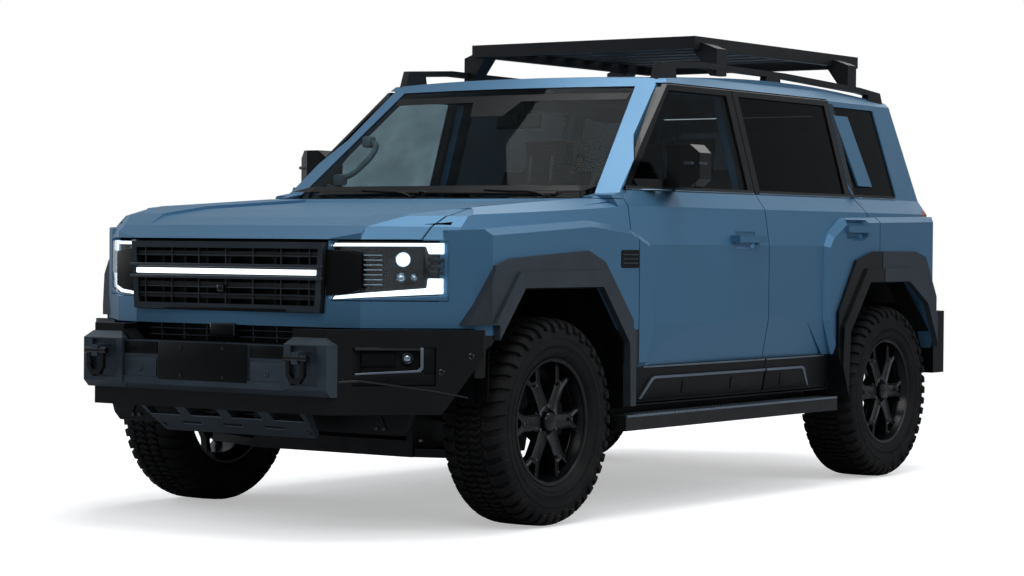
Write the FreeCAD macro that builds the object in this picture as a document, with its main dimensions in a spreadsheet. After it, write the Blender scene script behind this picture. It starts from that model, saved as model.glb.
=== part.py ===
import FreeCAD, Part
import math
import os
import Sketcher

# A lifted off-road 4x4. Millimetres, z up, ground at zero, nose towards minus y, the vehicle's left
# towards plus x. Lengths along y are counted from the front axle, and each piece is then placed so
# that the frame's origin lies on the ground below the middle of the vehicle.

doc = FreeCAD.newDocument("OffRoader")
sheet = doc.addObject("Spreadsheet::Sheet", "Sizes")

SIZES = {
    # stance and wheels
    "middle_y": 1355, "wheelbase": 2800, "half_track": 815, "tyre_radius": 400,
    "tyre_half_width": 135, "tread_half_width": 112, "shoulder_drop": 22, "sidewall_radius": 340,
    "bead_radius": 246, "bead_half_width": 112, "bead_thick": 16, "shoulder_share": 0.97,
    "rim_half_width": 114, "rim_lip_radius": 245.7, "rim_lip_inner": 232, "rim_seat_x": 100,
    "rim_well_x": 82, "rim_drop_x": 64, "rim_well_radius": 205, "rim_wall": 9, "spoke_face": 92,
    "spoke_back": 52, "spoke_count": 6, "hub_radius": 72, "hub_face_radius": 58,
    "hub_bore_radius": 30, "hub_cap_out": 4, "hub_back": 22, "spoke_half_width": 30,
    "spoke_root_radius": 50, "fork_start_radius": 122, "fork_radius": 160, "spoke_end_radius": 217,
    "spoke_end_half": 62, "spoke_slot_half": 36, "disc_radius": 165, "disc_front": -4,
    "disc_back": -26, "disc_hat_radius": 78,
    # steering knuckle and axle ends
    "kingpin_x": 725, "knuckle_height": 118, "knuckle_boss_radius": 26, "carrier_inner_x": 774,
    "carrier_outer_x": 782, "carrier_radius": 62, "caliper_half_angle_width": 62,
    "caliper_inner_radius": 118, "caliper_outer_radius": 192, "running_gap": 6, "pin_gap": 0.3,
    # body side section
    "sill_bottom_z": 430, "rocker_z": 585, "door_low_z": 760, "door_high_z": 1080,
    "shoulder_z": 1235, "belt_z": 1300, "window_top_z": 1755, "roof_edge_z": 1800, "above_z": 2100,
    "below_z": 200, "sill_x": 900, "rocker_x": 926, "door_x": 940, "shoulder_x": 916, "belt_x": 868,
    "window_top_x": 742, "roof_edge_x": 700, "side_radius": 30000, "side_middle_y": 1550,
    "side_sweep": 12, "skin": 30, "skin_upper": 22, "door_depth": 75, "door_depth_upper": 42,
    "ring_gap": 5, "wall_depth": 140, "wall_depth_upper": 85, "seat_gap": 0.3,
    # roof, windscreen and rear
    "roof_top_z": 1838, "roof_radius": 13500, "roof_middle_y": 2150, "roof_thick": 42,
    "roof_half_width": 652, "roof_split_z": 1690, "screen_centre_y": 3420, "screen_low_z": 1266,
    "screen_low_radius": 3000, "screen_high_z": 1765, "screen_high_radius": 2400, "screen_glass": 6,
    "screen_sink": 4, "screen_frame": 55, "screen_low_x": 765, "screen_top_x": 610,
    "screen_top_z": 1748,
    # lower body profile
    "nose_y": -830, "nose_low_z": 770, "nose_mid_z": 1020, "lip_y": -812, "lip_z": 1092,
    "brow_y": -735, "brow_z": 1142, "crown_y": -590, "crown_z": 1188, "bonnet_mid_y": -305,
    "bonnet_mid_z": 1222, "bonnet_end_y": 392, "bonnet_end_z": 1262, "cowl_end_y": 640,
    "tail_y": 3385, "tail_high_z": 1110, "tail_belt_y": 3352, "tail_top_y": 3262, "tail_low_z": 430,
    "front_low_y": -450, "front_low_z": 600, "front_sill_y": 300,
    # plan of the nose and of the tail
    "plan_grille_x": 470, "plan_grille_y": -812, "plan_cheek_x": 600, "plan_cheek_y": -775,
    "plan_lamp_x": 720, "plan_lamp_y": -665, "plan_corner_x": 835, "plan_corner_y": -563,
    "plan_side_x": 911, "plan_side_y": -500, "plan_wing_y": -390, "plan_out_x": 1000,
    "plan_tail_x": 905, "plan_tail_y": 3290, "plan_tail_in_x": 800, "plan_tail_out_y": 3360,
    "plan_tail_side_y": 3180,
    # the nose's rolled ends, the bonnet's sunk middle and the doors' lower facet
    "edge_roll_a": 31, "edge_roll_a_z": 1140, "edge_roll_b": 80, "edge_roll_b_z": 1180,
    "edge_roll_c": 200, "edge_roll_c_z": 1208, "edge_roll_length": 520, "recess_depth": 12,
    "recess_back_y": 330, "recess_back_z": 1246, "recess_end_y": 352, "recess_front_half": 480,
    "recess_mid_half": 545, "recess_mid_y": -560, "recess_back_half": 575, "facet_front_low_y": 703,
    "facet_front_y": 846, "facet_z": 753, "facet_mid_y": 1652, "facet_mid_z": 767,
    "facet_back_y": 1957, "facet_back_z": 792, "facet_back_low_y": 2186, "facet_low_x": 908,
    "facet_high_x": 944, "facet_floor_x": 880, "ledge_z": 592,
    # wing and quarter blisters
    "blister_x": 957, "blister_foot_x": 935, "blister_root_x": 780, "blister_taper": -48,
    "front_blister_low_z": 690, "front_blister_a_y": -700, "front_blister_b_y": -560,
    "front_blister_b_z": 1128, "front_blister_c_y": 227, "front_blister_c_z": 1172,
    "front_blister_d_y": 520, "front_blister_d_z": 1145, "front_blister_e_y": 668,
    "front_blister_e_z": 1092, "front_blister_f_y": 708, "front_blister_f_z": 1030,
    "front_blister_g_y": 640, "rear_blister_a_y": 2240, "rear_blister_b_y": 2160,
    "rear_blister_b_z": 742, "rear_blister_c_z": 1080, "rear_blister_d_y": 2205,
    "rear_blister_d_z": 1136, "rear_blister_e_y": 2353, "rear_blister_e_z": 1208,
    "rear_blister_f_y": 3330, "rear_blister_f_z": 1224,
    # shoulder cut beside the bonnet
    "hood_flat_x": 800, "hood_flat_z": 1222, "hood_edge_x": 975, "hood_edge_z": 1142,
    "hood_rise": 42, "hood_rise_length": 640, "hood_cut_y": -300,
    # wheel arches
    "arch_top_z": 915, "arch_low_z": 380, "arch_foot": 470, "arch_hip_z": 690, "arch_hip": 462,
    "arch_top": 268, "arch_rear_top": 330, "arch_rear_foot": 492, "arch_inner_x": 655,
    "flare_x": 985, "flare_step_x": 972, "flare_band": 62, "flare_lip": 25, "flare_root_x": 860,
    "flare_width": 118, "flare_top_z": 1056, "flare_foot_z": 780, "flare_tip_y": 535,
    "flare_back_y": 508, "flare_back_z": 440, "flare_top_front": 345, "flare_top_back": 180,
    "flare_hip_front_z": 1000, "flare_hip_front": 440, "flare_hip_back": 300,
    "flare_hip_back_z": 1012, "rear_flare_front": 555, "rear_flare_back": 545,
    "rear_flare_hip": 385, "rear_flare_top": 215, "rear_flare_hip_z": 1030, "flare_split_gap": 8,
    "liner_thick": 5, "liner_inner_x": 545, "liner_outer_x": 890,
    # doors
    "door_front_y": 573, "door_split_y": 1652, "door_gap": 6, "door_bottom_z": 442,
    "pillar_foot_z": 1262, "pillar_mid_y": 790, "pillar_mid_z": 1470, "pillar_top_y": 1092,
    "door_top_z": 1757, "rebate": 14, "ring_overlap": 38, "rear_door_low_y": 2262,
    "rear_door_hip_y": 2325, "rear_door_hip_z": 640, "rear_door_arch_y": 2462,
    "rear_door_arch_z": 880, "rear_door_top_arch_y": 2530, "rear_door_edge_y": 2668,
    "rear_door_edge_z": 1200, "rear_door_upper_y": 2575, "rear_door_upper_z": 1345,
    "glass_thick": 5, "glass_sink": 7, "glass_front_low_y": 668, "glass_front_high_y": 1122,
    "glass_low_z": 1318, "glass_high_z": 1730, "glass_front_end_y": 1600,
    "glass_rear_start_y": 1704, "glass_rear_end_y": 2528, "quarter_start_y": 2622,
    "quarter_end_low_y": 3098, "quarter_end_high_y": 3062, "quarter_plate_low_y": 2690,
    "quarter_plate_low_z": 1360, "quarter_plate_high_y": 2600, "quarter_plate_high_z": 1688,
    "quarter_plate_width": 150, "plate_proud": 3, "handle_front_y": 1340, "handle_rear_y": 2330,
    "handle_length": 235, "handle_height": 30, "handle_z": 1092, "handle_rear_z": 1142,
    "handle_out_x": 976, "handle_in_x": 954, "handle_foot": 34, "handle_root_x": 905,
    "scoop_floor_x": 928, "scoop_lead": 34, "scoop_low": 16, "scoop_high": 14, "scoop_taper": 38,
    # bonnet, front end
    "bonnet_half_width": 800, "bonnet_front_half": 738, "bonnet_front_y": -710, "bonnet_gap": 5,
    "bonnet_thick": 38, "bonnet_corner_y": -497, "band_low_z": 768, "front_split_y": -600,
    "grille_half_top": 474, "grille_half_low": 458, "grille_low_z": 822, "grille_top_z": 1080,
    "grille_depth": 60, "grille_frame": 24, "grille_face_y": -838, "bar_low_z": 944,
    "bar_high_z": 992, "slat_height": 20, "divider_count": 7, "divider_width": 12,
    "lamp_inner_x": 482, "lamp_low_z": 868, "lamp_high_z": 1086, "lamp_back_y": -560,
    "lamp_depth": 95, "light_bar_half": 440, "light_bar_height": 22, "light_bar_out": 10,
    "front_gap": 3,
    # bumpers and guard
    "bumper_low_z": 455, "bumper_top_z": 764, "bumper_face_y": -938, "bumper_face_x": 568,
    "bumper_corner_x": 700, "bumper_corner_y": -790, "bumper_cheek_x": 940, "bumper_cheek_y": -545,
    "bumper_side_x": 966, "bumper_side_y": -512, "bumper_end_y": -498, "bumper_thick": 70,
    "bumper_rake_y": -640, "intake_half": 372, "intake_wide_half": 420, "intake_top_half": 405,
    "intake_low_z": 704, "intake_mid_z": 746, "fog_inner_x": 632, "fog_outer_x": 846,
    "fog_low_z": 560, "fog_high_z": 700, "fog_depth": 42, "tower_inner_x": 398,
    "tower_outer_x": 598, "tower_low_z": 520, "tower_high_z": 735, "tower_face_y": -968,
    "beam_sink": 14, "skid_top_y": -962, "skid_top_z": 540, "skid_low_y": -742, "skid_low_z": 350,
    "skid_thick": 14, "skid_half": 430, "skid_low_half": 360, "skid_window_width": 150,
    "skid_window_pitch": 204, "skid_window_low_z": 418, "skid_window_high_z": 498,
    "skid_window_count": 4, "plate_half": 220, "plate_low_z": 562, "plate_high_z": 702,
    "plate_thick": 6, "beam_half": 398, "beam_low_z": 548, "tower_back_y": -900,
    "tower_chamfer": 26, "shackle_x": 492, "shackle_z": 662, "shackle_half": 42, "shackle_drop": 60,
    "shackle_tip": 92, "shackle_tip_half": 22, "shackle_bar": 18, "shackle_y": -1010,
    "shackle_pin": 12, "shackle_pin_over": 12, "tang_half": 15, "tang_height": 44,
    "pocket_half": 62, "pocket_low_z": 560, "pocket_high_z": 704, "pocket_depth": 16,
    "rear_bumper_low_z": 470, "rear_bumper_high_z": 768, "rear_bumper_y": 3470,
    "rear_bumper_in_y": 3392, "rear_bumper_x": 948, "rear_bumper_front_y": 3252,
    "rear_bumper_corner": 90,
    # tail
    "gate_half": 706, "gate_low_z": 792, "gate_high_z": 1718, "gate_gap": 6, "gate_depth": 70,
    "gate_hinge_x": 709, "gate_hinge_y": 3394, "gate_barrel_radius": 11, "gate_barrel_height": 42,
    "gate_barrel_leaf": 48, "gate_hinge_low_z": 880, "gate_hinge_high_z": 1150,
    "gate_glass_half": 560, "gate_glass_low_z": 1335, "gate_glass_high_z": 1650,
    "tail_lamp_in_x": 762, "tail_lamp_low_z": 930, "tail_lamp_high_z": 1250,
    "tail_lamp_front_y": 3300, "spare_z": 1192, "spare_y": 3438, "spare_inset": 40,
    "spare_cover_radius": 330, "spare_cover_out": 24, "spare_post_radius": 90,
    # frame and running gear
    "rail_x": 410, "rail_width": 78, "rail_low_z": 470, "rail_high_z": 610, "rail_front_low_z": 520,
    "rail_front_high_z": 650, "rail_front_y": -862, "rail_end_y": 3380, "rail_kick_y": 2330,
    "rail_kick_top_y": 2480, "rail_kick_low_z": 610, "rail_kick_high_z": 742, "rail_drop_y": 3140,
    "rail_drop_end_y": 3300, "rail_front_bend_y": 300, "rail_front_bend_end_y": 465,
    "cross_depth": 70, "beam_height": 36, "cross_height": 90, "cross_a_y": -560, "cross_b_y": 640,
    "cross_c_y": 1500, "cross_d_y": 2240, "cross_e_y": 3300, "floor_low_z": 622,
    "floor_high_z": 642, "load_floor_low_z": 760, "load_floor_high_z": 780, "floor_front_y": 500,
    "load_floor_y": 2150, "cabin_front_y": 500, "cabin_rear_y": 3315, "cabin_rear_top_y": 3192,
    "bulkhead_thick": 24, "bulkhead_low_z": 622, "bulkhead_top_z": 1222, "apron_x": 505,
    "apron_thick": 22, "apron_low_z": 668, "apron_high_z": 1060, "apron_front_y": -590,
    "apron_top_front_y": -495, "well_x": 668, "well_wall": 12, "hinge_pillar_y": 448,
    "engine_half": 250, "engine_front_y": -330, "engine_back_y": 330, "engine_low_z": 560,
    "engine_high_z": 1070, "gearbox_end_y": 1150, "gearbox_radius": 120, "gearbox_z": 500,
    "transfer_start_y": 1150, "transfer_end_y": 1440, "transfer_half": 150, "transfer_low_z": 400,
    "transfer_high_z": 600, "shaft_radius": 32, "radiator_half": 370, "radiator_y": -700,
    "radiator_thick": 60, "radiator_low_z": 650, "radiator_high_z": 1040, "axle_tube_radius": 48,
    "axle_ball_radius": 142, "diff_x": 165, "arm_inner_x": 372, "arm_height": 34, "arm_width": 60,
    "arm_spread": 190, "half_shaft_radius": 22, "cv_radius": 40, "spring_x": 480,
    "spring_radius": 62, "link_radius": 24, "link_front_y": 2190, "shock_x": 600, "tank_x0": -366,
    "tank_x1": -48, "tank_y0": 1590, "tank_y1": 2110, "tank_low_z": 350, "muffler_radius": 85,
    "case_end_share": 0.95, "case_neck_share": 0.42, "case_flat_share": 0.5,
    "front_case_share": 0.8, "cv_neck_radius": 22, "cv_half": 35, "cv_flat": 12,
    # steps, rails, rack
    "step_in_x": 872, "step_out_x": 982, "step_low_z": 342, "step_high_z": 402, "step_front_y": 440,
    "step_back_y": 2215, "bracket_width": 46, "bracket_height": 30, "roof_rail_x": 664,
    "roof_rail_width": 34, "roof_rail_height": 26, "crest_a_y": 1164, "crest_a_z": 1853,
    "crest_b_y": 1494, "crest_b_z": 1873, "crest_c_y": 2250, "crest_c_z": 1866, "crest_d_y": 2992,
    "crest_d_z": 1839, "crest_e_y": 3200, "crest_e_z": 1822, "rail_slope": 64,
    "rail_foot_length": 120, "rail_middle_y": 2080, "rack_half": 600, "rack_front_y": 1580,
    "rack_back_y": 3120, "rack_z": 1940, "rack_height": 55, "rack_width": 38, "rack_slats": 9,
    "rack_slat_width": 92, "rack_slat_height": 18, "rack_foot_length": 86, "rack_foot_a_y": 1632,
    "rack_foot_b_y": 2862, "rack_foot_inner_x": 560, "rack_foot_plate": 30,
    # mirrors
    "mirror_in_x": 880, "mirror_out_x": 1045, "mirror_front_y": 840, "mirror_back_y": 975,
    "mirror_low_z": 1315, "mirror_high_z": 1490, "mirror_neck_x": 830, "mirror_neck_y": 700,
    "mirror_neck_end_y": 772, "mirror_arm_x": 912, "mirror_arm_y": 878, "mirror_neck_z": 1348,
    "mirror_shell": 14, "mirror_chamfer": 34, "mirror_slope": 22,
    # cabin
    "dash_half": 742, "dash_back_y": 930, "dash_low_z": 960, "dash_high_z": 1205,
    "dash_knee_y": 760, "wheel_x": 370, "wheel_y": 1085, "wheel_z": 1085, "wheel_rim_radius": 180,
    "wheel_tube_radius": 15, "wheel_tilt": 68, "wheel_tube_flat": 6, "steering_hub_radius": 45,
    "column_radius": 32, "column_length": 230, "seat_x": 380, "seat_half": 255,
    "cushion_front_y": 1250, "cushion_back_y": 1760, "cushion_low_z": 760, "cushion_high_z": 900,
    "back_lean": 180, "back_top_z": 1430, "back_thick": 125, "head_half": 130, "head_low_z": 1455,
    "head_high_z": 1610, "head_thick": 90, "seat_plinth_inset": 60, "rear_half": 640,
    "rear_cushion_front_y": 2110, "rear_cushion_back_y": 2560, "rear_back_top_z": 1440,
    "rear_cushion_low_z": 812, "rear_cushion_high_z": 945, "cowl_half": 742, "cowl_front_y": 400,
    "bar_sides": 12, "wheel_sides": 40, "disc_sides": 32, "case_sides": 16, "hub_sides": 24,
    "overrun": 400, "far_share": 3, "short_share": 0.25, "flare_rear_hip_share": 0.85,
    "flare_rear_back_share": 0.82, "slat_low_share": 0.36, "slat_high_share": 0.70,
    "slat_top_share": 0.36, "bracket_front_share": 0.12, "bracket_middle_share": 0.5,
    "bracket_rear_share": 0.88, "seat_head_share": 0.7, "face_tolerance": 0.000001,
}

for row, (alias, number) in enumerate(SIZES.items(), start=1):
    sheet.set("A%d" % row, alias.replace("_", " "))
    sheet.set("B%d" % row, str(number))
    sheet.setAlias("B%d" % row, alias)
doc.recompute()


class Size:
    """A number taken from the sheet, with the expression that gives it."""

    def __init__(self, value, text):
        self.value = value
        self.text = text

    def __add__(self, other):
        other = as_size(other)
        return Size(self.value + other.value, "(%s + %s)" % (self.text, other.text))

    def __radd__(self, other):
        return as_size(other) + self

    def __sub__(self, other):
        other = as_size(other)
        return Size(self.value - other.value, "(%s - %s)" % (self.text, other.text))

    def __rsub__(self, other):
        return as_size(other) - self

    def __mul__(self, other):
        other = as_size(other)
        return Size(self.value * other.value, "(%s * %s)" % (self.text, other.text))

    __rmul__ = __mul__

    def __truediv__(self, other):
        other = as_size(other)
        return Size(self.value / other.value, "(%s / %s)" % (self.text, other.text))

    def __neg__(self):
        return Size(-self.value, "(-1 * %s)" % self.text)


def as_size(number):
    """Turns a plain number into a size; sizes pass through."""
    return number if isinstance(number, Size) else Size(number, repr(number))


class Sheet:
    """Gives each cell of the sheet by its alias."""

    def __getattr__(self, alias):
        return Size(SIZES[alias], "Sizes." + alias)


d = Sheet()
zero = as_size(0)
nodes = []


def new(kind, label):
    """Adds an object with a free internal name."""
    return doc.addObject(kind, "".join(c if c.isalnum() else "_" for c in label))


def bind(thing, **values):
    """Binds properties to sizes; double underscores stand for dots."""
    for name, size in values.items():
        size = as_size(size)
        thing.setExpression(name.replace("__", "."), size.text)


PLANES = {
    "XY": (FreeCAD.Rotation(), FreeCAD.Vector(0, 0, 1), "z"),
    "XZ": (FreeCAD.Rotation(FreeCAD.Vector(1, 0, 0), 90), FreeCAD.Vector(0, 1, 0), "y"),
    "YZ": (FreeCAD.Rotation(FreeCAD.Vector(1, 1, 1), 120), FreeCAD.Vector(1, 0, 0), "x"),
}


def draw(sketch, points):
    """Draws a closed outline; every corner is bound to the sheet."""
    points = [tuple(as_size(part) for part in point) for point in points]
    count = len(points)
    for index in range(count):
        start = points[index]
        end = points[(index + 1) % count]
        a = FreeCAD.Vector(start[0].value, start[1].value, 0)
        b = FreeCAD.Vector(end[0].value, end[1].value, 0)
        sketch.addGeometry(Part.LineSegment(a, b))
    for index in range(count):
        sketch.addConstraint(
            Sketcher.Constraint("Coincident", index, 2, (index + 1) % count, 1)
        )
    for index, point in enumerate(points):
        for kind, part in (("DistanceX", point[0]), ("DistanceY", point[1])):
            number = sketch.addConstraint(Sketcher.Constraint(kind, index, 1, part.value))
            sketch.setExpression("Constraints[%d]" % number, part.text)


def sketch(label, plane, points, level=zero):
    """A closed outline on a plane parallel to one of the main planes."""
    outline = new("Sketcher::SketchObject", label + "_outline")
    rotation, normal, letter = PLANES[plane]
    outline.Placement = FreeCAD.Placement(normal * as_size(level).value, rotation)
    outline.setExpression("Placement.Base." + letter, as_size(level).text)
    draw(outline, points)
    return outline


def extrude(label, outline, plane, length, taper=None):
    """Pushes an outline along the plane's axis."""
    solid = new("Part::Extrusion", label)
    solid.Base = outline
    solid.DirMode = "Custom"
    solid.Dir = PLANES[plane][1]
    solid.Solid = True
    bind(solid, LengthFwd=length)
    if taper is not None:
        bind(solid, TaperAngle=taper)
    return solid


def prism(label, plane, points, low, high, taper=None):
    """An outline pushed from one level to another."""
    low, high = as_size(low), as_size(high)
    return extrude(label, sketch(label, plane, points, low), plane, high - low, taper)


def both(points):
    """Completes a half outline with its mirror image across x = 0."""
    return points + [(-as_size(x), y) for x, y in reversed(points)]


def box(label, x0, x1, y0, y1, z0, z1):
    """A block between two corners."""
    block = new("Part::Box", label)
    x0, x1, y0, y1, z0, z1 = [as_size(part) for part in (x0, x1, y0, y1, z0, z1)]
    bind(block, Length=x1 - x0, Width=y1 - y0, Height=z1 - z0)
    bind(block, Placement__Base__x=x0, Placement__Base__y=y0, Placement__Base__z=z0)
    return block


AXES = {
    "x": FreeCAD.Rotation(FreeCAD.Vector(0, 1, 0), 90),
    "y": FreeCAD.Rotation(FreeCAD.Vector(1, 0, 0), -90),
    "z": FreeCAD.Rotation(),
}


def rod(label, axis, radius, length, x, y, z):
    """A round bar that starts at a point and runs along one axis."""
    bar = new("Part::Cylinder", label)
    bar.Placement = FreeCAD.Placement(FreeCAD.Vector(0, 0, 0), AXES[axis])
    bind(bar, Radius=radius, Height=length)
    bind(bar, Placement__Base__x=x, Placement__Base__y=y, Placement__Base__z=z)
    return bar


def half_step(sides):
    """Turns a many-sided outline so that flats, not corners, face the main axes."""
    return FreeCAD.Rotation(FreeCAD.Vector(0, 0, 1), 180 / SIZES[sides])


def across(radius, sides):
    """The corner radius of a many-sided outline whose flats lie at the given radius."""
    return radius * (1 / math.cos(math.pi / SIZES[sides]))


def bar(label, axis, radius, length, x, y, z, sides="bar_sides"):
    """A many-sided bar that starts at a point and runs along one axis."""
    thing = new("Part::Prism", label)
    thing.Placement = FreeCAD.Placement(FreeCAD.Vector(0, 0, 0), AXES[axis] * half_step(sides))
    thing.Polygon = SIZES[sides]
    bind(thing, Circumradius=across(radius, sides), Height=length)
    bind(thing, Placement__Base__x=x, Placement__Base__y=y, Placement__Base__z=z)
    return thing


def along_x(y, z, middle=0):
    """Gives the spot of a station on a line parallel to the x axis."""
    return lambda station: (as_size(station) + middle, y, z)


def ring(label, stations, sides, spot, rotation=AXES["x"]):
    """A closed form of flat faces through many-sided outlines, each a station and a radius."""
    count = SIZES[sides]
    rows = []
    for station, radius in stations:
        base = FreeCAD.Vector(*[as_size(part).value for part in spot(station)])
        corner = FreeCAD.Vector(across(as_size(radius), sides).value, 0, 0)
        turns = [FreeCAD.Rotation(FreeCAD.Vector(0, 0, 1), 360 * (step + 1 / 2) / count)
                 for step in range(count)]
        rows.append([base + rotation.multVec(turn.multVec(corner)) for turn in turns])
    faces = []
    for row in (rows[0], rows[-1]):
        faces.append(Part.Face(Part.makePolygon(row + row[:1])))
    for near, far in zip(rows, rows[1:]):
        for step in range(count):
            last = (step + 1) % count
            quad = [near[step], near[last], far[last], far[step], near[step]]
            faces.append(Part.Face(Part.makePolygon(quad)))
    form = new("Part::Feature", label)
    solid = Part.makeSolid(Part.makeShell(faces))
    solid.fixTolerance(SIZES["face_tolerance"])
    form.Shape = solid if solid.Volume > 0 else solid.reversed()
    return form


def cut(label, base, *tools):
    """Takes tools out of a base, one after another."""
    result = base
    for index, tool in enumerate(tools):
        last = index == len(tools) - 1
        step = new("Part::Cut", label if last else "%s_%d" % (label, index))
        step.Base = result
        step.Tool = tool
        result = step
    return result


def fuse(label, *parts):
    """Joins parts into one."""
    if len(parts) == 1:
        return parts[0]
    result = new("Part::MultiFuse", label)
    result.Shapes = list(parts)
    return result


def common(label, *parts):
    """Keeps what all parts share."""
    result = parts[0]
    for index, other in enumerate(parts[1:]):
        step = new("Part::Common", "%s_%d" % (label, index))
        step.Base = result
        step.Tool = other
        result = step
    return result


def mirror(label, source):
    """The same form on the vehicle's other side."""
    result = new("Part::Mirroring", label)
    result.Source = source
    result.Normal = FreeCAD.Vector(1, 0, 0)
    return result


def pair(label, source):
    """A form and its mirror image."""
    return fuse(label, source, mirror(label + "_right", source))


def offset(label, outline, amount):
    """The same outline, grown by an amount or shrunk by a negative one."""
    result = new("Part::Offset2D", label)
    result.Source = outline
    result.Mode = "Pipe"
    result.Join = "Intersection"
    bind(result, Value=amount)
    return result


def node(label, *sources):
    """Places a finished piece in the part's frame and lists it for export."""
    group = new("Part::Compound", label)
    group.Label = label
    group.Links = list(sources)
    bind(group, Placement__Base__y=-d.middle_y)
    nodes.append(group)
    return group


# Surfaces of the body side: a section swept about a far upright axis.
def side_volume(label, low_inset, high_inset):
    """Everything inboard of both body sides, moved inwards by two insets."""
    points = [
        (-d.plan_out_x - d.overrun, d.below_z),
        (d.sill_x - low_inset, d.below_z),
        (d.sill_x - low_inset, d.sill_bottom_z),
        (d.rocker_x - low_inset, d.rocker_z),
        (d.door_x - low_inset, d.door_low_z),
        (d.door_x - low_inset, d.door_high_z),
        (d.shoulder_x - low_inset, d.shoulder_z),
        (d.belt_x - high_inset, d.belt_z),
        (d.window_top_x - high_inset, d.window_top_z),
        (d.roof_edge_x - high_inset, d.roof_edge_z),
        (d.roof_edge_x - high_inset, d.above_z),
        (-d.plan_out_x - d.overrun, d.above_z),
    ]
    section = sketch(label + "_left", "XZ", points, d.side_middle_y)
    left = new("Part::Revolution", label + "_left")
    left.Source = section
    left.Axis = FreeCAD.Vector(0, 0, 1)
    left.Symmetric = True
    left.Solid = True
    bind(left, Angle=d.side_sweep, Base__x=d.door_x - d.side_radius, Base__y=d.side_middle_y)
    return common(label, left, mirror(label + "_right", left))


def roof_volume(label, drop):
    """Everything below the doubly curved roof, lowered by a drop."""
    dome = new("Part::Sphere", label)
    dome.Placement = FreeCAD.Placement(FreeCAD.Vector(0, 0, 0), AXES["x"])
    bind(dome, Radius=d.roof_radius, Placement__Base__y=d.roof_middle_y)
    bind(dome, Placement__Base__z=d.roof_top_z - drop - d.roof_radius)
    return dome


def screen_cone(label, inset):
    """The cone behind the windscreen's surface, moved inwards by an inset."""
    slope = (d.screen_low_radius - d.screen_high_radius) / (d.screen_high_z - d.screen_low_z)
    low_z = d.below_z - d.overrun / 2
    high_z = d.above_z
    cone = new("Part::Cone", label)
    bind(cone, Radius1=d.screen_low_radius + slope * (d.screen_low_z - low_z) - inset)
    bind(cone, Radius2=d.screen_high_radius - slope * (high_z - d.screen_high_z) - inset)
    bind(cone, Height=high_z - low_z)
    bind(cone, Placement__Base__y=d.screen_centre_y, Placement__Base__z=low_z)
    return cone


wide = d.plan_out_x + d.overrun

# The outer form, as one body to be split into panels.
outer_sides = side_volume("outer_sides", zero, zero)
plan_half = [
    (zero, d.nose_y), (d.plan_grille_x, d.plan_grille_y), (d.plan_cheek_x, d.plan_cheek_y),
    (d.plan_lamp_x, d.plan_lamp_y), (d.plan_corner_x, d.plan_corner_y), (d.plan_side_x, d.plan_side_y),
    (d.plan_out_x, d.plan_wing_y), (d.plan_out_x, d.plan_tail_side_y),
    (d.plan_tail_x, d.plan_tail_y), (d.plan_tail_in_x, d.plan_tail_out_y), (zero, d.tail_y),
]
plan_points = plan_half + [(-x, y) for x, y in reversed(plan_half[1:-1])]
plan_sketch = sketch("plan", "XY", plan_points, d.below_z)
plan_volume = extrude("plan", plan_sketch, "XY", d.above_z - d.below_z)
lower_points = [
    (d.nose_y, d.nose_low_z), (d.nose_y, d.nose_mid_z), (d.lip_y, d.lip_z),
    (d.brow_y, d.brow_z), (d.crown_y, d.crown_z), (d.bonnet_mid_y, d.bonnet_mid_z),
    (d.bonnet_end_y, d.bonnet_end_z), (d.cowl_end_y, d.belt_z), (d.tail_belt_y, d.belt_z),
    (d.tail_y, d.tail_high_z), (d.tail_y, d.tail_low_z), (d.front_sill_y, d.sill_bottom_z),
    (d.front_low_y, d.front_low_z),
]
lower_profile = sketch("lower_profile", "YZ", lower_points, -wide)
lower_prism = extrude("lower_profile", lower_profile, "YZ", wide + wide)
upper_points = [
    (zero, d.screen_low_z - d.screen_frame), (zero, d.above_z), (d.tail_top_y - d.overrun,
     d.above_z), (d.tail_top_y, d.roof_edge_z), (d.tail_belt_y, d.belt_z),
    (d.tail_belt_y, d.screen_low_z - d.screen_frame),
]
upper_prism = prism("upper_profile", "YZ", upper_points, -wide, wide)
lower_form = common("lower_form", lower_prism, plan_volume, outer_sides)
upper_form = common("upper_form", upper_prism, outer_sides, roof_volume("roof_outer", zero),
                    screen_cone("screen_outer", zero))
shoulder_points = [
    (d.hood_flat_x, d.hood_flat_z), (d.hood_edge_x, d.hood_edge_z),
    (d.hood_edge_x, d.above_z), (d.hood_flat_x, d.above_z),
]
hood_cut = sketch("shoulder_cut", "XZ", shoulder_points, d.hood_cut_y)


def shoulder_wedge(label, start_y, direction, length):
    """A sloped cut along the wing's top."""
    wedge = new("Part::Extrusion", label)
    wedge.Base = hood_cut
    wedge.DirMode = "Custom"
    wedge.Dir = direction
    wedge.Solid = True
    bind(wedge, LengthFwd=length)
    return wedge


rise = d.hood_rise.value / d.hood_rise_length.value
wedge_back = shoulder_wedge("wedge_back", d.hood_cut_y, FreeCAD.Vector(0, 1, rise), d.overrun * 2)
wedge_front = shoulder_wedge("wedge_front", d.hood_cut_y, FreeCAD.Vector(0, -1, -rise), d.overrun)
shoulders = pair("shoulders", fuse("wedges", wedge_back, wedge_front))

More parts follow.
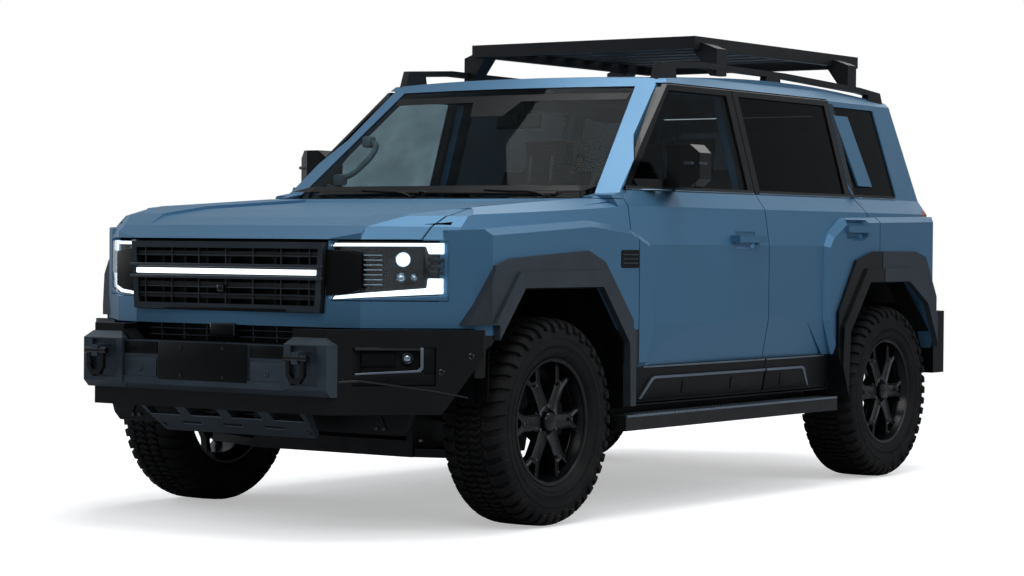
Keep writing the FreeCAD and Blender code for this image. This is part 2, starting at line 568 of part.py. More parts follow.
# Both ends of the nose roll down to the slanted lamps.
roll_points = [
    (d.plan_cheek_y - d.overrun, d.lip_z), (d.plan_cheek_y, d.lip_z),
    (d.plan_cheek_y + d.edge_roll_a, d.edge_roll_a_z),
    (d.plan_cheek_y + d.edge_roll_b, d.edge_roll_b_z),
    (d.plan_cheek_y + d.edge_roll_c, d.edge_roll_c_z),
    (d.plan_cheek_y + d.edge_roll_c, d.above_z), (d.plan_cheek_y - d.overrun, d.above_z),
]
roll = new("Part::Extrusion", "nose_roll")
roll.Base = sketch("nose_roll", "YZ", roll_points, d.plan_cheek_x)
roll.DirMode = "Custom"
roll.Dir = FreeCAD.Vector((d.plan_corner_x - d.plan_cheek_x).value,
                          (d.plan_corner_y - d.plan_cheek_y).value, 0)
roll.Solid = True
bind(roll, LengthFwd=d.edge_roll_length)

# The bonnet's middle lies lower between two raised shoulders.
recess_profile = prism("recess_profile", "YZ", [
    (d.brow_y, d.brow_z), (d.crown_y, d.crown_z - d.recess_depth),
    (d.bonnet_mid_y, d.bonnet_mid_z - d.recess_depth), (d.recess_back_y, d.recess_back_z),
    (d.recess_end_y, d.bonnet_end_z), (d.recess_end_y, d.above_z), (d.brow_y, d.above_z)],
    -wide, wide)
recess_plan = prism("recess_plan", "XY", both([
    (d.recess_front_half, d.brow_y - d.overrun), (d.recess_front_half, d.brow_y),
    (d.recess_mid_half, d.recess_mid_y), (d.recess_back_half, d.recess_end_y)]),
    d.lip_z, d.above_z)
recess = common("bonnet_recess", recess_profile, recess_plan)

# The doors' lower facet leans inwards and leaves a ledge above the cladding.
facet_plan = prism("facet_plan", "YZ", [
    (d.facet_front_low_y, d.rocker_z), (d.facet_front_y, d.facet_z),
    (d.facet_mid_y, d.facet_mid_z), (d.facet_back_y, d.facet_back_z),
    (d.facet_back_low_y, d.rocker_z)], d.facet_floor_x, d.plan_out_x)
facet_lean = prism("facet_lean", "XZ", [
    (d.facet_low_x, d.ledge_z), (d.facet_high_x, d.facet_back_z), (d.plan_out_x, d.facet_back_z),
    (d.plan_out_x, d.ledge_z)], zero, d.tail_y)
facet = common("facet", facet_plan, facet_lean)
lower_trim = cut("lower_trim", lower_form, common(
    "shoulder_zone", shoulders, box("shoulder_box", -wide, wide, d.nose_y - d.overrun,
                                    d.cowl_end_y, d.below_z, d.belt_z + d.overrun)),
                 pair("nose_rolls", roll), recess)


def blister(label, points):
    """A raised field on the body side with sloped edges."""
    root = prism(label + "_root", "YZ", points, d.blister_root_x, d.blister_foot_x)
    cap = prism(label + "_cap", "YZ", points, d.blister_foot_x, d.blister_x, d.blister_taper)
    left = fuse(label + "_left", root, cap)
    return common(label + "_trim", pair(label, left), plan_volume)


front_blister = blister("front_blister", [
    (d.front_blister_a_y, d.front_blister_low_z), (d.front_blister_b_y, d.front_blister_b_z),
    (d.front_blister_c_y, d.front_blister_c_z), (d.front_blister_d_y, d.front_blister_d_z),
    (d.front_blister_e_y, d.front_blister_e_z), (d.front_blister_f_y, d.front_blister_f_z),
    (d.front_blister_f_y, d.rear_blister_b_z), (d.front_blister_g_y, d.rocker_z),
    (d.front_blister_a_y, d.rocker_z),
])
rear_blister = blister("rear_blister", [
    (d.rear_blister_a_y, d.rocker_z), (d.rear_blister_b_y, d.rear_blister_b_z),
    (d.rear_blister_b_y, d.rear_blister_c_z), (d.rear_blister_d_y, d.rear_blister_d_z),
    (d.rear_blister_e_y, d.rear_blister_e_z), (d.rear_blister_f_y, d.rear_blister_f_z),
    (d.rear_blister_f_y, d.rocker_z),
])
def scoop(label, start_y, height):
    """The hollow behind a door handle, with sloped edges."""
    first = start_y + d.scoop_lead
    last = start_y + d.handle_length - d.scoop_lead
    top = height + d.handle_height + d.scoop_high
    return prism(label, "YZ", [
        (first, height - d.scoop_low), (last - d.scoop_lead, height - d.scoop_low),
        (last, height), (last, top), (first, top)], d.scoop_floor_x, d.plan_out_x, d.scoop_taper)


outer = fuse("outer", lower_trim, upper_form, front_blister, rear_blister)

# Wheel arches.
rear_axle_y = d.wheelbase
front_arch_points = [
    (-d.arch_foot, d.below_z), (-d.arch_foot, d.arch_low_z), (-d.arch_hip, d.arch_hip_z),
    (-d.arch_top, d.arch_top_z), (d.arch_top, d.arch_top_z), (d.arch_hip, d.arch_hip_z),
    (d.arch_foot, d.arch_low_z), (d.arch_foot, d.below_z),
]
rear_arch_points = [
    (rear_axle_y - d.arch_rear_foot, d.below_z), (rear_axle_y - d.arch_hip, d.arch_hip_z),
    (rear_axle_y - d.arch_top, d.arch_top_z), (rear_axle_y + d.arch_top / 2, d.arch_top_z),
    (rear_axle_y + d.arch_rear_top, d.arch_hip_z + d.flare_width),
    (rear_axle_y + d.arch_hip, d.arch_hip_z - d.flare_width),
    (rear_axle_y + d.arch_hip, d.below_z),
]
front_arch_sketch = sketch("front_arch", "YZ", front_arch_points, d.liner_inner_x)
rear_arch_sketch = sketch("rear_arch", "YZ", rear_arch_points, d.arch_inner_x)
front_arch = pair("front_arches", extrude("front_arch", front_arch_sketch, "YZ", wide))
rear_arch = pair("rear_arches", extrude("rear_arch", rear_arch_sketch, "YZ", wide))
shell = cut("shell", outer, front_arch, rear_arch)

# Volumes at the depths of the skin, the doors, the seals and the inner wall.
skin_in = side_volume("skin_in", d.skin, d.skin_upper)
door_in = side_volume("door_in", d.door_depth, d.door_depth_upper)
seal_in = side_volume("seal_in", d.door_depth + d.ring_gap, d.door_depth_upper + d.ring_gap)
wall_in = side_volume("wall_in", d.wall_depth, d.wall_depth_upper)
roof_in = roof_volume("roof_inner", d.roof_thick)
screen_in = screen_cone("screen_inner", d.screen_frame)
cabin_points = [
    (d.cabin_front_y, d.below_z), (d.cabin_front_y, d.bulkhead_top_z),
    (d.bonnet_mid_y, d.bulkhead_top_z), (d.bonnet_mid_y, d.above_z),
    (d.cabin_rear_top_y, d.above_z),
    (d.cabin_rear_top_y, d.roof_edge_z), (d.cabin_rear_y, d.belt_z), (d.cabin_rear_y, d.below_z),
]
cabin = common("cabin", prism("cabin_profile", "YZ", cabin_points, -wide, wide), wall_in,
               roof_in, screen_in)

# Door outlines and their cutters.
front_door_points = [
    (d.door_front_y, d.door_bottom_z), (d.door_front_y, d.pillar_foot_z),
    (d.pillar_mid_y, d.pillar_mid_z), (d.pillar_top_y, d.door_top_z),
    (d.door_split_y, d.door_top_z), (d.door_split_y, d.door_bottom_z),
]
rear_start = d.door_split_y + d.door_gap
rear_door_points = [
    (rear_start, d.door_bottom_z), (rear_start, d.door_top_z),
    (d.rear_door_upper_y, d.door_top_z), (d.rear_door_upper_y, d.rear_door_upper_z),
    (d.rear_door_edge_y, d.rear_door_edge_z), (d.rear_door_edge_y, d.arch_top_z),
    (d.rear_door_top_arch_y, d.arch_top_z), (d.rear_door_arch_y, d.rear_door_arch_z),
    (d.rear_door_hip_y, d.rear_door_hip_z), (d.rear_door_low_y, d.door_bottom_z),
]


def door_set(label, points, glass_points):
    """The volumes that cut a side door and its opening."""
    outline = sketch(label + "_line", "YZ", points, zero)
    full = extrude(label + "_full", outline, "YZ", wide)
    gap = extrude(label + "_gap", offset(label + "_gap_line", outline, d.door_gap), "YZ", wide)
    core = extrude(label + "_core", offset(label + "_core_line", outline, -d.rebate), "YZ", wide)
    hole = extrude(label + "_hole", offset(label + "_hole_line", outline, -d.ring_overlap),
                   "YZ", wide)
    window = prism(label + "_window", "YZ", glass_points, zero, wide)
    return full, gap, core, hole, window


front_glass_points = [
    (d.glass_front_low_y, d.glass_low_z), (d.glass_front_high_y, d.glass_high_z),
    (d.glass_front_end_y, d.glass_high_z), (d.glass_front_end_y, d.glass_low_z),
]
rear_glass_points = [
    (d.glass_rear_start_y, d.glass_low_z), (d.glass_rear_start_y, d.glass_high_z),
    (d.glass_rear_end_y, d.glass_high_z), (d.glass_rear_end_y, d.glass_low_z),
]
quarter_points = [
    (d.quarter_start_y, d.glass_low_z), (d.quarter_start_y, d.glass_high_z),
    (d.quarter_end_high_y, d.glass_high_z), (d.quarter_end_low_y, d.glass_low_z),
]
front_door = door_set("front_door", front_door_points, front_glass_points)
rear_door = door_set("rear_door", rear_door_points, rear_glass_points)
quarter_window = prism("quarter_window", "YZ", quarter_points, zero, wide)
glass_out = side_volume("glass_out", d.glass_sink, d.glass_sink)
glass_in = side_volume("glass_in", d.glass_sink + d.glass_thick, d.glass_sink + d.glass_thick)
glass_shell = cut("glass_shell", glass_out, glass_in)

door_shell = common("door_shell", shell, box("door_length", -wide, wide, d.hinge_pillar_y,
                                             d.cabin_rear_top_y, zero, d.above_z))
outer_skin = cut("outer_skin", door_shell, skin_in)
inner_skin = cut("inner_skin", common("skin_zone", door_shell, skin_in), door_in)


def handle(label, start_y, height):
    """A bar handle on two feet."""
    bar = box(label + "_bar", d.handle_in_x, d.handle_out_x, start_y, start_y + d.handle_length,
              height, height + d.handle_height)
    feet = [
        box(label + "_foot_a", d.handle_root_x, d.handle_out_x, start_y, start_y + d.handle_foot,
            height, height + d.handle_height),
        box(label + "_foot_b", d.handle_root_x, d.handle_out_x,
            start_y + d.handle_length - d.handle_foot, start_y + d.handle_length,
            height, height + d.handle_height),
    ]
    return fuse(label, bar, *feet)


slab = box("paint_slab", -wide, wide, -d.overrun * d.far_share, d.tail_y + d.overrun, d.ledge_z, d.belt_z)


def door(label, cutters, handle_y, handle_z):
    """The painted panel, the black trim and the glass of one left side door."""
    full, gap, core, hole, window = cutters
    solid = fuse(label + "_solid", common(label + "_outer", outer_skin, full),
                 common(label + "_inner", inner_skin, core))
    opened = cut(label + "_opened", solid, window, scoop(label + "_scoop", handle_y, handle_z),
                 facet)
    panel = fuse(label + "_panel", common(label + "_painted", opened, slab),
                 handle(label + "_handle", handle_y, handle_z))
    trim = cut(label + "_trim", opened, slab)
    glass = common(label + "_glass", glass_shell, window)
    return panel, trim, glass


front_panel, front_trim, front_glass = door("front_door", front_door, d.handle_front_y, d.handle_z)
rear_panel, rear_trim, rear_glass = door("rear_door", rear_door, d.handle_rear_y, d.handle_rear_z)

# Mirror on an arm from the front corner of the door's window.
mirror_face = [
    (d.mirror_in_x, d.mirror_low_z), (d.mirror_in_x, d.mirror_high_z - d.mirror_chamfer),
    (d.mirror_in_x + d.mirror_chamfer, d.mirror_high_z),
    (d.mirror_out_x - d.mirror_chamfer, d.mirror_high_z),
    (d.mirror_out_x, d.mirror_high_z - d.mirror_chamfer),
    (d.mirror_out_x, d.mirror_low_z + d.mirror_chamfer),
    (d.mirror_out_x - d.mirror_chamfer, d.mirror_low_z),
]
mirror_outline = sketch("mirror_outline", "XZ", mirror_face, d.mirror_front_y)
mirror_plan = prism("mirror_plan", "XY", [
    (d.mirror_in_x, d.mirror_front_y + d.mirror_slope),
    (d.mirror_in_x + d.mirror_chamfer, d.mirror_front_y),
    (d.mirror_out_x - d.mirror_chamfer * 2, d.mirror_front_y),
    (d.mirror_out_x, d.mirror_front_y + d.mirror_slope * 2), (d.mirror_out_x, d.mirror_back_y),
    (d.mirror_in_x, d.mirror_back_y)], d.belt_z, d.window_top_z)
mirror_head = common("mirror_head", extrude("mirror_block", mirror_outline, "XZ", d.mirror_back_y -
                                            d.mirror_front_y), mirror_plan)
mirror_hollow = cut("mirror_hollow", extrude("mirror_hole", offset(
    "mirror_hole_line", mirror_outline, -d.mirror_shell), "XZ", d.overrun), box(
    "mirror_floor", zero, wide, d.mirror_front_y - d.overrun, d.mirror_back_y - d.mirror_slope,
    zero, d.above_z))
mirror_neck = prism("mirror_neck", "XY", [
    (d.mirror_neck_x, d.mirror_neck_y), (d.mirror_arm_x, d.mirror_front_y + d.mirror_slope),
    (d.mirror_arm_x + d.mirror_slope, d.mirror_arm_y), (d.mirror_in_x, d.mirror_arm_y),
    (d.mirror_neck_x, d.mirror_neck_end_y)], d.belt_z, d.mirror_neck_z)
front_trim_full = fuse("front_trim_full", front_trim, mirror_neck,
                       cut("mirror_shell", mirror_head, mirror_hollow))
front_glass = cut("front_glass_fitted", front_glass, mirror_neck)

# Flares around the wheel arches.
front_flare_points = [
    (-d.flare_tip_y, d.flare_foot_z), (-d.flare_hip_front, d.flare_hip_front_z),
    (-d.flare_top_front, d.flare_top_z - d.skin), (d.flare_top_back, d.flare_top_z),
    (d.flare_hip_back, d.flare_hip_back_z), (d.flare_back_y, d.flare_foot_z),
    (d.flare_back_y, d.flare_back_z), (d.arch_hip - d.skin, d.flare_back_z),
    (d.arch_hip - d.skin, d.arch_low_z), (d.skin - d.arch_hip, d.arch_low_z),
    (d.skin - d.arch_hip, d.flare_foot_z),
]
rear_flare_points = [
    (rear_axle_y - d.rear_flare_front, d.flare_foot_z),
    (rear_axle_y - d.rear_flare_hip, d.rear_flare_hip_z - d.skin / 2),
    (rear_axle_y - d.rear_flare_top, d.flare_top_z),
    (rear_axle_y + d.rear_flare_top, d.flare_top_z),
    (rear_axle_y + d.rear_flare_hip * d.flare_rear_hip_share, d.rear_flare_hip_z),
    (rear_axle_y + d.rear_flare_back * d.flare_rear_back_share, d.flare_foot_z + d.flare_width / 2),
    (rear_axle_y + d.rear_flare_back * d.flare_rear_back_share, d.arch_low_z),
    (rear_axle_y - d.arch_foot, d.arch_low_z),
    (rear_axle_y - d.rear_flare_front, d.rocker_z),
]
flare_plan = extrude("flare_plan", offset("flare_plan_line", plan_sketch, d.flare_lip), "XY",
                     d.above_z - d.below_z)


def flare(label, points, arch_line, arch):
    """A flare in two steps: a raised band beside the opening and a lower one around it."""
    low = prism(label + "_low", "YZ", points, d.flare_root_x, d.flare_step_x)
    high = prism(label + "_high", "YZ", points, d.flare_root_x, d.flare_x)
    band = extrude(label + "_band", offset(label + "_band_line", arch_line, d.flare_band), "YZ",
                   wide)
    block = fuse(label + "_block", low, common(label + "_raised", high, band))
    return common(label, cut(label + "_trimmed", block, outer, arch), flare_plan)


front_flare = flare("front_flare", front_flare_points, front_arch_sketch, front_arch)
rear_flare = flare("rear_flare", rear_flare_points, rear_arch_sketch, rear_arch)
ahead = box("ahead_of_split", zero, wide, d.wheelbase - d.overrun * 2, d.rear_door_edge_y,
            zero, d.above_z)
behind = box("behind_split", zero, wide, d.rear_door_edge_y + d.flare_split_gap,
             d.tail_y + d.overrun, zero, d.above_z)
door_flare = common("door_flare", rear_flare, ahead)
quarter_flare = common("quarter_flare", rear_flare, behind)
rear_trim_full = fuse("rear_trim_full", rear_trim, door_flare)

for side, name in (("left", "l"), ("right", "r")):
    pieces = {
        "door_f" + name: front_panel, "door_trim_f" + name: front_trim_full,
        "door_glass_f" + name: front_glass, "door_r" + name: rear_panel,
        "door_trim_r" + name: rear_trim_full, "door_glass_r" + name: rear_glass,
    }
    for label, source in pieces.items():
        left_half = box(label + "_side", zero, wide, -d.overrun * d.far_share, d.tail_y + d.overrun,
                        zero, d.above_z)
        piece = common(label + "_cut", source, left_half)
        node(label, piece if side == "left" else mirror(label + "_mirror", piece))

# Fixed glass.
node("quarter_glass", common("quarter_pane", glass_shell,
                             pair("quarter_windows", quarter_window)))
screen_points = both([(d.screen_low_x, d.screen_low_z), (d.screen_top_x, d.screen_top_z)])
screen_hole = prism("screen_hole", "XZ", screen_points, zero, d.pillar_top_y + d.overrun)
screen_shell = cut("screen_shell", screen_cone("screen_a", d.screen_sink),
                   screen_cone("screen_b", d.screen_sink + d.screen_glass))
node("windscreen", common("windscreen_pane", screen_shell, screen_hole))
screen_cutter = cut("screen_cutter", screen_hole, screen_in)

# Tailgate opening, a block that reaches through the rear wall.
gate_points = both([(d.gate_half, d.gate_low_z), (d.gate_half, d.belt_z),
                    (d.gate_half - d.flare_width, d.gate_high_z)])
gate_sketch = sketch("gate_line", "XZ", gate_points, d.cabin_rear_top_y - d.gate_depth)
gate_full = extrude("gate_full", gate_sketch, "XZ", d.overrun * 2)
gate_gap = extrude("gate_gap", offset("gate_gap_line", gate_sketch, d.gate_gap), "XZ",
                   d.overrun * 2)
roof_zone = box("roof_zone", -d.roof_half_width, d.roof_half_width, d.bonnet_end_y,
                d.tail_y + d.overrun, d.roof_split_z, d.above_z)

# Body sides with pillars, sills and quarters.
cabin_shell = cut("cabin_shell", shell, cabin, screen_cutter, gate_gap)
front_off = box("front_off", -wide, wide, d.nose_y - d.overrun, d.hinge_pillar_y, zero, d.above_z)
front_step = cut("front_step", box("front_step_box", -wide, wide, zero, d.door_front_y -
                                   d.door_gap, zero, d.pillar_foot_z + d.front_gap), seal_in)
centre_off = common("centre_off", wall_in, box("centre_off_box", -wide, wide, zero,
                                               d.cabin_front_y, zero, d.screen_low_z))
door_gaps = cut("door_gaps", fuse("door_gap_pair", front_door[1], rear_door[1]), seal_in)
left_half = box("left_half", zero, wide, -d.overrun * d.far_share, d.tail_y + d.overrun, zero, d.above_z)
half_shell = common("half_shell", cabin_shell, left_half)
side_shell = cut("side_shell", half_shell, front_off, front_step, centre_off, door_gaps,
                 front_door[3], rear_door[3], quarter_window)
rear_low = box("rear_low", -d.plan_tail_in_x + d.skin, d.plan_tail_in_x - d.skin,
               d.cabin_rear_top_y, d.tail_y + d.overrun, zero, d.gate_low_z - d.gate_gap)
side_panels = cut("side_panels", side_shell, roof_zone, rear_low)
quarter_plate = cut("quarter_plate", common("quarter_plate_zone", side_volume(
    "plate_out", -d.plate_proud, -d.plate_proud), prism("quarter_plate_line", "YZ", [
        (d.quarter_plate_low_y, d.quarter_plate_low_z),
        (d.quarter_plate_high_y, d.quarter_plate_high_z),
        (d.quarter_plate_high_y + d.quarter_plate_width, d.quarter_plate_high_z),
        (d.quarter_plate_low_y + d.quarter_plate_width, d.quarter_plate_low_z)], zero, wide)),
    glass_out, roof_zone)
lamp_zone = box("tail_lamp_zone", d.tail_lamp_in_x, wide, d.tail_lamp_front_y, d.tail_y +
                d.overrun, d.tail_lamp_low_z, d.tail_lamp_high_z)
side_left = fuse("side_left", cut("side_without_lamp", side_panels, lamp_zone), quarter_plate)
node("tail_lamps", pair("tail_lamp_pair", common("tail_lamp_solids", side_panels, lamp_zone)))
node("roof_panel", common("roof_panel_whole", cabin_shell, roof_zone))

# Tailgate.
gate_in_points = [(y + d.skin, z) for y, z in [
    (d.cabin_rear_y, d.below_z), (d.cabin_rear_y, d.belt_z),
    (d.cabin_rear_top_y, d.roof_edge_z), (d.cabin_rear_top_y, d.above_z)]]
gate_block_points = gate_in_points + [(d.tail_y + d.overrun, d.above_z),
                                      (d.tail_y + d.overrun, d.below_z)]
gate_block = prism("gate_block", "YZ", gate_block_points, -wide, wide)
gate_solid = common("gate_solid", shell, gate_full, gate_block)
gate_window_points = both([(d.gate_glass_half, d.gate_glass_low_z),
                           (d.gate_glass_half - d.flare_width / 2, d.gate_glass_high_z)])
gate_window = prism("gate_window", "XZ", gate_window_points, d.cabin_rear_top_y - d.overrun,
                    d.tail_y + d.overrun)
post = bar("spare_post", "y", d.spare_post_radius, d.spare_y + d.spare_inset - d.tail_belt_y
           + d.skin, zero, d.tail_belt_y - d.skin, d.spare_z, "hub_sides")


def gate_hinge(label, low, leaf):
    """Half of a tailgate hinge: a barrel on the axis and a leaf beside it."""
    barrel = bar(label + "_barrel", "z", d.gate_barrel_radius, d.gate_barrel_height,
                 -d.gate_hinge_x, d.gate_hinge_y, low)
    reach = d.gate_barrel_leaf if leaf > 0 else -d.gate_barrel_leaf
    x0, x1 = (-d.gate_hinge_x, reach - d.gate_hinge_x)
    if leaf < 0:
        x0, x1 = x1, x0
    plate = box(label + "_leaf", x0, x1, d.tail_belt_y - d.skin / 2, d.gate_hinge_y, low, low +
                d.gate_barrel_height)
    return fuse(label, barrel, plate)


gate_hinges = []
body_hinges = []
for index, level in enumerate((d.gate_hinge_low_z, d.gate_hinge_high_z)):
    gate_hinges.append(gate_hinge("gate_hinge_%d" % index, level, 1))
    body_hinges.append(gate_hinge("body_hinge_%d" % index, level + d.gate_barrel_height +
                                  d.seat_gap, -1))
node("tailgate", fuse("tailgate_with_post", cut("tailgate_cut", gate_solid, gate_window), post,
                      *gate_hinges))
node("body_sides", fuse("body_sides_whole", side_left, mirror("side_right", side_left),
                        *body_hinges))
gate_glass_slab = prism("gate_glass_slab", "YZ", [
    (d.tail_belt_y - d.glass_sink - d.glass_thick, d.belt_z),
    (d.tail_belt_y - d.glass_sink, d.belt_z), (d.tail_top_y - d.glass_sink, d.roof_edge_z),
    (d.tail_top_y - d.glass_sink - d.glass_thick, d.roof_edge_z)], -wide, wide)
node("tailgate_glass", common("tailgate_pane", gate_glass_slab, gate_window))

# Front panels: wings and the band below the lamps.
hood_plan_points = both([(d.bonnet_front_half, d.nose_y - d.overrun),
                         (d.bonnet_front_half, d.bonnet_front_y), (d.bonnet_half_width,
                         d.bonnet_corner_y), (d.bonnet_half_width, d.bonnet_end_y)])
hood_line = sketch("hood_line", "XY", hood_plan_points, d.lip_z)
hood_zone = extrude("hood_zone", hood_line, "XY", d.overrun)
hood_gap_line = sketch("hood_gap", "XY", hood_plan_points, d.lip_z - d.bonnet_gap)
hood_gap_zone = extrude("hood_gap_zone", offset("hood_gap_offset", hood_gap_line, d.bonnet_gap),
                        "XY", d.overrun)
under_points = [
    (d.nose_y + d.bonnet_thick, d.below_z), (d.nose_y + d.bonnet_thick, d.nose_mid_z),
    (d.lip_y + d.bonnet_thick, d.lip_z - d.bonnet_thick / 2),
    (d.brow_y, d.brow_z - d.bonnet_thick), (d.crown_y, d.crown_z - d.bonnet_thick),
    (d.bonnet_mid_y, d.bonnet_mid_z - d.bonnet_thick),
    (d.cowl_end_y, d.belt_z - d.bonnet_thick), (d.cowl_end_y, d.below_z),
]
bay = common("bay", prism("bay_profile", "YZ", under_points, -wide, wide), skin_in,
             extrude("bay_plan", offset("bay_plan_line", plan_sketch, -d.skin), "XY",
                     d.above_z - d.below_z))
front_zone = box("front_zone", -wide, wide, d.nose_y - d.overrun, d.door_front_y - d.door_gap,
                 zero, d.pillar_foot_z)
front_shell = common("front_shell", cut("front_hollow", shell, bay), front_zone)
node("bonnet", common("bonnet_panel", cut("bonnet_hollow", shell, bay), hood_zone))
seal_block = common("seal_block", seal_in, box("seal_block_box", -wide, wide, d.hinge_pillar_y -
                                               d.front_gap, d.door_front_y, zero, d.above_z))
grille_zone = prism("grille_zone", "XZ", both([
    (d.grille_half_low + d.front_gap, d.grille_low_z - d.front_gap),
    (d.grille_half_top + d.front_gap, d.lip_z + d.front_gap)]), d.nose_y - d.overrun,
    d.front_split_y)
lamp_box = box("lamp_box", d.lamp_inner_x, wide, d.nose_y - d.overrun, d.lamp_back_y,
               d.lamp_low_z, d.lamp_high_z)
lamp_gap_box = box("lamp_gap_box", d.lamp_inner_x - d.front_gap, wide, d.nose_y - d.overrun,
                   d.lamp_back_y + d.front_gap, d.lamp_low_z - d.front_gap,
                   d.lamp_high_z + d.front_gap)
front_cut = cut("front_panels_cut", front_shell, hood_gap_zone, seal_block, grille_zone,
                pair("lamp_gaps", lamp_gap_box),
                box("cowl_room", -d.cowl_half - d.front_gap, d.cowl_half + d.front_gap,
                    d.bonnet_end_y - d.overrun, d.door_front_y, d.bulkhead_low_z,
                    d.above_z),
                box("nose_low", -wide, wide, d.nose_y - d.overrun, d.bumper_end_y + d.front_gap,
                    zero, d.band_low_z))
node("front_panels", front_cut)
lamp_core = extrude("lamp_core", offset("lamp_core_line", plan_sketch, -d.lamp_depth), "XY",
                    d.above_z - d.below_z)
lamps = cut("lamps", common("lamps_outer", outer, pair("lamp_boxes", lamp_box)), lamp_core)

# Grille: a frame, a centre bar, slats and upright dividers.
grille_outline = both([(d.grille_half_low, d.grille_low_z), (d.grille_half_top, d.grille_top_z)])
grille_block = prism("grille_block", "XZ", grille_outline, d.grille_face_y, d.grille_face_y +
                     d.grille_depth)
grille_hole = prism("grille_hole", "XZ", both([
    (d.grille_half_low - d.grille_frame, d.grille_low_z + d.grille_frame),
    (d.grille_half_top - d.grille_frame, d.grille_top_z - d.grille_frame)]),
    d.grille_face_y - d.skin, d.grille_face_y + d.grille_depth + d.skin)
inner_half = d.grille_half_low - d.grille_frame / 2
slats = [box("centre_bar", -inner_half, inner_half, d.grille_face_y + d.light_bar_out,
             d.grille_face_y + d.grille_depth, d.bar_low_z, d.bar_high_z)]
levels = (d.grille_low_z + (d.bar_low_z - d.grille_low_z) * d.slat_low_share,
          d.grille_low_z + (d.bar_low_z - d.grille_low_z) * d.slat_high_share,
          d.bar_high_z + (d.grille_top_z - d.bar_high_z) * d.slat_top_share)
for index, level in enumerate(levels):
    slats.append(box("slat_%d" % index, -inner_half, inner_half, d.grille_face_y +
                     d.light_bar_out, d.grille_face_y + d.grille_depth, level,
                     level + d.slat_height))
for index in range(SIZES["divider_count"]):
    share = (index + 1) / (SIZES["divider_count"] + 1) * 2 - 1
    middle = inner_half * share
    slats.append(box("divider_%d" % index, middle - d.divider_width / 2, middle +
                     d.divider_width / 2, d.grille_face_y + d.skin, d.grille_face_y +
                     d.grille_depth, d.grille_low_z + d.grille_frame / 2,
                     d.grille_top_z - d.grille_frame / 2))
node("grille", fuse("grille_whole", cut("grille_frame", grille_block, grille_hole), *slats))
light_bar = box("light_bar", -d.light_bar_half, d.light_bar_half, d.grille_face_y -
                d.light_bar_out, d.grille_face_y + d.light_bar_out,
                (d.bar_low_z + d.bar_high_z) / 2 - d.light_bar_height / 2,
                (d.bar_low_z + d.bar_high_z) / 2 + d.light_bar_height / 2)
bar_clip = box("light_bar_clip", -inner_half + d.grille_frame, inner_half - d.grille_frame,
               d.nose_y - d.overrun, d.grille_face_y + d.light_bar_out, zero, d.above_z)
node("headlamps", lamps, common("light_bar_cut", light_bar, bar_clip))

# Front bumper: a raked band around the nose with an intake and two lamp recesses.
bumper_half = [
    (d.bumper_face_x, d.bumper_face_y), (d.bumper_corner_x, d.bumper_corner_y),
    (d.bumper_cheek_x, d.bumper_cheek_y), (d.bumper_side_x, d.bumper_side_y),
]


def bumper_plan(label, end, amount, low, high):
    """The bumper's plan up to an end line, grown by an amount."""
    half = bumper_half + [(d.bumper_side_x, end)]
    outline = sketch(label + "_plan", "XY", both(half), low)
    return extrude(label, offset(label + "_line", outline, amount), "XY", high - low)


bumper_full = prism("bumper_full", "XY", both(bumper_half + [(d.bumper_side_x, d.bumper_end_y)]),
                    d.bumper_low_z, d.bumper_top_z)
bumper_room = bumper_plan("bumper_room", d.bumper_end_y + d.overrun, -d.bumper_thick,
                          d.below_z, d.above_z)
bumper_core = bumper_plan("bumper_core", d.bumper_end_y + d.overrun, -d.fog_depth, d.below_z,
                          d.above_z)
bumper_block = cut("bumper_block", bumper_full, bumper_room)
bumper_cut_points = [
    (d.bumper_end_y + d.overrun, d.bumper_top_z + d.skin),
    (d.bumper_end_y - d.front_gap, d.bumper_top_z + d.skin),
    (d.bumper_end_y - d.front_gap, d.arch_hip_z), (d.bumper_rake_y, d.bumper_low_z - d.skin),
    (d.bumper_end_y + d.overrun, d.bumper_low_z - d.skin),
]
intake = prism("intake", "XZ", both([
    (d.intake_half, d.intake_low_z), (d.intake_wide_half, d.intake_mid_z),
    (d.intake_top_half, d.bumper_top_z + d.skin)]), d.bumper_face_y - d.overrun,
    d.bumper_face_y + d.overrun)
fog = pair("fog_recess", box("fog_recess_left", d.fog_inner_x, d.fog_outer_x, d.bumper_face_y -
                             d.overrun, d.bumper_cheek_y, d.fog_low_z, d.fog_high_z))
node("front_bumper", cut("front_bumper_cut", bumper_block, intake,
                         cut("fog_floor", fog, bumper_core),
                         prism("bumper_ends", "YZ", bumper_cut_points, -wide, wide)))

# Guard: two towers with a beam, the blank plate board, and a raked skid plate below.
tower_side = prism("tower_side", "YZ", [
    (d.tower_back_y, d.tower_low_z), (d.tower_face_y + d.tower_chamfer, d.tower_low_z),
    (d.tower_face_y, d.tower_low_z + d.tower_chamfer),
    (d.tower_face_y, d.tower_high_z - d.tower_chamfer),
    (d.tower_face_y + d.tower_chamfer, d.tower_high_z), (d.tower_back_y, d.tower_high_z)],
    d.tower_inner_x, d.tower_outer_x)
tower_front = prism("tower_front", "XZ", [
    (d.tower_inner_x, d.tower_low_z), (d.tower_inner_x, d.tower_high_z - d.tower_chamfer),
    (d.tower_inner_x + d.tower_chamfer, d.tower_high_z),
    (d.tower_outer_x - d.tower_chamfer, d.tower_high_z),
    (d.tower_outer_x, d.tower_high_z - d.tower_chamfer), (d.tower_outer_x, d.tower_low_z)],
    d.tower_face_y - d.overrun, d.tower_back_y)
pocket = box("tower_pocket", d.shackle_x - d.pocket_half, d.shackle_x + d.pocket_half,
             d.tower_face_y - d.overrun, d.tower_face_y + d.pocket_depth, d.pocket_low_z,
             d.pocket_high_z)
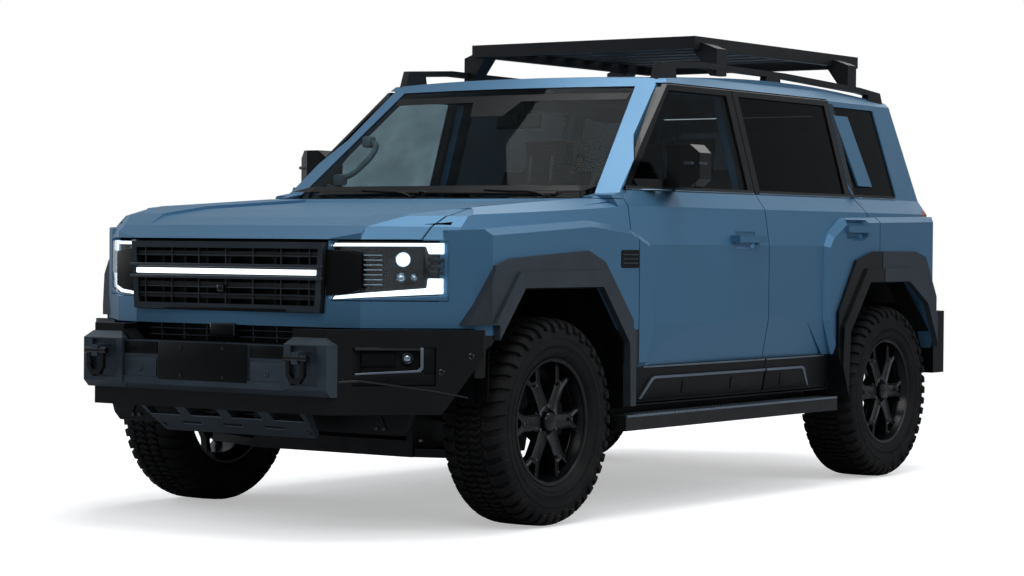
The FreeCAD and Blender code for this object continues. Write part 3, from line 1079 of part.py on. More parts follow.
tang = box("tang", d.shackle_x - d.tang_half, d.shackle_x + d.tang_half, d.shackle_y - d.shackle_pin,
           d.tower_face_y + d.pocket_depth, d.shackle_z - d.tang_height / 2, d.shackle_z +
           d.tang_height / 2)
tower = fuse("tower", cut("tower_left", common("tower_form", tower_side, tower_front), pocket), tang)
beam = box("guard_beam", -d.beam_half, d.beam_half, d.tower_face_y + d.beam_sink, d.bumper_face_y,
           d.beam_low_z, d.intake_low_z)
board = box("plate_board", -d.plate_half, d.plate_half, d.tower_face_y + d.beam_sink - d.plate_thick,
            d.tower_face_y + d.beam_sink, d.plate_low_z, d.plate_high_z - d.skin / 2)
skid_side = prism("skid_side", "YZ", [
    (d.skid_top_y, d.skid_top_z), (d.skid_low_y, d.skid_low_z),
    (d.skid_low_y + d.skid_thick, d.skid_low_z + d.skid_thick),
    (d.bumper_face_y, d.skid_top_z + d.skid_thick * 2), (d.skid_top_y, d.skid_top_z +
     d.skid_thick * 2)], -d.skid_half, d.skid_half)
skid_face = prism("skid_face", "XZ", both([(d.skid_low_half, d.skid_low_z - d.skin),
                                           (d.skid_half, d.skid_top_z - d.skin),
                                           (d.skid_half, d.skid_top_z + d.overrun)]),
                  d.bumper_face_y - d.overrun, zero)
skid_windows = []
for index in range(SIZES["skid_window_count"]):
    middle = d.skid_window_pitch * (index - (SIZES["skid_window_count"] - 1) / 2)
    skid_windows.append(box("skid_window_%d" % index, middle - d.skid_window_width / 2, middle +
                            d.skid_window_width / 2, d.bumper_face_y - d.overrun, zero,
                            d.skid_window_low_z, d.skid_window_high_z))
skid = cut("skid", common("skid_plate", skid_side, skid_face), *skid_windows)


def shackle(label):
    """A bow shackle that hangs on a pin through its tower's tang."""
    bow_line = sketch(label + "_bow", "XZ", [
        (d.shackle_x - d.shackle_half, d.shackle_z + d.shackle_bar),
        (d.shackle_x - d.shackle_half, d.shackle_z - d.shackle_drop),
        (d.shackle_x - d.shackle_tip_half, d.shackle_z - d.shackle_tip),
        (d.shackle_x + d.shackle_tip_half, d.shackle_z - d.shackle_tip),
        (d.shackle_x + d.shackle_half, d.shackle_z - d.shackle_drop),
        (d.shackle_x + d.shackle_half, d.shackle_z + d.shackle_bar)],
        d.shackle_y - d.shackle_bar / 2)
    bow = cut(label + "_bow", extrude(label + "_bow_solid", bow_line, "XZ", d.shackle_bar), extrude(
        label + "_bow_hole", offset(label + "_hole_line", bow_line, -d.shackle_bar), "XZ",
        d.shackle_bar), box(label + "_bow_top", zero, wide, d.shackle_y - d.shackle_bar,
                            d.shackle_y + d.shackle_bar, d.shackle_z, d.shackle_z + d.overrun))
    pin = bar(label + "_pin", "x", d.shackle_pin, d.shackle_half * 2 + d.shackle_pin_over * 2,
              d.shackle_x - d.shackle_half - d.shackle_pin_over, d.shackle_y, d.shackle_z)
    return fuse(label, bow, pin)


shackle_left = shackle("shackle")
node("bumper_guard", cut("bumper_guard_cut", fuse("bumper_guard_whole", pair("towers", tower),
                                                  beam, board, skid), bumper_block,
                         pair("shackle_rooms", shackle_left)))
node("shackles", pair("shackle_pair", shackle_left))

# Rear bumper.
rear_bumper_plan = both([
    (d.rear_bumper_x - d.bumper_thick, d.rear_bumper_front_y),
    (d.rear_bumper_x, d.rear_bumper_front_y),
    (d.rear_bumper_x, d.rear_bumper_y - d.rear_bumper_corner),
    (d.rear_bumper_x - d.rear_bumper_corner, d.rear_bumper_y)])
rear_block = prism("rear_bumper_block", "XY", rear_bumper_plan, d.rear_bumper_low_z,
                   d.rear_bumper_high_z)
node("rear_bumper", cut("rear_bumper_cut", rear_block, outer, rear_arch, box(
    "rear_bumper_hollow", -d.plan_tail_in_x, d.plan_tail_in_x, d.rear_bumper_front_y - d.overrun,
    d.rear_bumper_in_y, zero, d.above_z)))

# Arch flares and liners.
node("arch_flares", pair("front_flares", front_flare), pair("quarter_flares", quarter_flare))


def liner(label, outline, inner_x):
    """A thin shell under an arch."""
    face = sketch(label + "_strip", "YZ", outline, inner_x)
    out = extrude(label + "_out", face, "YZ", d.liner_outer_x - inner_x)
    core = extrude(label + "_in", offset(label + "_in_line", face, -d.liner_thick), "YZ",
                   d.liner_outer_x - inner_x)
    low = box(label + "_low", zero, wide, -d.overrun * d.far_share, d.tail_y + d.overrun, zero,
              d.arch_low_z + d.flare_width)
    return pair(label + "_pair", cut(label, out, core, low))


node("arch_liners", liner("front_liner", front_arch_points, d.liner_inner_x),
     liner("rear_liner", rear_arch_points, d.well_x + d.well_wall))

# Frame rails and cross members.
rail_points = [
    (d.rail_front_y, d.rail_front_low_z), (d.rail_front_y, d.rail_front_high_z),
    (d.rail_front_bend_y, d.rail_front_high_z), (d.rail_front_bend_end_y, d.rail_high_z),
    (d.rail_kick_y, d.rail_high_z), (d.rail_kick_top_y, d.rail_kick_high_z),
    (d.rail_drop_y, d.rail_kick_high_z), (d.rail_drop_end_y, d.rail_kick_high_z),
    (d.rail_end_y, d.rail_kick_high_z), (d.rail_end_y, d.rail_kick_low_z),
    (d.rail_kick_top_y, d.rail_kick_low_z), (d.rail_kick_y, d.rail_low_z),
    (d.rail_front_bend_end_y, d.rail_low_z), (d.rail_front_bend_y, d.rail_front_low_z),
]
rail = prism("rail_left", "YZ", rail_points, d.rail_x - d.rail_width / 2, d.rail_x +
             d.rail_width / 2)
crosses = []
for index, (spot, low) in enumerate((
        (d.cross_a_y, d.rail_front_low_z), (d.cross_c_y, d.rail_high_z - d.cross_height),
        (d.cross_d_y, d.rail_high_z - d.cross_height),
        (d.cross_e_y, d.rail_kick_low_z))):
    crosses.append(box("cross_%d" % index, -d.rail_x, d.rail_x, spot, spot + d.cross_depth,
                       low, low + d.cross_height))
crosses.append(box("gearbox_beam", -d.rail_x, d.rail_x, d.cross_b_y, d.cross_b_y + d.cross_depth,
                   d.gearbox_z - d.gearbox_radius - d.beam_height, d.gearbox_z -
                   d.gearbox_radius))
crosses.append(pair("gearbox_beam_legs", box("gearbox_beam_leg", d.rail_x - d.rail_width / 2,
                                             d.rail_x, d.cross_b_y, d.cross_b_y + d.cross_depth,
                                             d.gearbox_z - d.gearbox_radius - d.beam_height,
                                             d.rail_low_z + d.skin)))
front_plate = box("front_plate", -d.rail_x - d.rail_width, d.rail_x + d.rail_width,
                  d.bumper_face_y + d.bumper_thick, d.rail_front_y, d.rail_front_low_z,
                  d.rail_front_high_z)
step_brackets = []
bracket_shares = (d.bracket_front_share, d.bracket_middle_share, d.bracket_rear_share)
for index, share in enumerate(bracket_shares):
    spot = d.step_front_y + (d.step_back_y - d.step_front_y) * share
    step_brackets.append(box("step_bracket_%d" % index, d.rail_x, d.step_in_x, spot,
                             spot + d.bracket_width, d.step_high_z - d.bracket_height,
                             d.step_high_z))
    step_brackets.append(box("step_hanger_%d" % index, d.rail_x - d.bracket_height, d.rail_x +
                             d.bracket_height, spot, spot + d.bracket_width, d.step_high_z -
                             d.bracket_height, d.rail_low_z + d.skin))
rear_stays = box("rear_stay", -d.rail_x - d.rail_width / 2, d.rail_x + d.rail_width / 2,
                 d.rail_end_y, d.rear_bumper_in_y, d.rail_kick_low_z, d.rail_kick_high_z)
node("chassis_frame", fuse("chassis_frame_whole", pair("rails", rail), *crosses, front_plate,
                           rear_stays, pair("step_bracket_pairs", fuse(
                               "step_bracket_set", *step_brackets))))
step = box("step_left", d.step_in_x, d.step_out_x, d.step_front_y, d.step_back_y, d.step_low_z,
           d.step_high_z)
node("side_steps", pair("steps", step))

# Floor, load floor, wheel wells, bulkhead and aprons.
floor_in = side_volume("floor_in", d.wall_depth + d.seat_gap, d.wall_depth_upper + d.seat_gap)
floor = box("floor_main", -wide, wide, d.floor_front_y, d.load_floor_y, d.floor_low_z,
            d.floor_high_z)
step_up = box("floor_step", -wide, wide, d.load_floor_y - d.bulkhead_thick, d.load_floor_y,
              d.floor_low_z, d.load_floor_high_z)
load_floor = box("load_floor", -wide, wide, d.load_floor_y, d.cabin_rear_y + d.skin,
                 d.load_floor_low_z, d.load_floor_high_z)
rear_sill = box("rear_sill", -d.plan_tail_in_x + d.skin + d.front_gap, d.plan_tail_in_x - d.skin
                - d.front_gap, d.cabin_rear_y - d.skin, d.tail_y - d.front_gap, d.rail_kick_high_z
                + d.front_gap, d.gate_low_z - d.gate_gap)
bulkhead = box("bulkhead", -wide, wide, d.cabin_front_y - d.bulkhead_thick, d.cabin_front_y,
               d.bulkhead_low_z, d.bulkhead_top_z)
apron = fuse("apron_left", box("apron_wall", d.apron_x, d.apron_x + d.apron_thick,
                               d.apron_front_y, d.cabin_front_y - d.bulkhead_thick,
                               d.apron_low_z, d.apron_high_z),
             box("apron_top", d.apron_x, d.hood_flat_x + d.skin, d.apron_top_front_y,
                 d.hinge_pillar_y, d.apron_high_z, d.apron_high_z + d.apron_thick))
inside = cut("floor_solids", common("floor_inside", fuse(
    "floor_set", floor, step_up, load_floor, rear_sill, bulkhead), floor_in, box(
    "floor_length", -wide, wide, d.cabin_front_y - d.bulkhead_thick, d.tail_y - d.front_gap,
    zero, d.above_z)), rear_arch)
well_side = pair("well_walls", box("well_wall", d.well_x - d.well_wall - d.well_wall, d.arch_inner_x,
                                   rear_axle_y - d.arch_rear_foot, rear_axle_y + d.arch_rear_foot,
                                   d.floor_low_z + d.skin, d.arch_top_z))
node("floor_pan", fuse("floor_pan_whole", inside, pair("aprons", apron), well_side))
node("cowl_panel", fuse("cowl_whole", box("cowl_box", -d.cowl_half, d.cowl_half, d.cowl_front_y,
                                          d.cabin_front_y, d.bulkhead_top_z, d.screen_low_z -
                                          d.front_gap)))

# Running gear fixed to the frame.
engine = box("engine", -d.engine_half, d.engine_half, d.engine_front_y, d.engine_back_y,
             d.engine_low_z, d.engine_high_z)
gearbox = bar("gearbox", "y", d.gearbox_radius, d.gearbox_end_y - d.engine_back_y, zero,
              d.engine_back_y, d.gearbox_z, "case_sides")
bell = box("bell_housing", -d.gearbox_radius, d.gearbox_radius, d.engine_back_y - d.skin,
           d.engine_back_y + d.flare_width, d.gearbox_z - d.gearbox_radius, d.floor_low_z -
           d.front_gap)
transfer = box("transfer_box", -d.transfer_half, d.transfer_half, d.transfer_start_y,
               d.transfer_end_y, d.transfer_low_z, d.transfer_high_z)
rear_shaft = bar("rear_shaft", "y", d.shaft_radius, rear_axle_y - d.transfer_end_y -
                 d.axle_ball_radius, zero, d.transfer_end_y, d.tyre_radius + d.skin)
mounts = pair("engine_mounts", box("engine_mount", d.engine_half, d.rail_x - d.rail_width / 2,
                                   zero, d.flare_width / 2, d.rail_front_low_z + d.skin,
                                   d.rail_front_high_z))
node("engine_gearbox", fuse("engine_whole", engine, gearbox, bell, transfer, rear_shaft, mounts))
node("radiator", fuse("radiator_whole", box("radiator_core", -d.radiator_half, d.radiator_half,
                                            d.radiator_y, d.radiator_y + d.radiator_thick,
                                            d.radiator_low_z, d.radiator_high_z),
                      box("radiator_beam", -d.rail_x - d.rail_width / 2, d.rail_x +
                          d.rail_width / 2, d.radiator_y, d.radiator_y + d.radiator_thick,
                          d.rail_front_high_z, d.rail_front_high_z + d.skin)))
node("fuel_tank", box("fuel_tank_box", d.tank_x0, d.tank_x1, d.tank_y0, d.tank_y1, d.tank_low_z,
                      d.floor_low_z))
muffler = bar("muffler", "y", d.muffler_radius, d.overrun, d.shock_x, d.tank_y0,
              d.floor_low_z - d.muffler_radius - d.front_gap, "case_sides")
hanger = box("muffler_hanger", d.shock_x - d.skin, d.shock_x + d.skin, d.tank_y0 + d.skin,
             d.tank_y0 + d.overrun - d.skin, d.floor_low_z - d.muffler_radius, d.floor_low_z)
node("exhaust", fuse("exhaust_whole", muffler, hanger))

# Rear axle and its links.
axle_half = d.half_track + d.disc_back - d.seat_gap
axle = bar("axle_tube", "x", d.axle_tube_radius, axle_half * 2, -axle_half, rear_axle_y,
           d.tyre_radius)


def housing(label, radius, middle_x, y):
    """A differential's housing, tapered towards both axle tubes."""
    return ring(label, [
        (-radius * d.case_end_share, radius * d.case_neck_share),
        (-radius * d.case_flat_share, radius), (radius * d.case_flat_share, radius),
        (radius * d.case_end_share, radius * d.case_neck_share)], "case_sides",
        along_x(y, d.tyre_radius, middle_x))


diff = housing("axle_diff", d.axle_ball_radius, zero, rear_axle_y)
springs = pair("springs", bar("spring", "z", d.spring_radius, d.rail_kick_low_z + d.cross_height
                              - d.tyre_radius, d.spring_x + d.spring_radius, rear_axle_y,
                              d.tyre_radius))
links = pair("links", fuse("link_set", bar("low_link", "y", d.link_radius, rear_axle_y -
                                           d.link_front_y, d.spring_x, d.link_front_y,
                                           d.tyre_radius - d.skin),
                           box("link_bracket", d.rail_x + d.rail_width / 2, d.spring_x +
                               d.link_radius, d.link_front_y - d.skin, d.link_front_y + d.skin,
                               d.tyre_radius - d.skin - d.link_radius, d.rail_low_z +
                               d.skin)))
node("rear_axle", fuse("rear_axle_whole", axle, diff, springs, links))

# Front suspension.
low_arm = prism("low_arm", "XY", [
    (d.arm_inner_x, -d.arm_spread), (d.kingpin_x + d.arm_height, -d.arm_height),
    (d.kingpin_x + d.arm_height, d.arm_height), (d.arm_inner_x, d.arm_spread),
    (d.arm_inner_x, d.arm_spread - d.arm_width), (d.kingpin_x - d.flare_width, zero),
    (d.arm_inner_x, d.arm_width - d.arm_spread)], d.tyre_radius - d.knuckle_height -
    d.arm_height - d.pin_gap, d.tyre_radius - d.knuckle_height - d.pin_gap)
rail_out = d.rail_x + d.rail_width / 2
high_arm = prism("high_arm", "XY", [
    (rail_out, -d.arm_spread), (d.kingpin_x + d.arm_height, -d.arm_height),
    (d.kingpin_x + d.arm_height, d.arm_height), (rail_out, d.arm_spread),
    (rail_out, d.arm_spread - d.arm_width), (d.kingpin_x - d.flare_width, zero),
    (rail_out, d.arm_width - d.arm_spread)], d.tyre_radius + d.knuckle_height +
    d.pin_gap, d.tyre_radius + d.knuckle_height + d.pin_gap + d.arm_height)
subframe = box("subframe", -d.arm_inner_x - d.skin, d.arm_inner_x + d.skin, -d.arm_spread,
               d.arm_spread, d.tyre_radius - d.knuckle_height - d.arm_height - d.pin_gap,
               d.tyre_radius - d.knuckle_height + d.skin)
posts = pair("subframe_posts", box("subframe_post", d.arm_inner_x, d.arm_inner_x + d.skin,
                                   -d.arm_spread, d.arm_spread, d.tyre_radius -
                                   d.knuckle_height, d.rail_front_low_z))
front_diff = housing("front_diff", d.axle_ball_radius * d.front_case_share, d.diff_x, zero)
half_shafts = bar("half_shafts", "x", d.half_shaft_radius, d.kingpin_x * 2, -d.kingpin_x, zero,
                  d.tyre_radius)
joints = pair("cv_joints", ring("cv_joint", [
    (-d.cv_half, d.cv_neck_radius), (-d.cv_flat, d.cv_radius), (d.cv_flat, d.cv_radius),
    (d.cv_half, d.cv_neck_radius)], "bar_sides", along_x(zero, d.tyre_radius, d.kingpin_x)))
node("front_suspension", fuse("front_suspension_whole", pair("low_arms", low_arm), pair(
    "high_arms", high_arm), subframe, posts, front_diff, half_shafts, joints))

# Steering knuckles, drawn about the kingpin.
knuckle_post = bar("knuckle_post", "z", d.knuckle_boss_radius, d.knuckle_height * 2, d.kingpin_x,
                   zero, d.tyre_radius - d.knuckle_height)
knuckle_room = bar("knuckle_room", "z", d.cv_radius + d.running_gap * 2, (d.cv_radius +
                   d.running_gap * 2) * 2, d.kingpin_x, zero, d.tyre_radius - d.cv_radius -
                   d.running_gap * 2)
knuckle_plate = prism("knuckle_plate", "YZ", [
    (-d.knuckle_boss_radius, d.tyre_radius - d.knuckle_height),
    (d.knuckle_boss_radius, d.tyre_radius - d.knuckle_height),
    (d.carrier_radius, d.tyre_radius), (d.knuckle_boss_radius, d.tyre_radius +
     d.knuckle_height), (-d.knuckle_boss_radius, d.tyre_radius + d.knuckle_height),
    (-d.carrier_radius, d.tyre_radius)], d.kingpin_x, d.carrier_outer_x)
caliper_width = d.half_track - d.carrier_inner_x + d.skin
caliper = cut("caliper", common("caliper_ring", bar(
    "caliper_outer", "x", d.caliper_outer_radius, caliper_width, d.carrier_inner_x, zero,
    d.tyre_radius, "disc_sides"), box(
    "caliper_zone", zero, wide, zero, d.overrun, d.tyre_radius - d.caliper_half_angle_width,
    d.tyre_radius + d.caliper_half_angle_width)), bar(
    "caliper_bore", "x", d.caliper_inner_radius, wide, zero, zero, d.tyre_radius, "disc_sides"),
    bar("caliper_slot", "x", d.disc_radius + d.running_gap, d.disc_front - d.disc_back +
        d.running_gap * 2, d.half_track + d.disc_back - d.running_gap, zero, d.tyre_radius,
        "disc_sides"))
caliper_arm = box("caliper_arm", d.carrier_inner_x - d.running_gap, d.carrier_outer_x, zero,
                  d.caliper_outer_radius - d.skin, d.tyre_radius - d.skin, d.tyre_radius + d.skin)
knuckle_hub = bar("knuckle_hub", "x", d.axle_tube_radius, d.half_track + d.disc_back - d.seat_gap
                  - d.carrier_inner_x, d.carrier_inner_x, zero, d.tyre_radius)
knuckle = cut("knuckle", fuse("knuckle_solids", knuckle_post, knuckle_plate, caliper_arm,
                              caliper, knuckle_hub), knuckle_room)
node("knuckle_left", knuckle)
node("knuckle_right", mirror("knuckle_right_form", knuckle))


# Wheels and tyres, drawn once about the x axis and placed four times, and the spare.
centre = along_x(zero, zero)


def mirrored(stations):
    """Stations from one side of a wheel to the other, from its outer half."""
    return [(-station, radius) for station, radius in reversed(stations)] + stations


tyre_form = cut("tyre_form", ring("tyre_outside", mirrored([
    (d.tread_half_width, d.tyre_radius),
    (d.tyre_half_width * d.shoulder_share, d.tyre_radius - d.shoulder_drop),
    (d.tyre_half_width, d.sidewall_radius),
    (d.bead_half_width, d.bead_radius + d.bead_thick)]), "wheel_sides", centre), bar(
    "tyre_bore", "x", d.bead_radius, d.bead_half_width * 4, -d.bead_half_width * 2, zero, zero,
    "wheel_sides"))
barrel = cut("rim_barrel", ring("rim_outside", [
    (-d.rim_half_width, d.rim_lip_radius), (-d.rim_seat_x, d.rim_lip_radius),
    (-d.rim_well_x, d.rim_well_radius + d.rim_wall), (d.rim_drop_x, d.rim_well_radius + d.rim_wall),
    (d.rim_seat_x, d.rim_lip_radius), (d.rim_half_width, d.rim_lip_radius)],
    "wheel_sides", centre), ring("rim_inside", [
        (-d.rim_half_width, d.rim_lip_inner), (-d.rim_well_x, d.rim_well_radius),
        (d.rim_drop_x, d.rim_well_radius), (d.rim_half_width, d.rim_lip_inner)],
        "wheel_sides", centre))


def spoke(index):
    """One of the forked spokes, between the hub and the barrel."""
    turn = FreeCAD.Rotation(FreeCAD.Vector(1, 0, 0), 360 * index / SIZES["spoke_count"])
    outline = new("Sketcher::SketchObject", "spoke_outline_%d" % index)
    outline.Placement = FreeCAD.Placement(FreeCAD.Vector(0, 0, 0), turn * PLANES["YZ"][0])
    outline.setExpression("Placement.Base.x", d.spoke_back.text)
    draw(outline, [
        (-d.spoke_half_width, d.spoke_root_radius), (-d.spoke_half_width, d.fork_start_radius),
        (-d.spoke_end_half, d.spoke_end_radius), (-d.spoke_slot_half, d.spoke_end_radius),
        (zero, d.fork_radius), (d.spoke_slot_half, d.spoke_end_radius),
        (d.spoke_end_half, d.spoke_end_radius), (d.spoke_half_width, d.fork_start_radius),
        (d.spoke_half_width, d.spoke_root_radius)])
    return extrude("spoke_%d" % index, outline, "YZ", d.spoke_face - d.spoke_back)


hub_form = ring("wheel_hub", [
    (d.hub_back, d.hub_radius), (d.spoke_back, d.hub_radius), (d.spoke_face, d.hub_face_radius)],
    "hub_sides", centre)
hub_cap = rod("hub_cap", "x", d.hub_bore_radius, d.hub_cap_out + d.rim_wall, d.spoke_face -
              d.rim_wall, zero, zero)
disc_hat = bar("disc_hat", "x", d.disc_hat_radius, d.hub_back - d.disc_back, d.disc_back, zero,
               zero, "hub_sides")
disc = bar("brake_disc", "x", d.disc_radius, d.disc_front - d.disc_back, d.disc_back, zero, zero,
           "disc_sides")
spokes = [spoke(index) for index in range(SIZES["spoke_count"])]
rim_form = fuse("rim_form", barrel, hub_form, hub_cap, disc_hat, disc, *spokes)


def placed(label, source, angle, x, y, z):
    """Puts a wheel's form at its place, turned about the upright axis."""
    group = new("Part::Compound", label)
    group.Label = label
    group.Links = [source]
    group.Placement = FreeCAD.Placement(FreeCAD.Vector(0, 0, 0),
                                        FreeCAD.Rotation(FreeCAD.Vector(0, 0, 1), angle))
    bind(group, Placement__Base__x=x, Placement__Base__y=y, Placement__Base__z=z)
    nodes.append(group)


for label, x, y, angle in (("fl", d.half_track, zero, 0), ("fr", -d.half_track, zero, 180),
                           ("rl", d.half_track, rear_axle_y, 0),
                           ("rr", -d.half_track, rear_axle_y, 180)):
    placed("tyre_" + label, tyre_form, angle, x, y - d.middle_y, d.tyre_radius)
    placed("rim_" + label, rim_form, angle, x, y - d.middle_y, d.tyre_radius)
placed("spare_tyre", tyre_form, 90, zero, d.spare_y + d.tyre_half_width - d.middle_y, d.spare_z)
node("spare_cover", fuse("spare_cover_whole", bar(
    "spare_drum", "y", d.bead_radius - d.seat_gap, d.tyre_half_width * 2 - d.spare_inset +
    d.seat_gap, zero, d.spare_y + d.spare_inset, d.spare_z, "wheel_sides"), bar(
    "cover_face", "y", d.spare_cover_radius, d.spare_cover_out, zero, d.spare_y +
    d.tyre_half_width * 2 + d.seat_gap, d.spare_z, "wheel_sides")))

# Roof rails and rack.
crest = [(d.crest_a_y, d.crest_a_z), (d.crest_b_y, d.crest_b_z), (d.crest_c_y, d.crest_c_z),
         (d.crest_d_y, d.crest_d_z), (d.crest_e_y, d.crest_e_z)]
rail_left = d.roof_rail_x - d.roof_rail_width / 2
rail_right = d.roof_rail_x + d.roof_rail_width / 2
rail_bar = prism("roof_rail_bar", "YZ", crest + [(y, z - d.roof_rail_height)
                                                 for y, z in reversed(crest)],
                 rail_left, rail_right)
first_foot = prism("rail_foot_first", "YZ", [
    (d.crest_a_y - d.rail_slope, d.roof_split_z), (d.crest_a_y, d.crest_a_z),
    (d.crest_a_y + d.rail_foot_length, d.crest_a_z),
    (d.crest_a_y + d.rail_foot_length + d.rail_slope / 2, d.roof_split_z)], rail_left, rail_right)
last_foot = prism("rail_foot_last", "YZ", [
    (d.crest_e_y - d.rail_foot_length - d.rail_slope / 2, d.roof_split_z),
    (d.crest_e_y - d.rail_foot_length, d.crest_e_z), (d.crest_e_y, d.crest_e_z),
    (d.crest_e_y + d.rail_slope, d.roof_split_z)], rail_left, rail_right)
middle_foot = prism("rail_foot_middle", "YZ", [
    (d.rail_middle_y - d.rail_slope / 2, d.roof_split_z), (d.rail_middle_y, d.crest_a_z),
    (d.rail_middle_y + d.rail_foot_length, d.crest_a_z),
    (d.rail_middle_y + d.rail_foot_length + d.rail_slope / 2, d.roof_split_z)],
    rail_left, rail_right)
roof_rail = cut("roof_rail_left", fuse("roof_rail_set", rail_bar, first_foot, middle_foot,
                                       last_foot), outer)
roof_rails = pair("roof_rail_pair", roof_rail)
node("roof_rails", roof_rails)
rack_top = d.rack_z + d.rack_height
rack_frame = cut("rack_frame", box("rack_block", -d.rack_half, d.rack_half, d.rack_front_y,
                                   d.rack_back_y, d.rack_z, rack_top),
                 box("rack_inner", d.rack_width - d.rack_half, d.rack_half - d.rack_width,
                     d.rack_front_y + d.rack_width, d.rack_back_y - d.rack_width, d.rack_z -
                     d.skin, rack_top + d.skin))
rack_parts = [rack_frame]
rack_room = d.rack_back_y - d.rack_front_y - d.rack_width * 2
for index in range(SIZES["rack_slats"]):
    middle = d.rack_front_y + d.rack_width + rack_room * ((2 * index + 1) / SIZES["rack_slats"]) / 2
    rack_parts.append(box("rack_slat_%d" % index, d.rack_width / 2 - d.rack_half, d.rack_half -
                          d.rack_width / 2, middle - d.rack_slat_width / 2, middle +
                          d.rack_slat_width / 2, rack_top - d.rack_slat_height, rack_top))
for index, spot in enumerate((d.rack_foot_a_y, d.rack_foot_b_y)):
    rack_parts.append(pair("rack_feet_%d" % index, prism("rack_foot_%d" % index, "XZ", [
        (rail_left, d.crest_e_z), (rail_right, d.crest_e_z),
        (rail_right, d.rack_z), (d.rack_half, d.rack_z + d.rack_foot_plate),
        (d.rack_foot_inner_x, d.rack_z + d.rack_foot_plate), (d.rack_foot_inner_x, d.rack_z)],
        spot, spot + d.rack_foot_length)))
node("roof_rack", cut("roof_rack_cut", fuse("roof_rack_whole", *rack_parts), roof_rails))

# Cabin: dashboard, steering wheel and seats.
dash = prism("dash", "YZ", [
    (d.cabin_front_y, d.dash_low_z), (d.cabin_front_y, d.dash_high_z),
    (d.dash_knee_y, d.dash_high_z), (d.dash_back_y, d.dash_high_z - d.flare_width / 2),
    (d.dash_back_y, d.dash_low_z + d.flare_width), (d.dash_knee_y, d.dash_low_z)],
    -d.dash_half, d.dash_half)
lean = math.radians(90 - SIZES["wheel_tilt"])


column_turn = FreeCAD.Rotation(FreeCAD.Vector(1, 0, 0), -90 + math.degrees(lean))


def on_column(length):
    """The spot on the steering column's axis at a length measured back from the hub."""
    tilt = Size(math.cos(lean), "cos((90 - Sizes.wheel_tilt) * 1deg)")
    climb = Size(math.sin(lean), "sin((90 - Sizes.wheel_tilt) * 1deg)")
    return d.wheel_x, d.wheel_y + length * tilt, d.wheel_z + length * climb


def column_rod(label, radius, start, length):
    """A round bar on the steering column's axis; start is measured back from the hub."""
    thing = new("Part::Prism", label)
    thing.Placement = FreeCAD.Placement(FreeCAD.Vector(0, 0, 0), column_turn *
                                        half_step("bar_sides"))
    thing.Polygon = SIZES["bar_sides"]
    x, y, z = on_column(start)
    bind(thing, Circumradius=across(radius, "bar_sides"), Height=length)
    bind(thing, Placement__Base__x=x, Placement__Base__y=y, Placement__Base__z=z)
    return thing


column = column_rod("column", d.column_radius, -d.column_length - d.overrun * d.short_share,
                    d.column_length)
dash_trim = common("dash_trim", fuse("dash_set", dash, column), floor_in, box(
    "dash_room", -wide, wide, d.cabin_front_y, d.wheel_y + d.overrun, zero, d.above_z), screen_in)
node("dashboard", dash_trim)
tube = d.wheel_tube_radius
steering = cut("steering_ring", ring("steering_outside", [
    (-tube, d.wheel_rim_radius + d.wheel_tube_flat), (-d.wheel_tube_flat, d.wheel_rim_radius + tube),
    (d.wheel_tube_flat, d.wheel_rim_radius + tube), (tube, d.wheel_rim_radius +
                                                     d.wheel_tube_flat)],
    "disc_sides", on_column, column_turn), ring("steering_inside", [
        (-tube, d.wheel_rim_radius - d.wheel_tube_flat),
        (-d.wheel_tube_flat, d.wheel_rim_radius - tube),
        (d.wheel_tube_flat, d.wheel_rim_radius - tube),
        (tube, d.wheel_rim_radius - d.wheel_tube_flat)], "disc_sides", on_column, column_turn))
hub = column_rod("steering_hub", d.steering_hub_radius, -d.overrun * d.short_share + d.seat_gap,
                 d.overrun * d.short_share + d.wheel_tube_radius)
spoke_bar = new("Part::Box", "steering_spoke")
spoke_bar.Placement = FreeCAD.Placement(FreeCAD.Vector(0, 0, 0), FreeCAD.Rotation(
    FreeCAD.Vector(1, 0, 0), -90 + math.degrees(lean)))
bind(spoke_bar, Length=d.wheel_rim_radius * 2, Width=d.skin, Height=d.wheel_tube_radius)
bind(spoke_bar, Placement__Base__x=d.wheel_x - d.wheel_rim_radius, Placement__Base__y=d.wheel_y)
bind(spoke_bar, Placement__Base__z=d.wheel_z)
node("steering_wheel", fuse("steering_wheel_whole", steering, hub, spoke_bar))


def seat(label, x0, x1, front, back, floor_z, low, high, top, heads):
    """A seat on its plinth with a leaning back and head rests."""
    cushion = box(label + "_cushion", x0, x1, front, back, low, high)
    plinth = box(label + "_plinth", x0 + d.seat_plinth_inset, x1 - d.seat_plinth_inset,
                 front + d.seat_plinth_inset, back - d.seat_plinth_inset, floor_z, low)
    back_points = [
        (back - d.back_thick, high), (back - d.back_thick, low),
        (back, low), (back + d.back_lean, top),
        (back + d.back_lean - d.back_thick * d.seat_head_share, top)]
    parts = [cushion, plinth, prism(label + "_back", "YZ", back_points, x0, x1)]
    head_y = back + d.back_lean - d.back_thick * d.seat_head_share
    for index, middle in enumerate(heads):
        parts.append(box("%s_head_%d" % (label, index), middle - d.head_half, middle +
                         d.head_half, head_y, head_y + d.head_thick, top, top + d.head_high_z -
                         d.head_low_z))
    return fuse(label, *parts)


front_seat = seat("front_seat", d.seat_x - d.seat_half, d.seat_x + d.seat_half,
                  d.cushion_front_y, d.cushion_back_y, d.floor_high_z, d.cushion_low_z,
                  d.cushion_high_z, d.back_top_z, [d.seat_x])
rear_seat = seat("rear_seat", -d.rear_half, d.rear_half, d.rear_cushion_front_y,
                 d.rear_cushion_back_y, d.load_floor_high_z, d.rear_cushion_low_z,
                 d.rear_cushion_high_z, d.rear_back_top_z, [-d.seat_x, d.seat_x])
node("seats", pair("front_seats", front_seat), rear_seat)

doc.recompute()

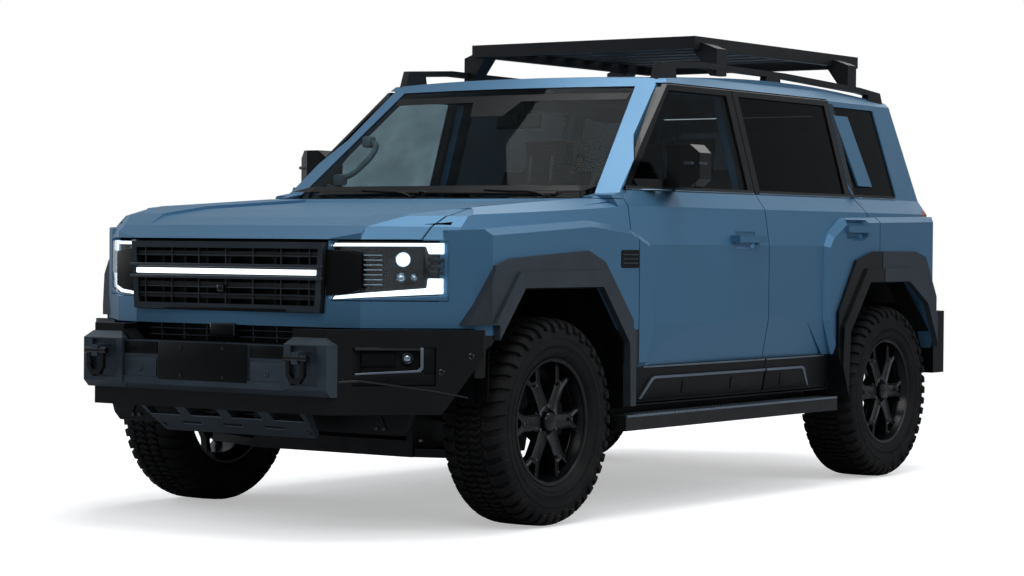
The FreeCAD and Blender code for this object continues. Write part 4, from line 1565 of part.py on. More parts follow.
bad = []
for item in doc.Objects:
    if "Invalid" in item.State or "Error" in item.State:
        bad.append("%s: %s" % (item.Label, item.State))
for item in nodes:
    shape = item.Shape
    if shape.isNull() or not shape.isValid() or not shape.Solids:
        bad.append("%s has no valid shape" % item.Label)
if bad:
    raise RuntimeError("; ".join(bad[:20]))

os.makedirs("parts", exist_ok=True)
for item in nodes:
    item.Shape.exportStep("parts/%s.step" % item.Label)
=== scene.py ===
import bpy
import bmesh
import math
from bpy.props import FloatProperty, FloatVectorProperty, IntProperty, PointerProperty
from mathutils import Matrix, Vector
from mathutils.bvhtree import BVHTree


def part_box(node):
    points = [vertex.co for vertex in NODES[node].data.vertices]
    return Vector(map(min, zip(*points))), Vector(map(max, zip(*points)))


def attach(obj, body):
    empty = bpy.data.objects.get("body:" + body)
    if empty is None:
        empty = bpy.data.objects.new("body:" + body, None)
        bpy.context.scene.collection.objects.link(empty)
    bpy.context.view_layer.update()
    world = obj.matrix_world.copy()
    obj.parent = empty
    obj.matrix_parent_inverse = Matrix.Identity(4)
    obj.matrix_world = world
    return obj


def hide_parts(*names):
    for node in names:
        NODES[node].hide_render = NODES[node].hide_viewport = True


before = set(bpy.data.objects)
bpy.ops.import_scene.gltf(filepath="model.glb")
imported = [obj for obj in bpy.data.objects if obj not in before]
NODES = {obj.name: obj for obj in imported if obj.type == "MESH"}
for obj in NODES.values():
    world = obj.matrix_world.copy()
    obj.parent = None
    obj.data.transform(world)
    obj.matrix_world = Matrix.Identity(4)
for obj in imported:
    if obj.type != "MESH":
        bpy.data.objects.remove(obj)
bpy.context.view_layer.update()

bl_info = {
    "name": "Lifted off-road 4x4",
    "version": (1, 0, 0),
    "blender": (4, 5, 0),
    "location": "3D View > Sidebar > Off-roader",
    "description": "Dresses the packed off-roader with tyres, wheels, lamps, trim, cabin and finishes",
    "category": "Object",
}

# Metres. Lengths along y are counted from the front axle and each piece is then moved by MIDDLE,
# so that the frame's origin lies below the middle of the vehicle.
MIDDLE = 1.355
WHEEL_Z = 0.400
WHEELS = {"fl": (0.815, 0.0, 1), "fr": (-0.815, 0.0, -1), "rl": (0.815, 2.8, 1), "rr": (-0.815, 2.8, -1)}


def tone(red, green, blue):
    """A colour given from 0 to 255, as the linear value that a shader takes."""
    line = []
    for part in (red, green, blue):
        part = part / 255
        line.append(part / 12.92 if part <= 0.04045 else ((part + 0.055) / 1.055) ** 2.4)
    return tuple(line)


class OffRoaderSizes(bpy.types.PropertyGroup):
    """Sizes that a user may change."""
    tread_pitches: IntProperty(name="Tread pitches", description="Lugs round a tyre", default=46, min=24,
                               max=60)
    lug_height: FloatProperty(name="Lug height", description="Depth of the grooves", default=0.0125,
                              unit="LENGTH", subtype="DISTANCE")
    spoke_width: FloatProperty(name="Spoke width", description="Half width of a spoke's stem",
                               default=0.030, unit="LENGTH", subtype="DISTANCE")
    stitch_swell: FloatProperty(name="Cushion swell", description="Furthest a point of a cushion may swell",
                                default=0.016, unit="LENGTH", subtype="DISTANCE")
    camera_lens: FloatProperty(name="Lens", description="Focal length of the camera in millimetres",
                               default=92.6)


class OffRoaderColours(bpy.types.PropertyGroup):
    """Colours that a user may change."""
    paint: FloatVectorProperty(name="Paint", description="Body colour", subtype="COLOR", size=3, min=0,
                               max=1, default=tone(73, 117, 150))
    charcoal: FloatVectorProperty(name="Charcoal", description="Flares and towers", subtype="COLOR", size=3,
                                  min=0, max=1, default=tone(46, 55, 63))
    gloss: FloatVectorProperty(name="Gloss black", description="Wheels and window frames", subtype="COLOR",
                               size=3, min=0, max=1, default=tone(9, 10, 12))
    plastic: FloatVectorProperty(name="Black plastic", description="Bumpers and cladding", subtype="COLOR",
                                 size=3, min=0, max=1, default=tone(8, 10, 13))
    rubber: FloatVectorProperty(name="Rubber", description="Tyres and seals", subtype="COLOR", size=3,
                                min=0, max=1, default=tone(12, 13, 15))
    hide: FloatVectorProperty(name="Hide", description="Seats", subtype="COLOR", size=3, min=0, max=1,
                              default=tone(34, 35, 38))


# ---------------------------------------------------------------- shapes

def at(x, y, z):
    """A move, as a matrix."""
    return Matrix.Translation((x, y, z))


def turn(degrees, axis):
    """A turn about the x, y or z axis, as a matrix."""
    return Matrix.Rotation(math.radians(degrees), 4, axis)


def fold_edges(bm, width, steps=2, sharper_than=28):
    """Bevels every edge whose faces meet more sharply than that many degrees."""
    if width <= 0:
        return bm
    limit = math.radians(sharper_than)
    edges = [e for e in bm.edges if len(e.link_faces) == 2 and e.calc_face_angle(0) > limit]
    bmesh.ops.bevel(bm, geom=edges, offset=width, offset_type="OFFSET", affect="EDGES", segments=steps,
                    profile=0.5, material=-1, clamp_overlap=True)
    return bm


def oblong(x0, x1, y0, y1):
    """The outline of a rectangle."""
    return [(x0, y0), (x1, y0), (x1, y1), (x0, y1)]


def block(size, width=0.0, steps=2):
    """A box about its own middle."""
    bm = bmesh.new()
    bmesh.ops.create_cube(bm, size=1.0)
    bmesh.ops.scale(bm, vec=Vector(size), verts=bm.verts)
    return fold_edges(bm, width, steps)


def rod(radius, length, sides=24, width=0.0, tip=None):
    """A round bar along z, about its own middle."""
    bm = bmesh.new()
    bmesh.ops.create_cone(bm, cap_ends=True, cap_tris=False, segments=sides, radius1=radius,
                          radius2=radius if tip is None else tip, depth=length)
    return fold_edges(bm, width, 2, 50)


def raised(bm, faces, thickness):
    """Gives flat faces their thickness along z."""
    made = bmesh.ops.extrude_face_region(bm, geom=faces)
    lifted = [v for v in made["geom"] if isinstance(v, bmesh.types.BMVert)]
    bmesh.ops.translate(bm, vec=(0, 0, thickness), verts=lifted)
    bmesh.ops.recalc_face_normals(bm, faces=bm.faces)


def plate(points, thickness, width=0.0, steps=2):
    """A flat outline in x and y, raised along z."""
    bm = bmesh.new()
    raised(bm, [bm.faces.new([bm.verts.new((x, y, 0)) for x, y in points])], thickness)
    return fold_edges(bm, width, steps)


def turned(profile, steps=64, closed=False):
    """A profile of radius and height, spun about z."""
    bm = bmesh.new()
    verts = [bm.verts.new((r, 0, z)) for r, z in profile]
    pairs = list(zip(verts, verts[1:]))
    if closed:
        pairs.append((verts[-1], verts[0]))
    edges = [bm.edges.new(pair) for pair in pairs]
    bmesh.ops.spin(bm, geom=verts + edges, cent=(0, 0, 0), axis=(0, 0, 1), angle=2 * math.pi, steps=steps,
                   use_merge=True)
    bmesh.ops.remove_doubles(bm, verts=bm.verts, dist=1e-6)
    bmesh.ops.recalc_face_normals(bm, faces=bm.faces)
    return bm


def pipe(points, radius, sides=3, smooth=True):
    """A round tube through points."""
    data = bpy.data.curves.new("run", "CURVE")
    data.dimensions = "3D"
    data.bevel_depth = radius
    data.bevel_resolution = sides
    data.resolution_u = 6
    data.use_fill_caps = True
    if smooth:
        run = data.splines.new("BEZIER")
        run.bezier_points.add(len(points) - 1)
        for knot, place in zip(run.bezier_points, points):
            knot.co = place
            knot.handle_left_type = knot.handle_right_type = "AUTO"
    else:
        run = data.splines.new("POLY")
        run.points.add(len(points) - 1)
        for knot, place in zip(run.points, points):
            knot.co = (*place, 1)
    thing = bpy.data.objects.new("run", data)
    mesh = bpy.data.meshes.new_from_object(thing)
    bm = bmesh.new()
    bm.from_mesh(mesh)
    bpy.data.objects.remove(thing)
    bpy.data.curves.remove(data)
    bpy.data.meshes.remove(mesh)
    return bm


def surround(points, rim, thickness, width=0.0):
    """A flat frame: an outline whose middle is open."""
    bm = bmesh.new()
    face = bm.faces.new([bm.verts.new((x, y, 0)) for x, y in points])
    bm.normal_update()
    bmesh.ops.inset_region(bm, faces=[face], thickness=rim, depth=0.0, use_even_offset=True)
    bmesh.ops.delete(bm, geom=[face], context="FACES")
    raised(bm, bm.faces[:], thickness)
    return fold_edges(bm, width)


def moved(bm, x, y, z):
    """Moves a shape."""
    bmesh.ops.translate(bm, vec=(x, y, z), verts=bm.verts)
    return bm


def lift(bm, height):
    """Moves a flat shape along z."""
    return moved(bm, 0, 0, height)


def refine(bm, longest, most_rounds=6):
    """Divides the edges that are longer than that."""
    for _ in range(most_rounds):
        edges = [e for e in bm.edges if e.calc_length() > longest]
        if not edges:
            break
        bmesh.ops.subdivide_edges(bm, edges=edges, cuts=1, use_grid_fill=True)
    return bm


# Half of the plan of the nose and of the bumper, from the middle outwards, as (x, y).
NOSE_PLAN = ((0.0, -0.830), (0.470, -0.812), (0.600, -0.775), (0.720, -0.665), (0.835, -0.563),
             (0.911, -0.500))
BUMPER_PLAN = ((0.0, -0.938), (0.568, -0.938), (0.700, -0.790), (0.940, -0.545), (0.966, -0.512))


def wall_at(plan, x):
    """The stretch of a wall's plan that holds x, as its start, its direction and its outward normal."""
    for low, high in zip(plan, plan[1:]):
        if x <= high[0] + 1e-6:
            break
    along = Vector((high[0] - low[0], high[1] - low[1], 0)).normalized()
    return low, along, Vector((along.y, -along.x, 0))


def point_on(plan, x, height, out):
    """A point over a wall's plan, a distance off its face, and the wall's direction and normal there."""
    low, along, normal = wall_at(plan, x)
    return Vector((x, low[1] + (x - low[0]) * along.y / along.x, height)) + normal * out, along, normal


def on_wall(plan, x, height, out=0.0):
    """A place on a wall, turned so that a shape's x runs along the wall, its y up and its z outwards."""
    spot, along, normal = point_on(plan, x, height, out)
    return Matrix.Translation(spot) @ Matrix((along, Vector((0, 0, 1)), normal)).transposed().to_4x4()


def follow(bm, plan):
    """Bends a flat shape onto a wall: its x runs across the vehicle, its y up and its z outwards."""
    for side in (1, -1):
        for x, y in plan[1:-1]:
            bmesh.ops.bisect_plane(bm, geom=bm.verts[:] + bm.edges[:] + bm.faces[:],
                                   plane_co=(side * x, 0, 0), plane_no=(1, 0, 0))
    for vert in bm.verts:
        across, height, out = vert.co
        side = -1 if across < 0 else 1
        spot = abs(across)
        foot, along, normal = point_on(plan, spot, height, 0.0)
        if any(abs(spot - x) < 1e-5 for x, y in plan[1:-1]):
            half = (normal + wall_at(plan, spot + 1e-3)[2]).normalized()
            normal = half / half.dot(normal)
        point = foot + normal * out
        vert.co = Vector((side * point.x, point.y, point.z))
    return bm


# For each side that a shape is laid on from: where the rays start, as a function of the flat x and y, their
# way, and how far on the nearest surface is looked for where a ray misses.
VIEWS = {
    "left": (lambda a, b: (2.0, a - MIDDLE, b), (-1, 0, 0), 1.1),
    "front": (lambda a, b: (a, -4.0, b), (0, 1, 0), 2.0),
    "back": (lambda a, b: (a, 4.0, b), (0, -1, 0), 2.0),
}
TREES = {}


def drape(bm, nodes, seen_from, stand=0.0, longest=0.06):
    """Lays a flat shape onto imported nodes. From the left its x and y run back and up, from the front and
    the back across and up. Its z is how far it stands off."""
    if nodes not in TREES:
        whole = bmesh.new()
        for node in nodes:
            whole.from_mesh(NODES[node].data)
        TREES[nodes] = BVHTree.FromBMesh(whole)
        whole.free()
    tree = TREES[nodes]
    start_of, way, ahead = VIEWS[seen_from]
    way = Vector(way)
    refine(bm, longest)
    for vert in bm.verts:
        a, b, out = vert.co
        start = Vector(start_of(a, b))
        spot = tree.ray_cast(start, way)[0]
        if spot is None:
            near = tree.find_nearest(start + way * ahead)[0]
            spot = start + way * (near - start).dot(way)
        spot = spot - way * (out + stand)
        vert.co = Vector((spot.x, spot.y + MIDDLE, spot.z))
    return bm


def mirrored(bm):
    """The same shape on the other side of the vehicle."""
    bmesh.ops.scale(bm, vec=(-1, 1, 1), verts=bm.verts)
    bmesh.ops.reverse_faces(bm, faces=bm.faces)
    return bm


class Builder:
    """Gathers shapes into one piece. A shape's finish is named, and is the first of the piece's finishes
    where it isn't."""

    def __init__(self, name, finishes, body, slot, angle=32):
        self.name, self.finishes, self.body, self.slot, self.angle = name, finishes, body, slot, angle
        self.bm = bmesh.new()

    def add(self, part, place=None, finish=None, both=False, keep=False):
        """Adds a shape, moved by a matrix, and its mirror image too where both is set."""
        mesh = bpy.data.meshes.new("shape")
        for face in part.faces:
            face.material_index = self.finishes.index(finish) if finish else 0
        part.to_mesh(mesh)
        if place is not None:
            mesh.transform(place)
        self.bm.from_mesh(mesh)
        if both:
            twin = bmesh.new()
            twin.from_mesh(mesh)
            mirrored(twin).to_mesh(mesh)
            self.bm.from_mesh(mesh)
            twin.free()
        bpy.data.meshes.remove(mesh)
        if not keep:
            part.free()

    def lay(self, plan, points, out, thickness, finish, width=0.0, rim=0.0):
        """Adds a plate, or a frame where rim is set, that follows a wall's plan on both sides."""
        part = surround(points, rim, thickness, width) if rim else plate(points, thickness, width)
        self.add(follow(lift(part, out), plan), finish=finish, both=True)

    def done(self, *stands_for):
        """Makes the piece, which rides its body and takes the place of the nodes that are named."""
        bmesh.ops.translate(self.bm, vec=(0, -MIDDLE, 0), verts=self.bm.verts)
        mesh = bpy.data.meshes.new(self.name)
        self.bm.to_mesh(mesh)
        self.bm.free()
        thing = bpy.data.objects.new(self.name, mesh)
        bpy.context.scene.collection.objects.link(thing)
        for finish in self.finishes:
            mesh.materials.append(FINISHES[finish])
        mesh.shade_smooth()
        mesh.set_sharp_from_angle(angle=math.radians(self.angle))
        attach(thing, self.body)
        if stands_for:
            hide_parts(*stands_for)


# ---------------------------------------------------------------- finishes

FINISHES = {}
EFFECTS = {}
NUMBER, COLOUR = "NodeSocketFloat", "NodeSocketColor"
MIDDLE_GREY = (0.5, 0.5, 0.5, 1)
# A Mix node's two inputs and its output, by the kind of value that it mixes.
MIX_SOCKETS = {COLOUR: (6, 7, 2), NUMBER: (2, 3, 0)}


def effect(name, inputs, outputs):
    """A new shader node group with named sockets."""
    group = bpy.data.node_groups.new(name, "ShaderNodeTree")
    for label, kind, value in inputs:
        socket = group.interface.new_socket(name=label, in_out="INPUT", socket_type=kind)
        socket.default_value = value
    for label, kind in outputs:
        group.interface.new_socket(name=label, in_out="OUTPUT", socket_type=kind)
    EFFECTS[name] = group
    start = group.nodes.new("NodeGroupInput")
    end = group.nodes.new("NodeGroupOutput")
    return group, start, end


def fill(node, values):
    """Sets a node's inputs."""
    for key, value in values.items():
        node.inputs[key].default_value = value


def add_node(tree, kind, values=None, **settings):
    """A new node with its settings and the values of its inputs."""
    node = tree.nodes.new(kind)
    for key, value in settings.items():
        setattr(node, key, value)
    fill(node, values or {})
    return node


def wire(tree, *routes):
    """Joins sockets. Each route is a node, its output, another node and its input."""
    for source, out, target, into in routes:
        tree.links.new(source.outputs[out], target.inputs[into])


def make_metal_flake():
    """Flakes as fine cells of lighter and darker colour, with the coat's peel as a height."""
    group, start, end = effect("Metal flake", [("Colour", COLOUR, MIDDLE_GREY),
                                               ("Fleck size", NUMBER, 900.0), ("Depth", NUMBER, 0.3)],
                               [("Colour", COLOUR), ("Roughness", NUMBER), ("Height", NUMBER)])
    place = add_node(group, "ShaderNodeTexCoord")
    cells = add_node(group, "ShaderNodeTexVoronoi")
    peel = add_node(group, "ShaderNodeTexNoise", {"Scale": 55.0, "Detail": 2.0})
    cloud = add_node(group, "ShaderNodeTexNoise", {"Scale": 1.3, "Detail": 3.0})
    tint = add_node(group, "ShaderNodeHueSaturation")
    light = add_node(group, "ShaderNodeMapRange", {"To Min": 0.93, "To Max": 1.07})
    depth = add_node(group, "ShaderNodeMath", operation="MULTIPLY_ADD")
    rough = add_node(group, "ShaderNodeMapRange", {"From Min": 0.3, "From Max": 0.7, "To Min": 0.36,
                                                   "To Max": 0.44})
    keep = add_node(group, "ShaderNodeMath", {0: 1.0}, operation="SUBTRACT")
    wire(group, (place, "Object", cells, "Vector"), (place, "Object", peel, "Vector"),
         (place, "Object", cloud, "Vector"), (start, "Fleck size", cells, "Scale"),
         (cells, "Color", light, "Value"), (light, "Result", depth, 0), (start, "Depth", depth, 1),
         (start, "Depth", keep, 1), (keep, 0, depth, 2), (depth, 0, tint, "Value"),
         (start, "Colour", tint, "Color"), (cloud, "Fac", rough, "Value"), (tint, "Color", end, "Colour"),
         (rough, "Result", end, "Roughness"), (peel, "Fac", end, "Height"))


def make_settled_dust():
    """Dust in patches, thickest at the ground and gone at its reach."""
    group, start, end = effect("Settled dust", [("Colour", COLOUR, MIDDLE_GREY),
                                                ("Dust", COLOUR, (*tone(132, 124, 112), 1)),
                                                ("Amount", NUMBER, 0.25), ("Reach", NUMBER, 0.7),
                                                ("Roughness", NUMBER, 0.5)],
                               [("Colour", COLOUR), ("Roughness", NUMBER), ("Mask", NUMBER)])
    place = add_node(group, "ShaderNodeTexCoord")
    parts = add_node(group, "ShaderNodeSeparateXYZ")
    low = add_node(group, "ShaderNodeMapRange", {"From Min": 0.0, "To Min": 1.0, "To Max": 0.0})
    noise = add_node(group, "ShaderNodeTexNoise", {"Scale": 9.0, "Detail": 6.0, "Roughness": 0.65})
    spread = add_node(group, "ShaderNodeMapRange", {"From Min": 0.42, "From Max": 0.72})
    mask = add_node(group, "ShaderNodeMath", operation="MULTIPLY")
    scaled = add_node(group, "ShaderNodeMath", operation="MULTIPLY", use_clamp=True)
    first, second, mixed = MIX_SOCKETS[COLOUR]
    mix = add_node(group, "ShaderNodeMix", data_type="RGBA")
    clean, dusty, blended = MIX_SOCKETS[NUMBER]
    rough = add_node(group, "ShaderNodeMix", {dusty: 0.85}, data_type="FLOAT")
    wire(group, (place, "Object", parts, 0), (place, "Object", noise, "Vector"), (parts, "Z", low, "Value"),
         (start, "Reach", low, "From Max"), (noise, "Fac", spread, "Value"), (low, "Result", mask, 0),
         (spread, "Result", mask, 1), (mask, 0, scaled, 0), (start, "Amount", scaled, 1),
         (scaled, 0, mix, 0), (start, "Colour", mix, first), (start, "Dust", mix, second),
         (scaled, 0, rough, 0), (start, "Roughness", rough, clean), (mix, mixed, end, "Colour"),
         (rough, blended, end, "Roughness"), (scaled, 0, end, "Mask"))


def make_moulded_grain():
    """The fine grain of mouldings, with a slow unevenness of shade."""
    group, start, end = effect("Moulded grain", [("Scale", NUMBER, 700.0), ("Unevenness", NUMBER, 0.4)],
                               [("Height", NUMBER), ("Shade", NUMBER)])
    place = add_node(group, "ShaderNodeTexCoord")
    cells = add_node(group, "ShaderNodeTexVoronoi", feature="SMOOTH_F1")
    cloud = add_node(group, "ShaderNodeTexNoise", {"Scale": 6.0, "Detail": 4.0})
    mix = add_node(group, "ShaderNodeMath", operation="MULTIPLY_ADD")
    shade = add_node(group, "ShaderNodeMapRange", {"From Min": 0.3, "From Max": 0.7, "To Min": 0.86,
                                                   "To Max": 1.14})
    wire(group, (place, "Object", cells, "Vector"), (place, "Object", cloud, "Vector"),
         (start, "Scale", cells, "Scale"), (cloud, "Fac", mix, 0), (start, "Unevenness", mix, 1),
         (cells, "Distance", mix, 2), (cloud, "Fac", shade, "Value"), (mix, 0, end, "Height"),
         (shade, "Result", end, "Shade"))


def make_two_zones():
    """Two finishes on one surface, which change over at a place along an axis."""
    pairs = (("Colour", COLOUR, MIDDLE_GREY), ("Roughness", NUMBER, 0.5), ("Metallic", NUMBER, 0.0),
             ("Coat", NUMBER, 0.0))
    inputs = [("Axis", "NodeSocketVector", (0, 0, 1)), ("Place", NUMBER, 0.6), ("Sign", NUMBER, 1.0)]
    for label, kind, value in pairs:
        inputs += [(label, kind, value), ("Other " + label.lower(), kind, value)]
    group, start, end = effect("Two zones", inputs, [(label, kind) for label, kind, value in pairs])
    spot = add_node(group, "ShaderNodeTexCoord")
    along = add_node(group, "ShaderNodeVectorMath", operation="DOT_PRODUCT")
    past = add_node(group, "ShaderNodeMath", operation="SUBTRACT")
    signed = add_node(group, "ShaderNodeMath", operation="MULTIPLY")
    mask = add_node(group, "ShaderNodeMath", {1: 0.0}, operation="GREATER_THAN")
    wire(group, (spot, "Object", along, 0), (start, "Axis", along, 1), (along, "Value", past, 0),
         (start, "Place", past, 1), (past, 0, signed, 0), (start, "Sign", signed, 1), (signed, 0, mask, 0))
    for label, kind, value in pairs:
        mix = add_node(group, "ShaderNodeMix", data_type="RGBA" if kind == COLOUR else "FLOAT")
        first, second, out = MIX_SOCKETS[kind]
        wire(group, (mask, 0, mix, 0), (start, label, mix, first),
             (start, "Other " + label.lower(), mix, second),
             (mix, out, end, label))


def finish(name, colour, roughness=0.5, metallic=0.0, grain=0.0, grain_scale=700.0, dust=0.0, reach=0.7,
           flake=0.0, coat=0.0, coat_roughness=0.1, glow=None, glow_strength=0.0, clear=0.0, ior=1.45,
           sheen=0.0, specular=0.5, other=None, edge=None):
    """A finish from the shared effects. Colours are linear. Past an edge, given as (axis, place, sign), the
    surface has the other finish, given as (colour, roughness, metallic, coat)."""
    material = bpy.data.materials.new(name)
    material.use_nodes = True
    tree = material.node_tree
    shader = tree.nodes["Principled BSDF"]
    base = (*colour, 1.0)
    fill(shader, {"Base Color": base, "Roughness": roughness, "Metallic": metallic, "Coat Weight": coat,
                  "Coat Roughness": coat_roughness, "IOR": ior, "Transmission Weight": clear,
                  "Specular IOR Level": specular})
    if sheen:
        fill(shader, {"Sheen Weight": sheen, "Sheen Roughness": 0.4})
    if glow is not None:
        fill(shader, {"Emission Color": (*glow, 1.0), "Emission Strength": glow_strength})
    # Each of the next three is a node and its output, and passes through the effects in turn.
    if flake:
        fleck = add_node(tree, "ShaderNodeGroup", node_tree=EFFECTS["Metal flake"])
        fill(fleck, {"Colour": base, "Depth": flake})
        tint, rough, height = (fleck, "Colour"), (fleck, "Roughness"), (fleck, "Height")
    else:
        skin = add_node(tree, "ShaderNodeGroup", node_tree=EFFECTS["Moulded grain"])
        fill(skin, {"Scale": grain_scale})
        shade = add_node(tree, "ShaderNodeHueSaturation", {"Color": base})
        uneven = add_node(tree, "ShaderNodeMath", {1: roughness}, operation="MULTIPLY")
        wire(tree, (skin, "Shade", shade, "Value"), (skin, "Shade", uneven, 0))
        tint, rough, height = (shade, "Color"), (uneven, 0), (skin, "Height")
    if dust:
        settled = add_node(tree, "ShaderNodeGroup", node_tree=EFFECTS["Settled dust"])
        fill(settled, {"Amount": dust, "Reach": reach})
        wire(tree, (*tint, settled, "Colour"), (*rough, settled, "Roughness"))
        tint, rough = (settled, "Colour"), (settled, "Roughness")
    if other is not None:
        axis, place, sign = edge
        zone = add_node(tree, "ShaderNodeGroup", node_tree=EFFECTS["Two zones"])
        way = [1.0 if letter == axis else 0.0 for letter in "XYZ"]
        fill(zone, {"Place": place, "Sign": sign, "Axis": way, "Metallic": metallic, "Coat": coat,
                    "Other colour": (*other[0], 1.0), "Other roughness": other[1],
                    "Other metallic": other[2], "Other coat": other[3]})
        wire(tree, (*tint, zone, "Colour"), (*rough, zone, "Roughness"),
             (zone, "Metallic", shader, "Metallic"), (zone, "Coat", shader, "Coat Weight"))
        tint, rough = (zone, "Colour"), (zone, "Roughness")
    wire(tree, (*tint, shader, "Base Color"), (*rough, shader, "Roughness"))
    if grain:
        bump = add_node(tree, "ShaderNodeBump", {"Strength": grain, "Distance": 0.001})
        wire(tree, (*height, bump, "Height"), (bump, "Normal", shader, "Normal"))
    FINISHES[name] = material


# Where one imported node changes its finish: the top of the cladding, of the bumper's band and of the doors'
# black foot, and how far back the grille's slats stay charcoal, behind which the grille is near black as
# painted shade.
CLADDING_TOP, BUMPER_TOP, TRIM_FOOT, SLATS_SHADE_DEPTH = 0.5915, 0.742, 0.62, -2.1895
TOWER_SHADE = 1.7


def make_finishes(colours):
    """Every finish of the vehicle."""
    make_metal_flake()
    make_settled_dust()
    make_moulded_grain()
    make_two_zones()
    dark = (colours.plastic, 0.5, 0.0, 0.0)
    for name, edge in (("Blue grey paint", None), ("Paint over cladding", ("Z", CLADDING_TOP, -1.0)),
                       ("Paint over bumper", ("Z", BUMPER_TOP, -1.0))):
        finish(name, colours.paint, metallic=0.55, flake=0.5, grain=0.02, coat=0.10, coat_roughness=0.32,
               dust=0.06, reach=0.75, other=dark if edge else None, edge=edge)
    finish("Gloss black", colours.gloss, 0.12, coat=0.6, coat_roughness=0.05, grain=0.01, grain_scale=120)
    finish("Gloss over cladding", colours.gloss, 0.24, coat=0.15, coat_roughness=0.12, grain=0.02,
           grain_scale=900, specular=0.25, other=dark, edge=("Z", TRIM_FOOT, -1.0))
    finish("Wheel black", colours.gloss, 0.24, coat=0.15, coat_roughness=0.10, grain=0.02, grain_scale=300,
           specular=0.3)
    finish("Black plastic", colours.plastic, 0.5, grain=0.3, grain_scale=900, dust=0.03, reach=0.6,
           specular=0.25)
    finish("Deep black", tone(5, 6, 8), 0.42, grain=0.1, grain_scale=900, specular=0.2)
    finish("Charcoal plastic", colours.charcoal, 0.42, metallic=0.3, grain=0.2, grain_scale=1100, dust=0.08)
    # Behind its front faces the grille turns near black: painted shade in its depths.
    finish("Grille plastic with painted shade", colours.charcoal, 0.36, metallic=0.4, grain=0.12, grain_scale=1100,
           other=(tone(4, 5, 6), 0.6, 0.0, 0.0), edge=("Y", SLATS_SHADE_DEPTH, 1.0))
    finish("Satin charcoal", tuple(v * TOWER_SHADE for v in colours.charcoal), 0.36, metallic=0.5,
           grain=0.1, grain_scale=1500)
    finish("Slat grey", tone(64, 72, 80), 0.32, metallic=0.6, grain=0.1, grain_scale=1500)
    # A pale metallic grey laid as thin strips along the upper edges of black parts, as painted highlight.
    finish("Painted edge highlight", tone(112, 124, 136), 0.3, metallic=0.7, grain=0.08, grain_scale=1500)
    finish("Black steel", tone(15, 17, 20), 0.46, metallic=0.3, grain=0.25, grain_scale=1400, dust=0.08)
    finish("Rubber", colours.rubber, 0.74, grain=0.35, grain_scale=520, dust=0.05, reach=0.9, specular=0.25)
    finish("Smooth rubber", tone(10, 11, 13), 0.6, grain=0.15, grain_scale=400)
    finish("Cast iron", tone(48, 48, 48), 0.7, metallic=0.6, grain=0.7, grain_scale=500, dust=0.2)
    finish("Bare steel", tone(130, 134, 140), 0.34, metallic=1.0, grain=0.12, grain_scale=1800)
    finish("Bright strip", tone(128, 150, 168), 0.25, metallic=0.9, grain=0.05, grain_scale=1800)
    finish("Cabin plastic", tone(26, 28, 31), 0.62, grain=0.6, grain_scale=800)
    finish("Pale trim", tone(128, 138, 142), 0.6, grain=0.4, grain_scale=800)
    finish("Hide", colours.hide, 0.55, grain=0.8, grain_scale=420, sheen=0.2)
    finish("Screen face", tone(6, 8, 11), 0.08, grain=0.01)
    finish("Windscreen glass", tone(150, 168, 174), 0.01, clear=1.0, ior=1.08, specular=0.2)
    finish("Side glass", tone(140, 154, 160), 0.01, clear=1.0, ior=1.12, specular=0.3)
    finish("Dark glass", tone(34, 40, 46), 0.02, clear=1.0, ior=1.15)
    finish("Lamp cover", tone(236, 242, 246), 0.01, clear=1.0, ior=1.12)
    finish("Lamp bowl", tone(12, 15, 19), 0.2, coat=0.4, grain=0.03, grain_scale=300)
    finish("Lamp chrome", tone(170, 184, 196), 0.14, metallic=1.0, grain=0.03, grain_scale=300)
    finish("White light", tone(240, 248, 255), 0.3, glow=(0.86, 0.96, 1.0), glow_strength=1.5)
    finish("Red lamp", tone(120, 10, 12), 0.12, coat=0.6, grain=0.3, grain_scale=160)
    finish("Red glow", tone(190, 20, 22), 0.2, coat=0.4, grain=0.3, grain_scale=160, glow=(1.0, 0.05, 0.04),
           glow_strength=0.35)
    finish("Amber lamp", tone(170, 84, 20), 0.2, coat=0.4, grain=0.3, grain_scale=200)


CAD_FINISHES = {
    "Blue grey paint": ("roof_panel", "bonnet", "tailgate", "door_fl", "door_fr", "door_rl", "door_rr"),
    "Paint over cladding": ("body_sides",),
    "Paint over bumper": ("front_panels",),
    "Gloss over cladding": ("door_trim_fl", "door_trim_fr", "door_trim_rl", "door_trim_rr"),
    "Gloss black": ("spare_cover", "shackles"),
    "Windscreen glass": ("windscreen",),
    "Side glass": ("door_glass_fl", "door_glass_fr"),
    "Dark glass": ("quarter_glass", "tailgate_glass", "door_glass_rl", "door_glass_rr"),
    "Black plastic": ("front_bumper", "rear_bumper", "arch_liners", "cowl_panel", "fuel_tank"),
    "Charcoal plastic": ("arch_flares",),
    "Grille plastic with painted shade": ("grille",),
    "Satin charcoal": ("bumper_guard",),
    "Black steel": ("chassis_frame", "roof_rails", "roof_rack", "radiator", "front_suspension",
                    "rear_axle", "floor_pan", "side_steps"),
    "Red lamp": ("tail_lamps",),
    "Cast iron": ("engine_gearbox", "knuckle_left", "knuckle_right"),
    "Cabin plastic": ("dashboard", "steering_wheel"),
    "Hide": ("seats",),
    "Bare steel": ("exhaust",),
    "Rubber": ("tyre_fl", "tyre_fr", "tyre_rl", "tyre_rr", "spare_tyre"),
    "Smooth rubber": ("rim_fl", "rim_fr", "rim_rl", "rim_rr"),
    "Lamp cover": ("headlamps",),
}
# Nodes whose pressed or moulded edges are rounded, with the radius.
ROUNDED = {
    0.007: ("bonnet", "front_panels", "roof_panel"),
    0.006: ("body_sides", "arch_flares", "front_bumper", "rear_bumper"),
    0.005: ("door_fl", "door_fr", "door_rl", "door_rr", "tailgate", "roof_rails", "spare_cover"),
    0.004: ("bumper_guard", "door_trim_fl", "door_trim_fr", "door_trim_rl", "door_trim_rr",
            "side_steps", "roof_rack"),
    0.003: ("grille", "shackles", "dashboard", "cowl_panel"),
}


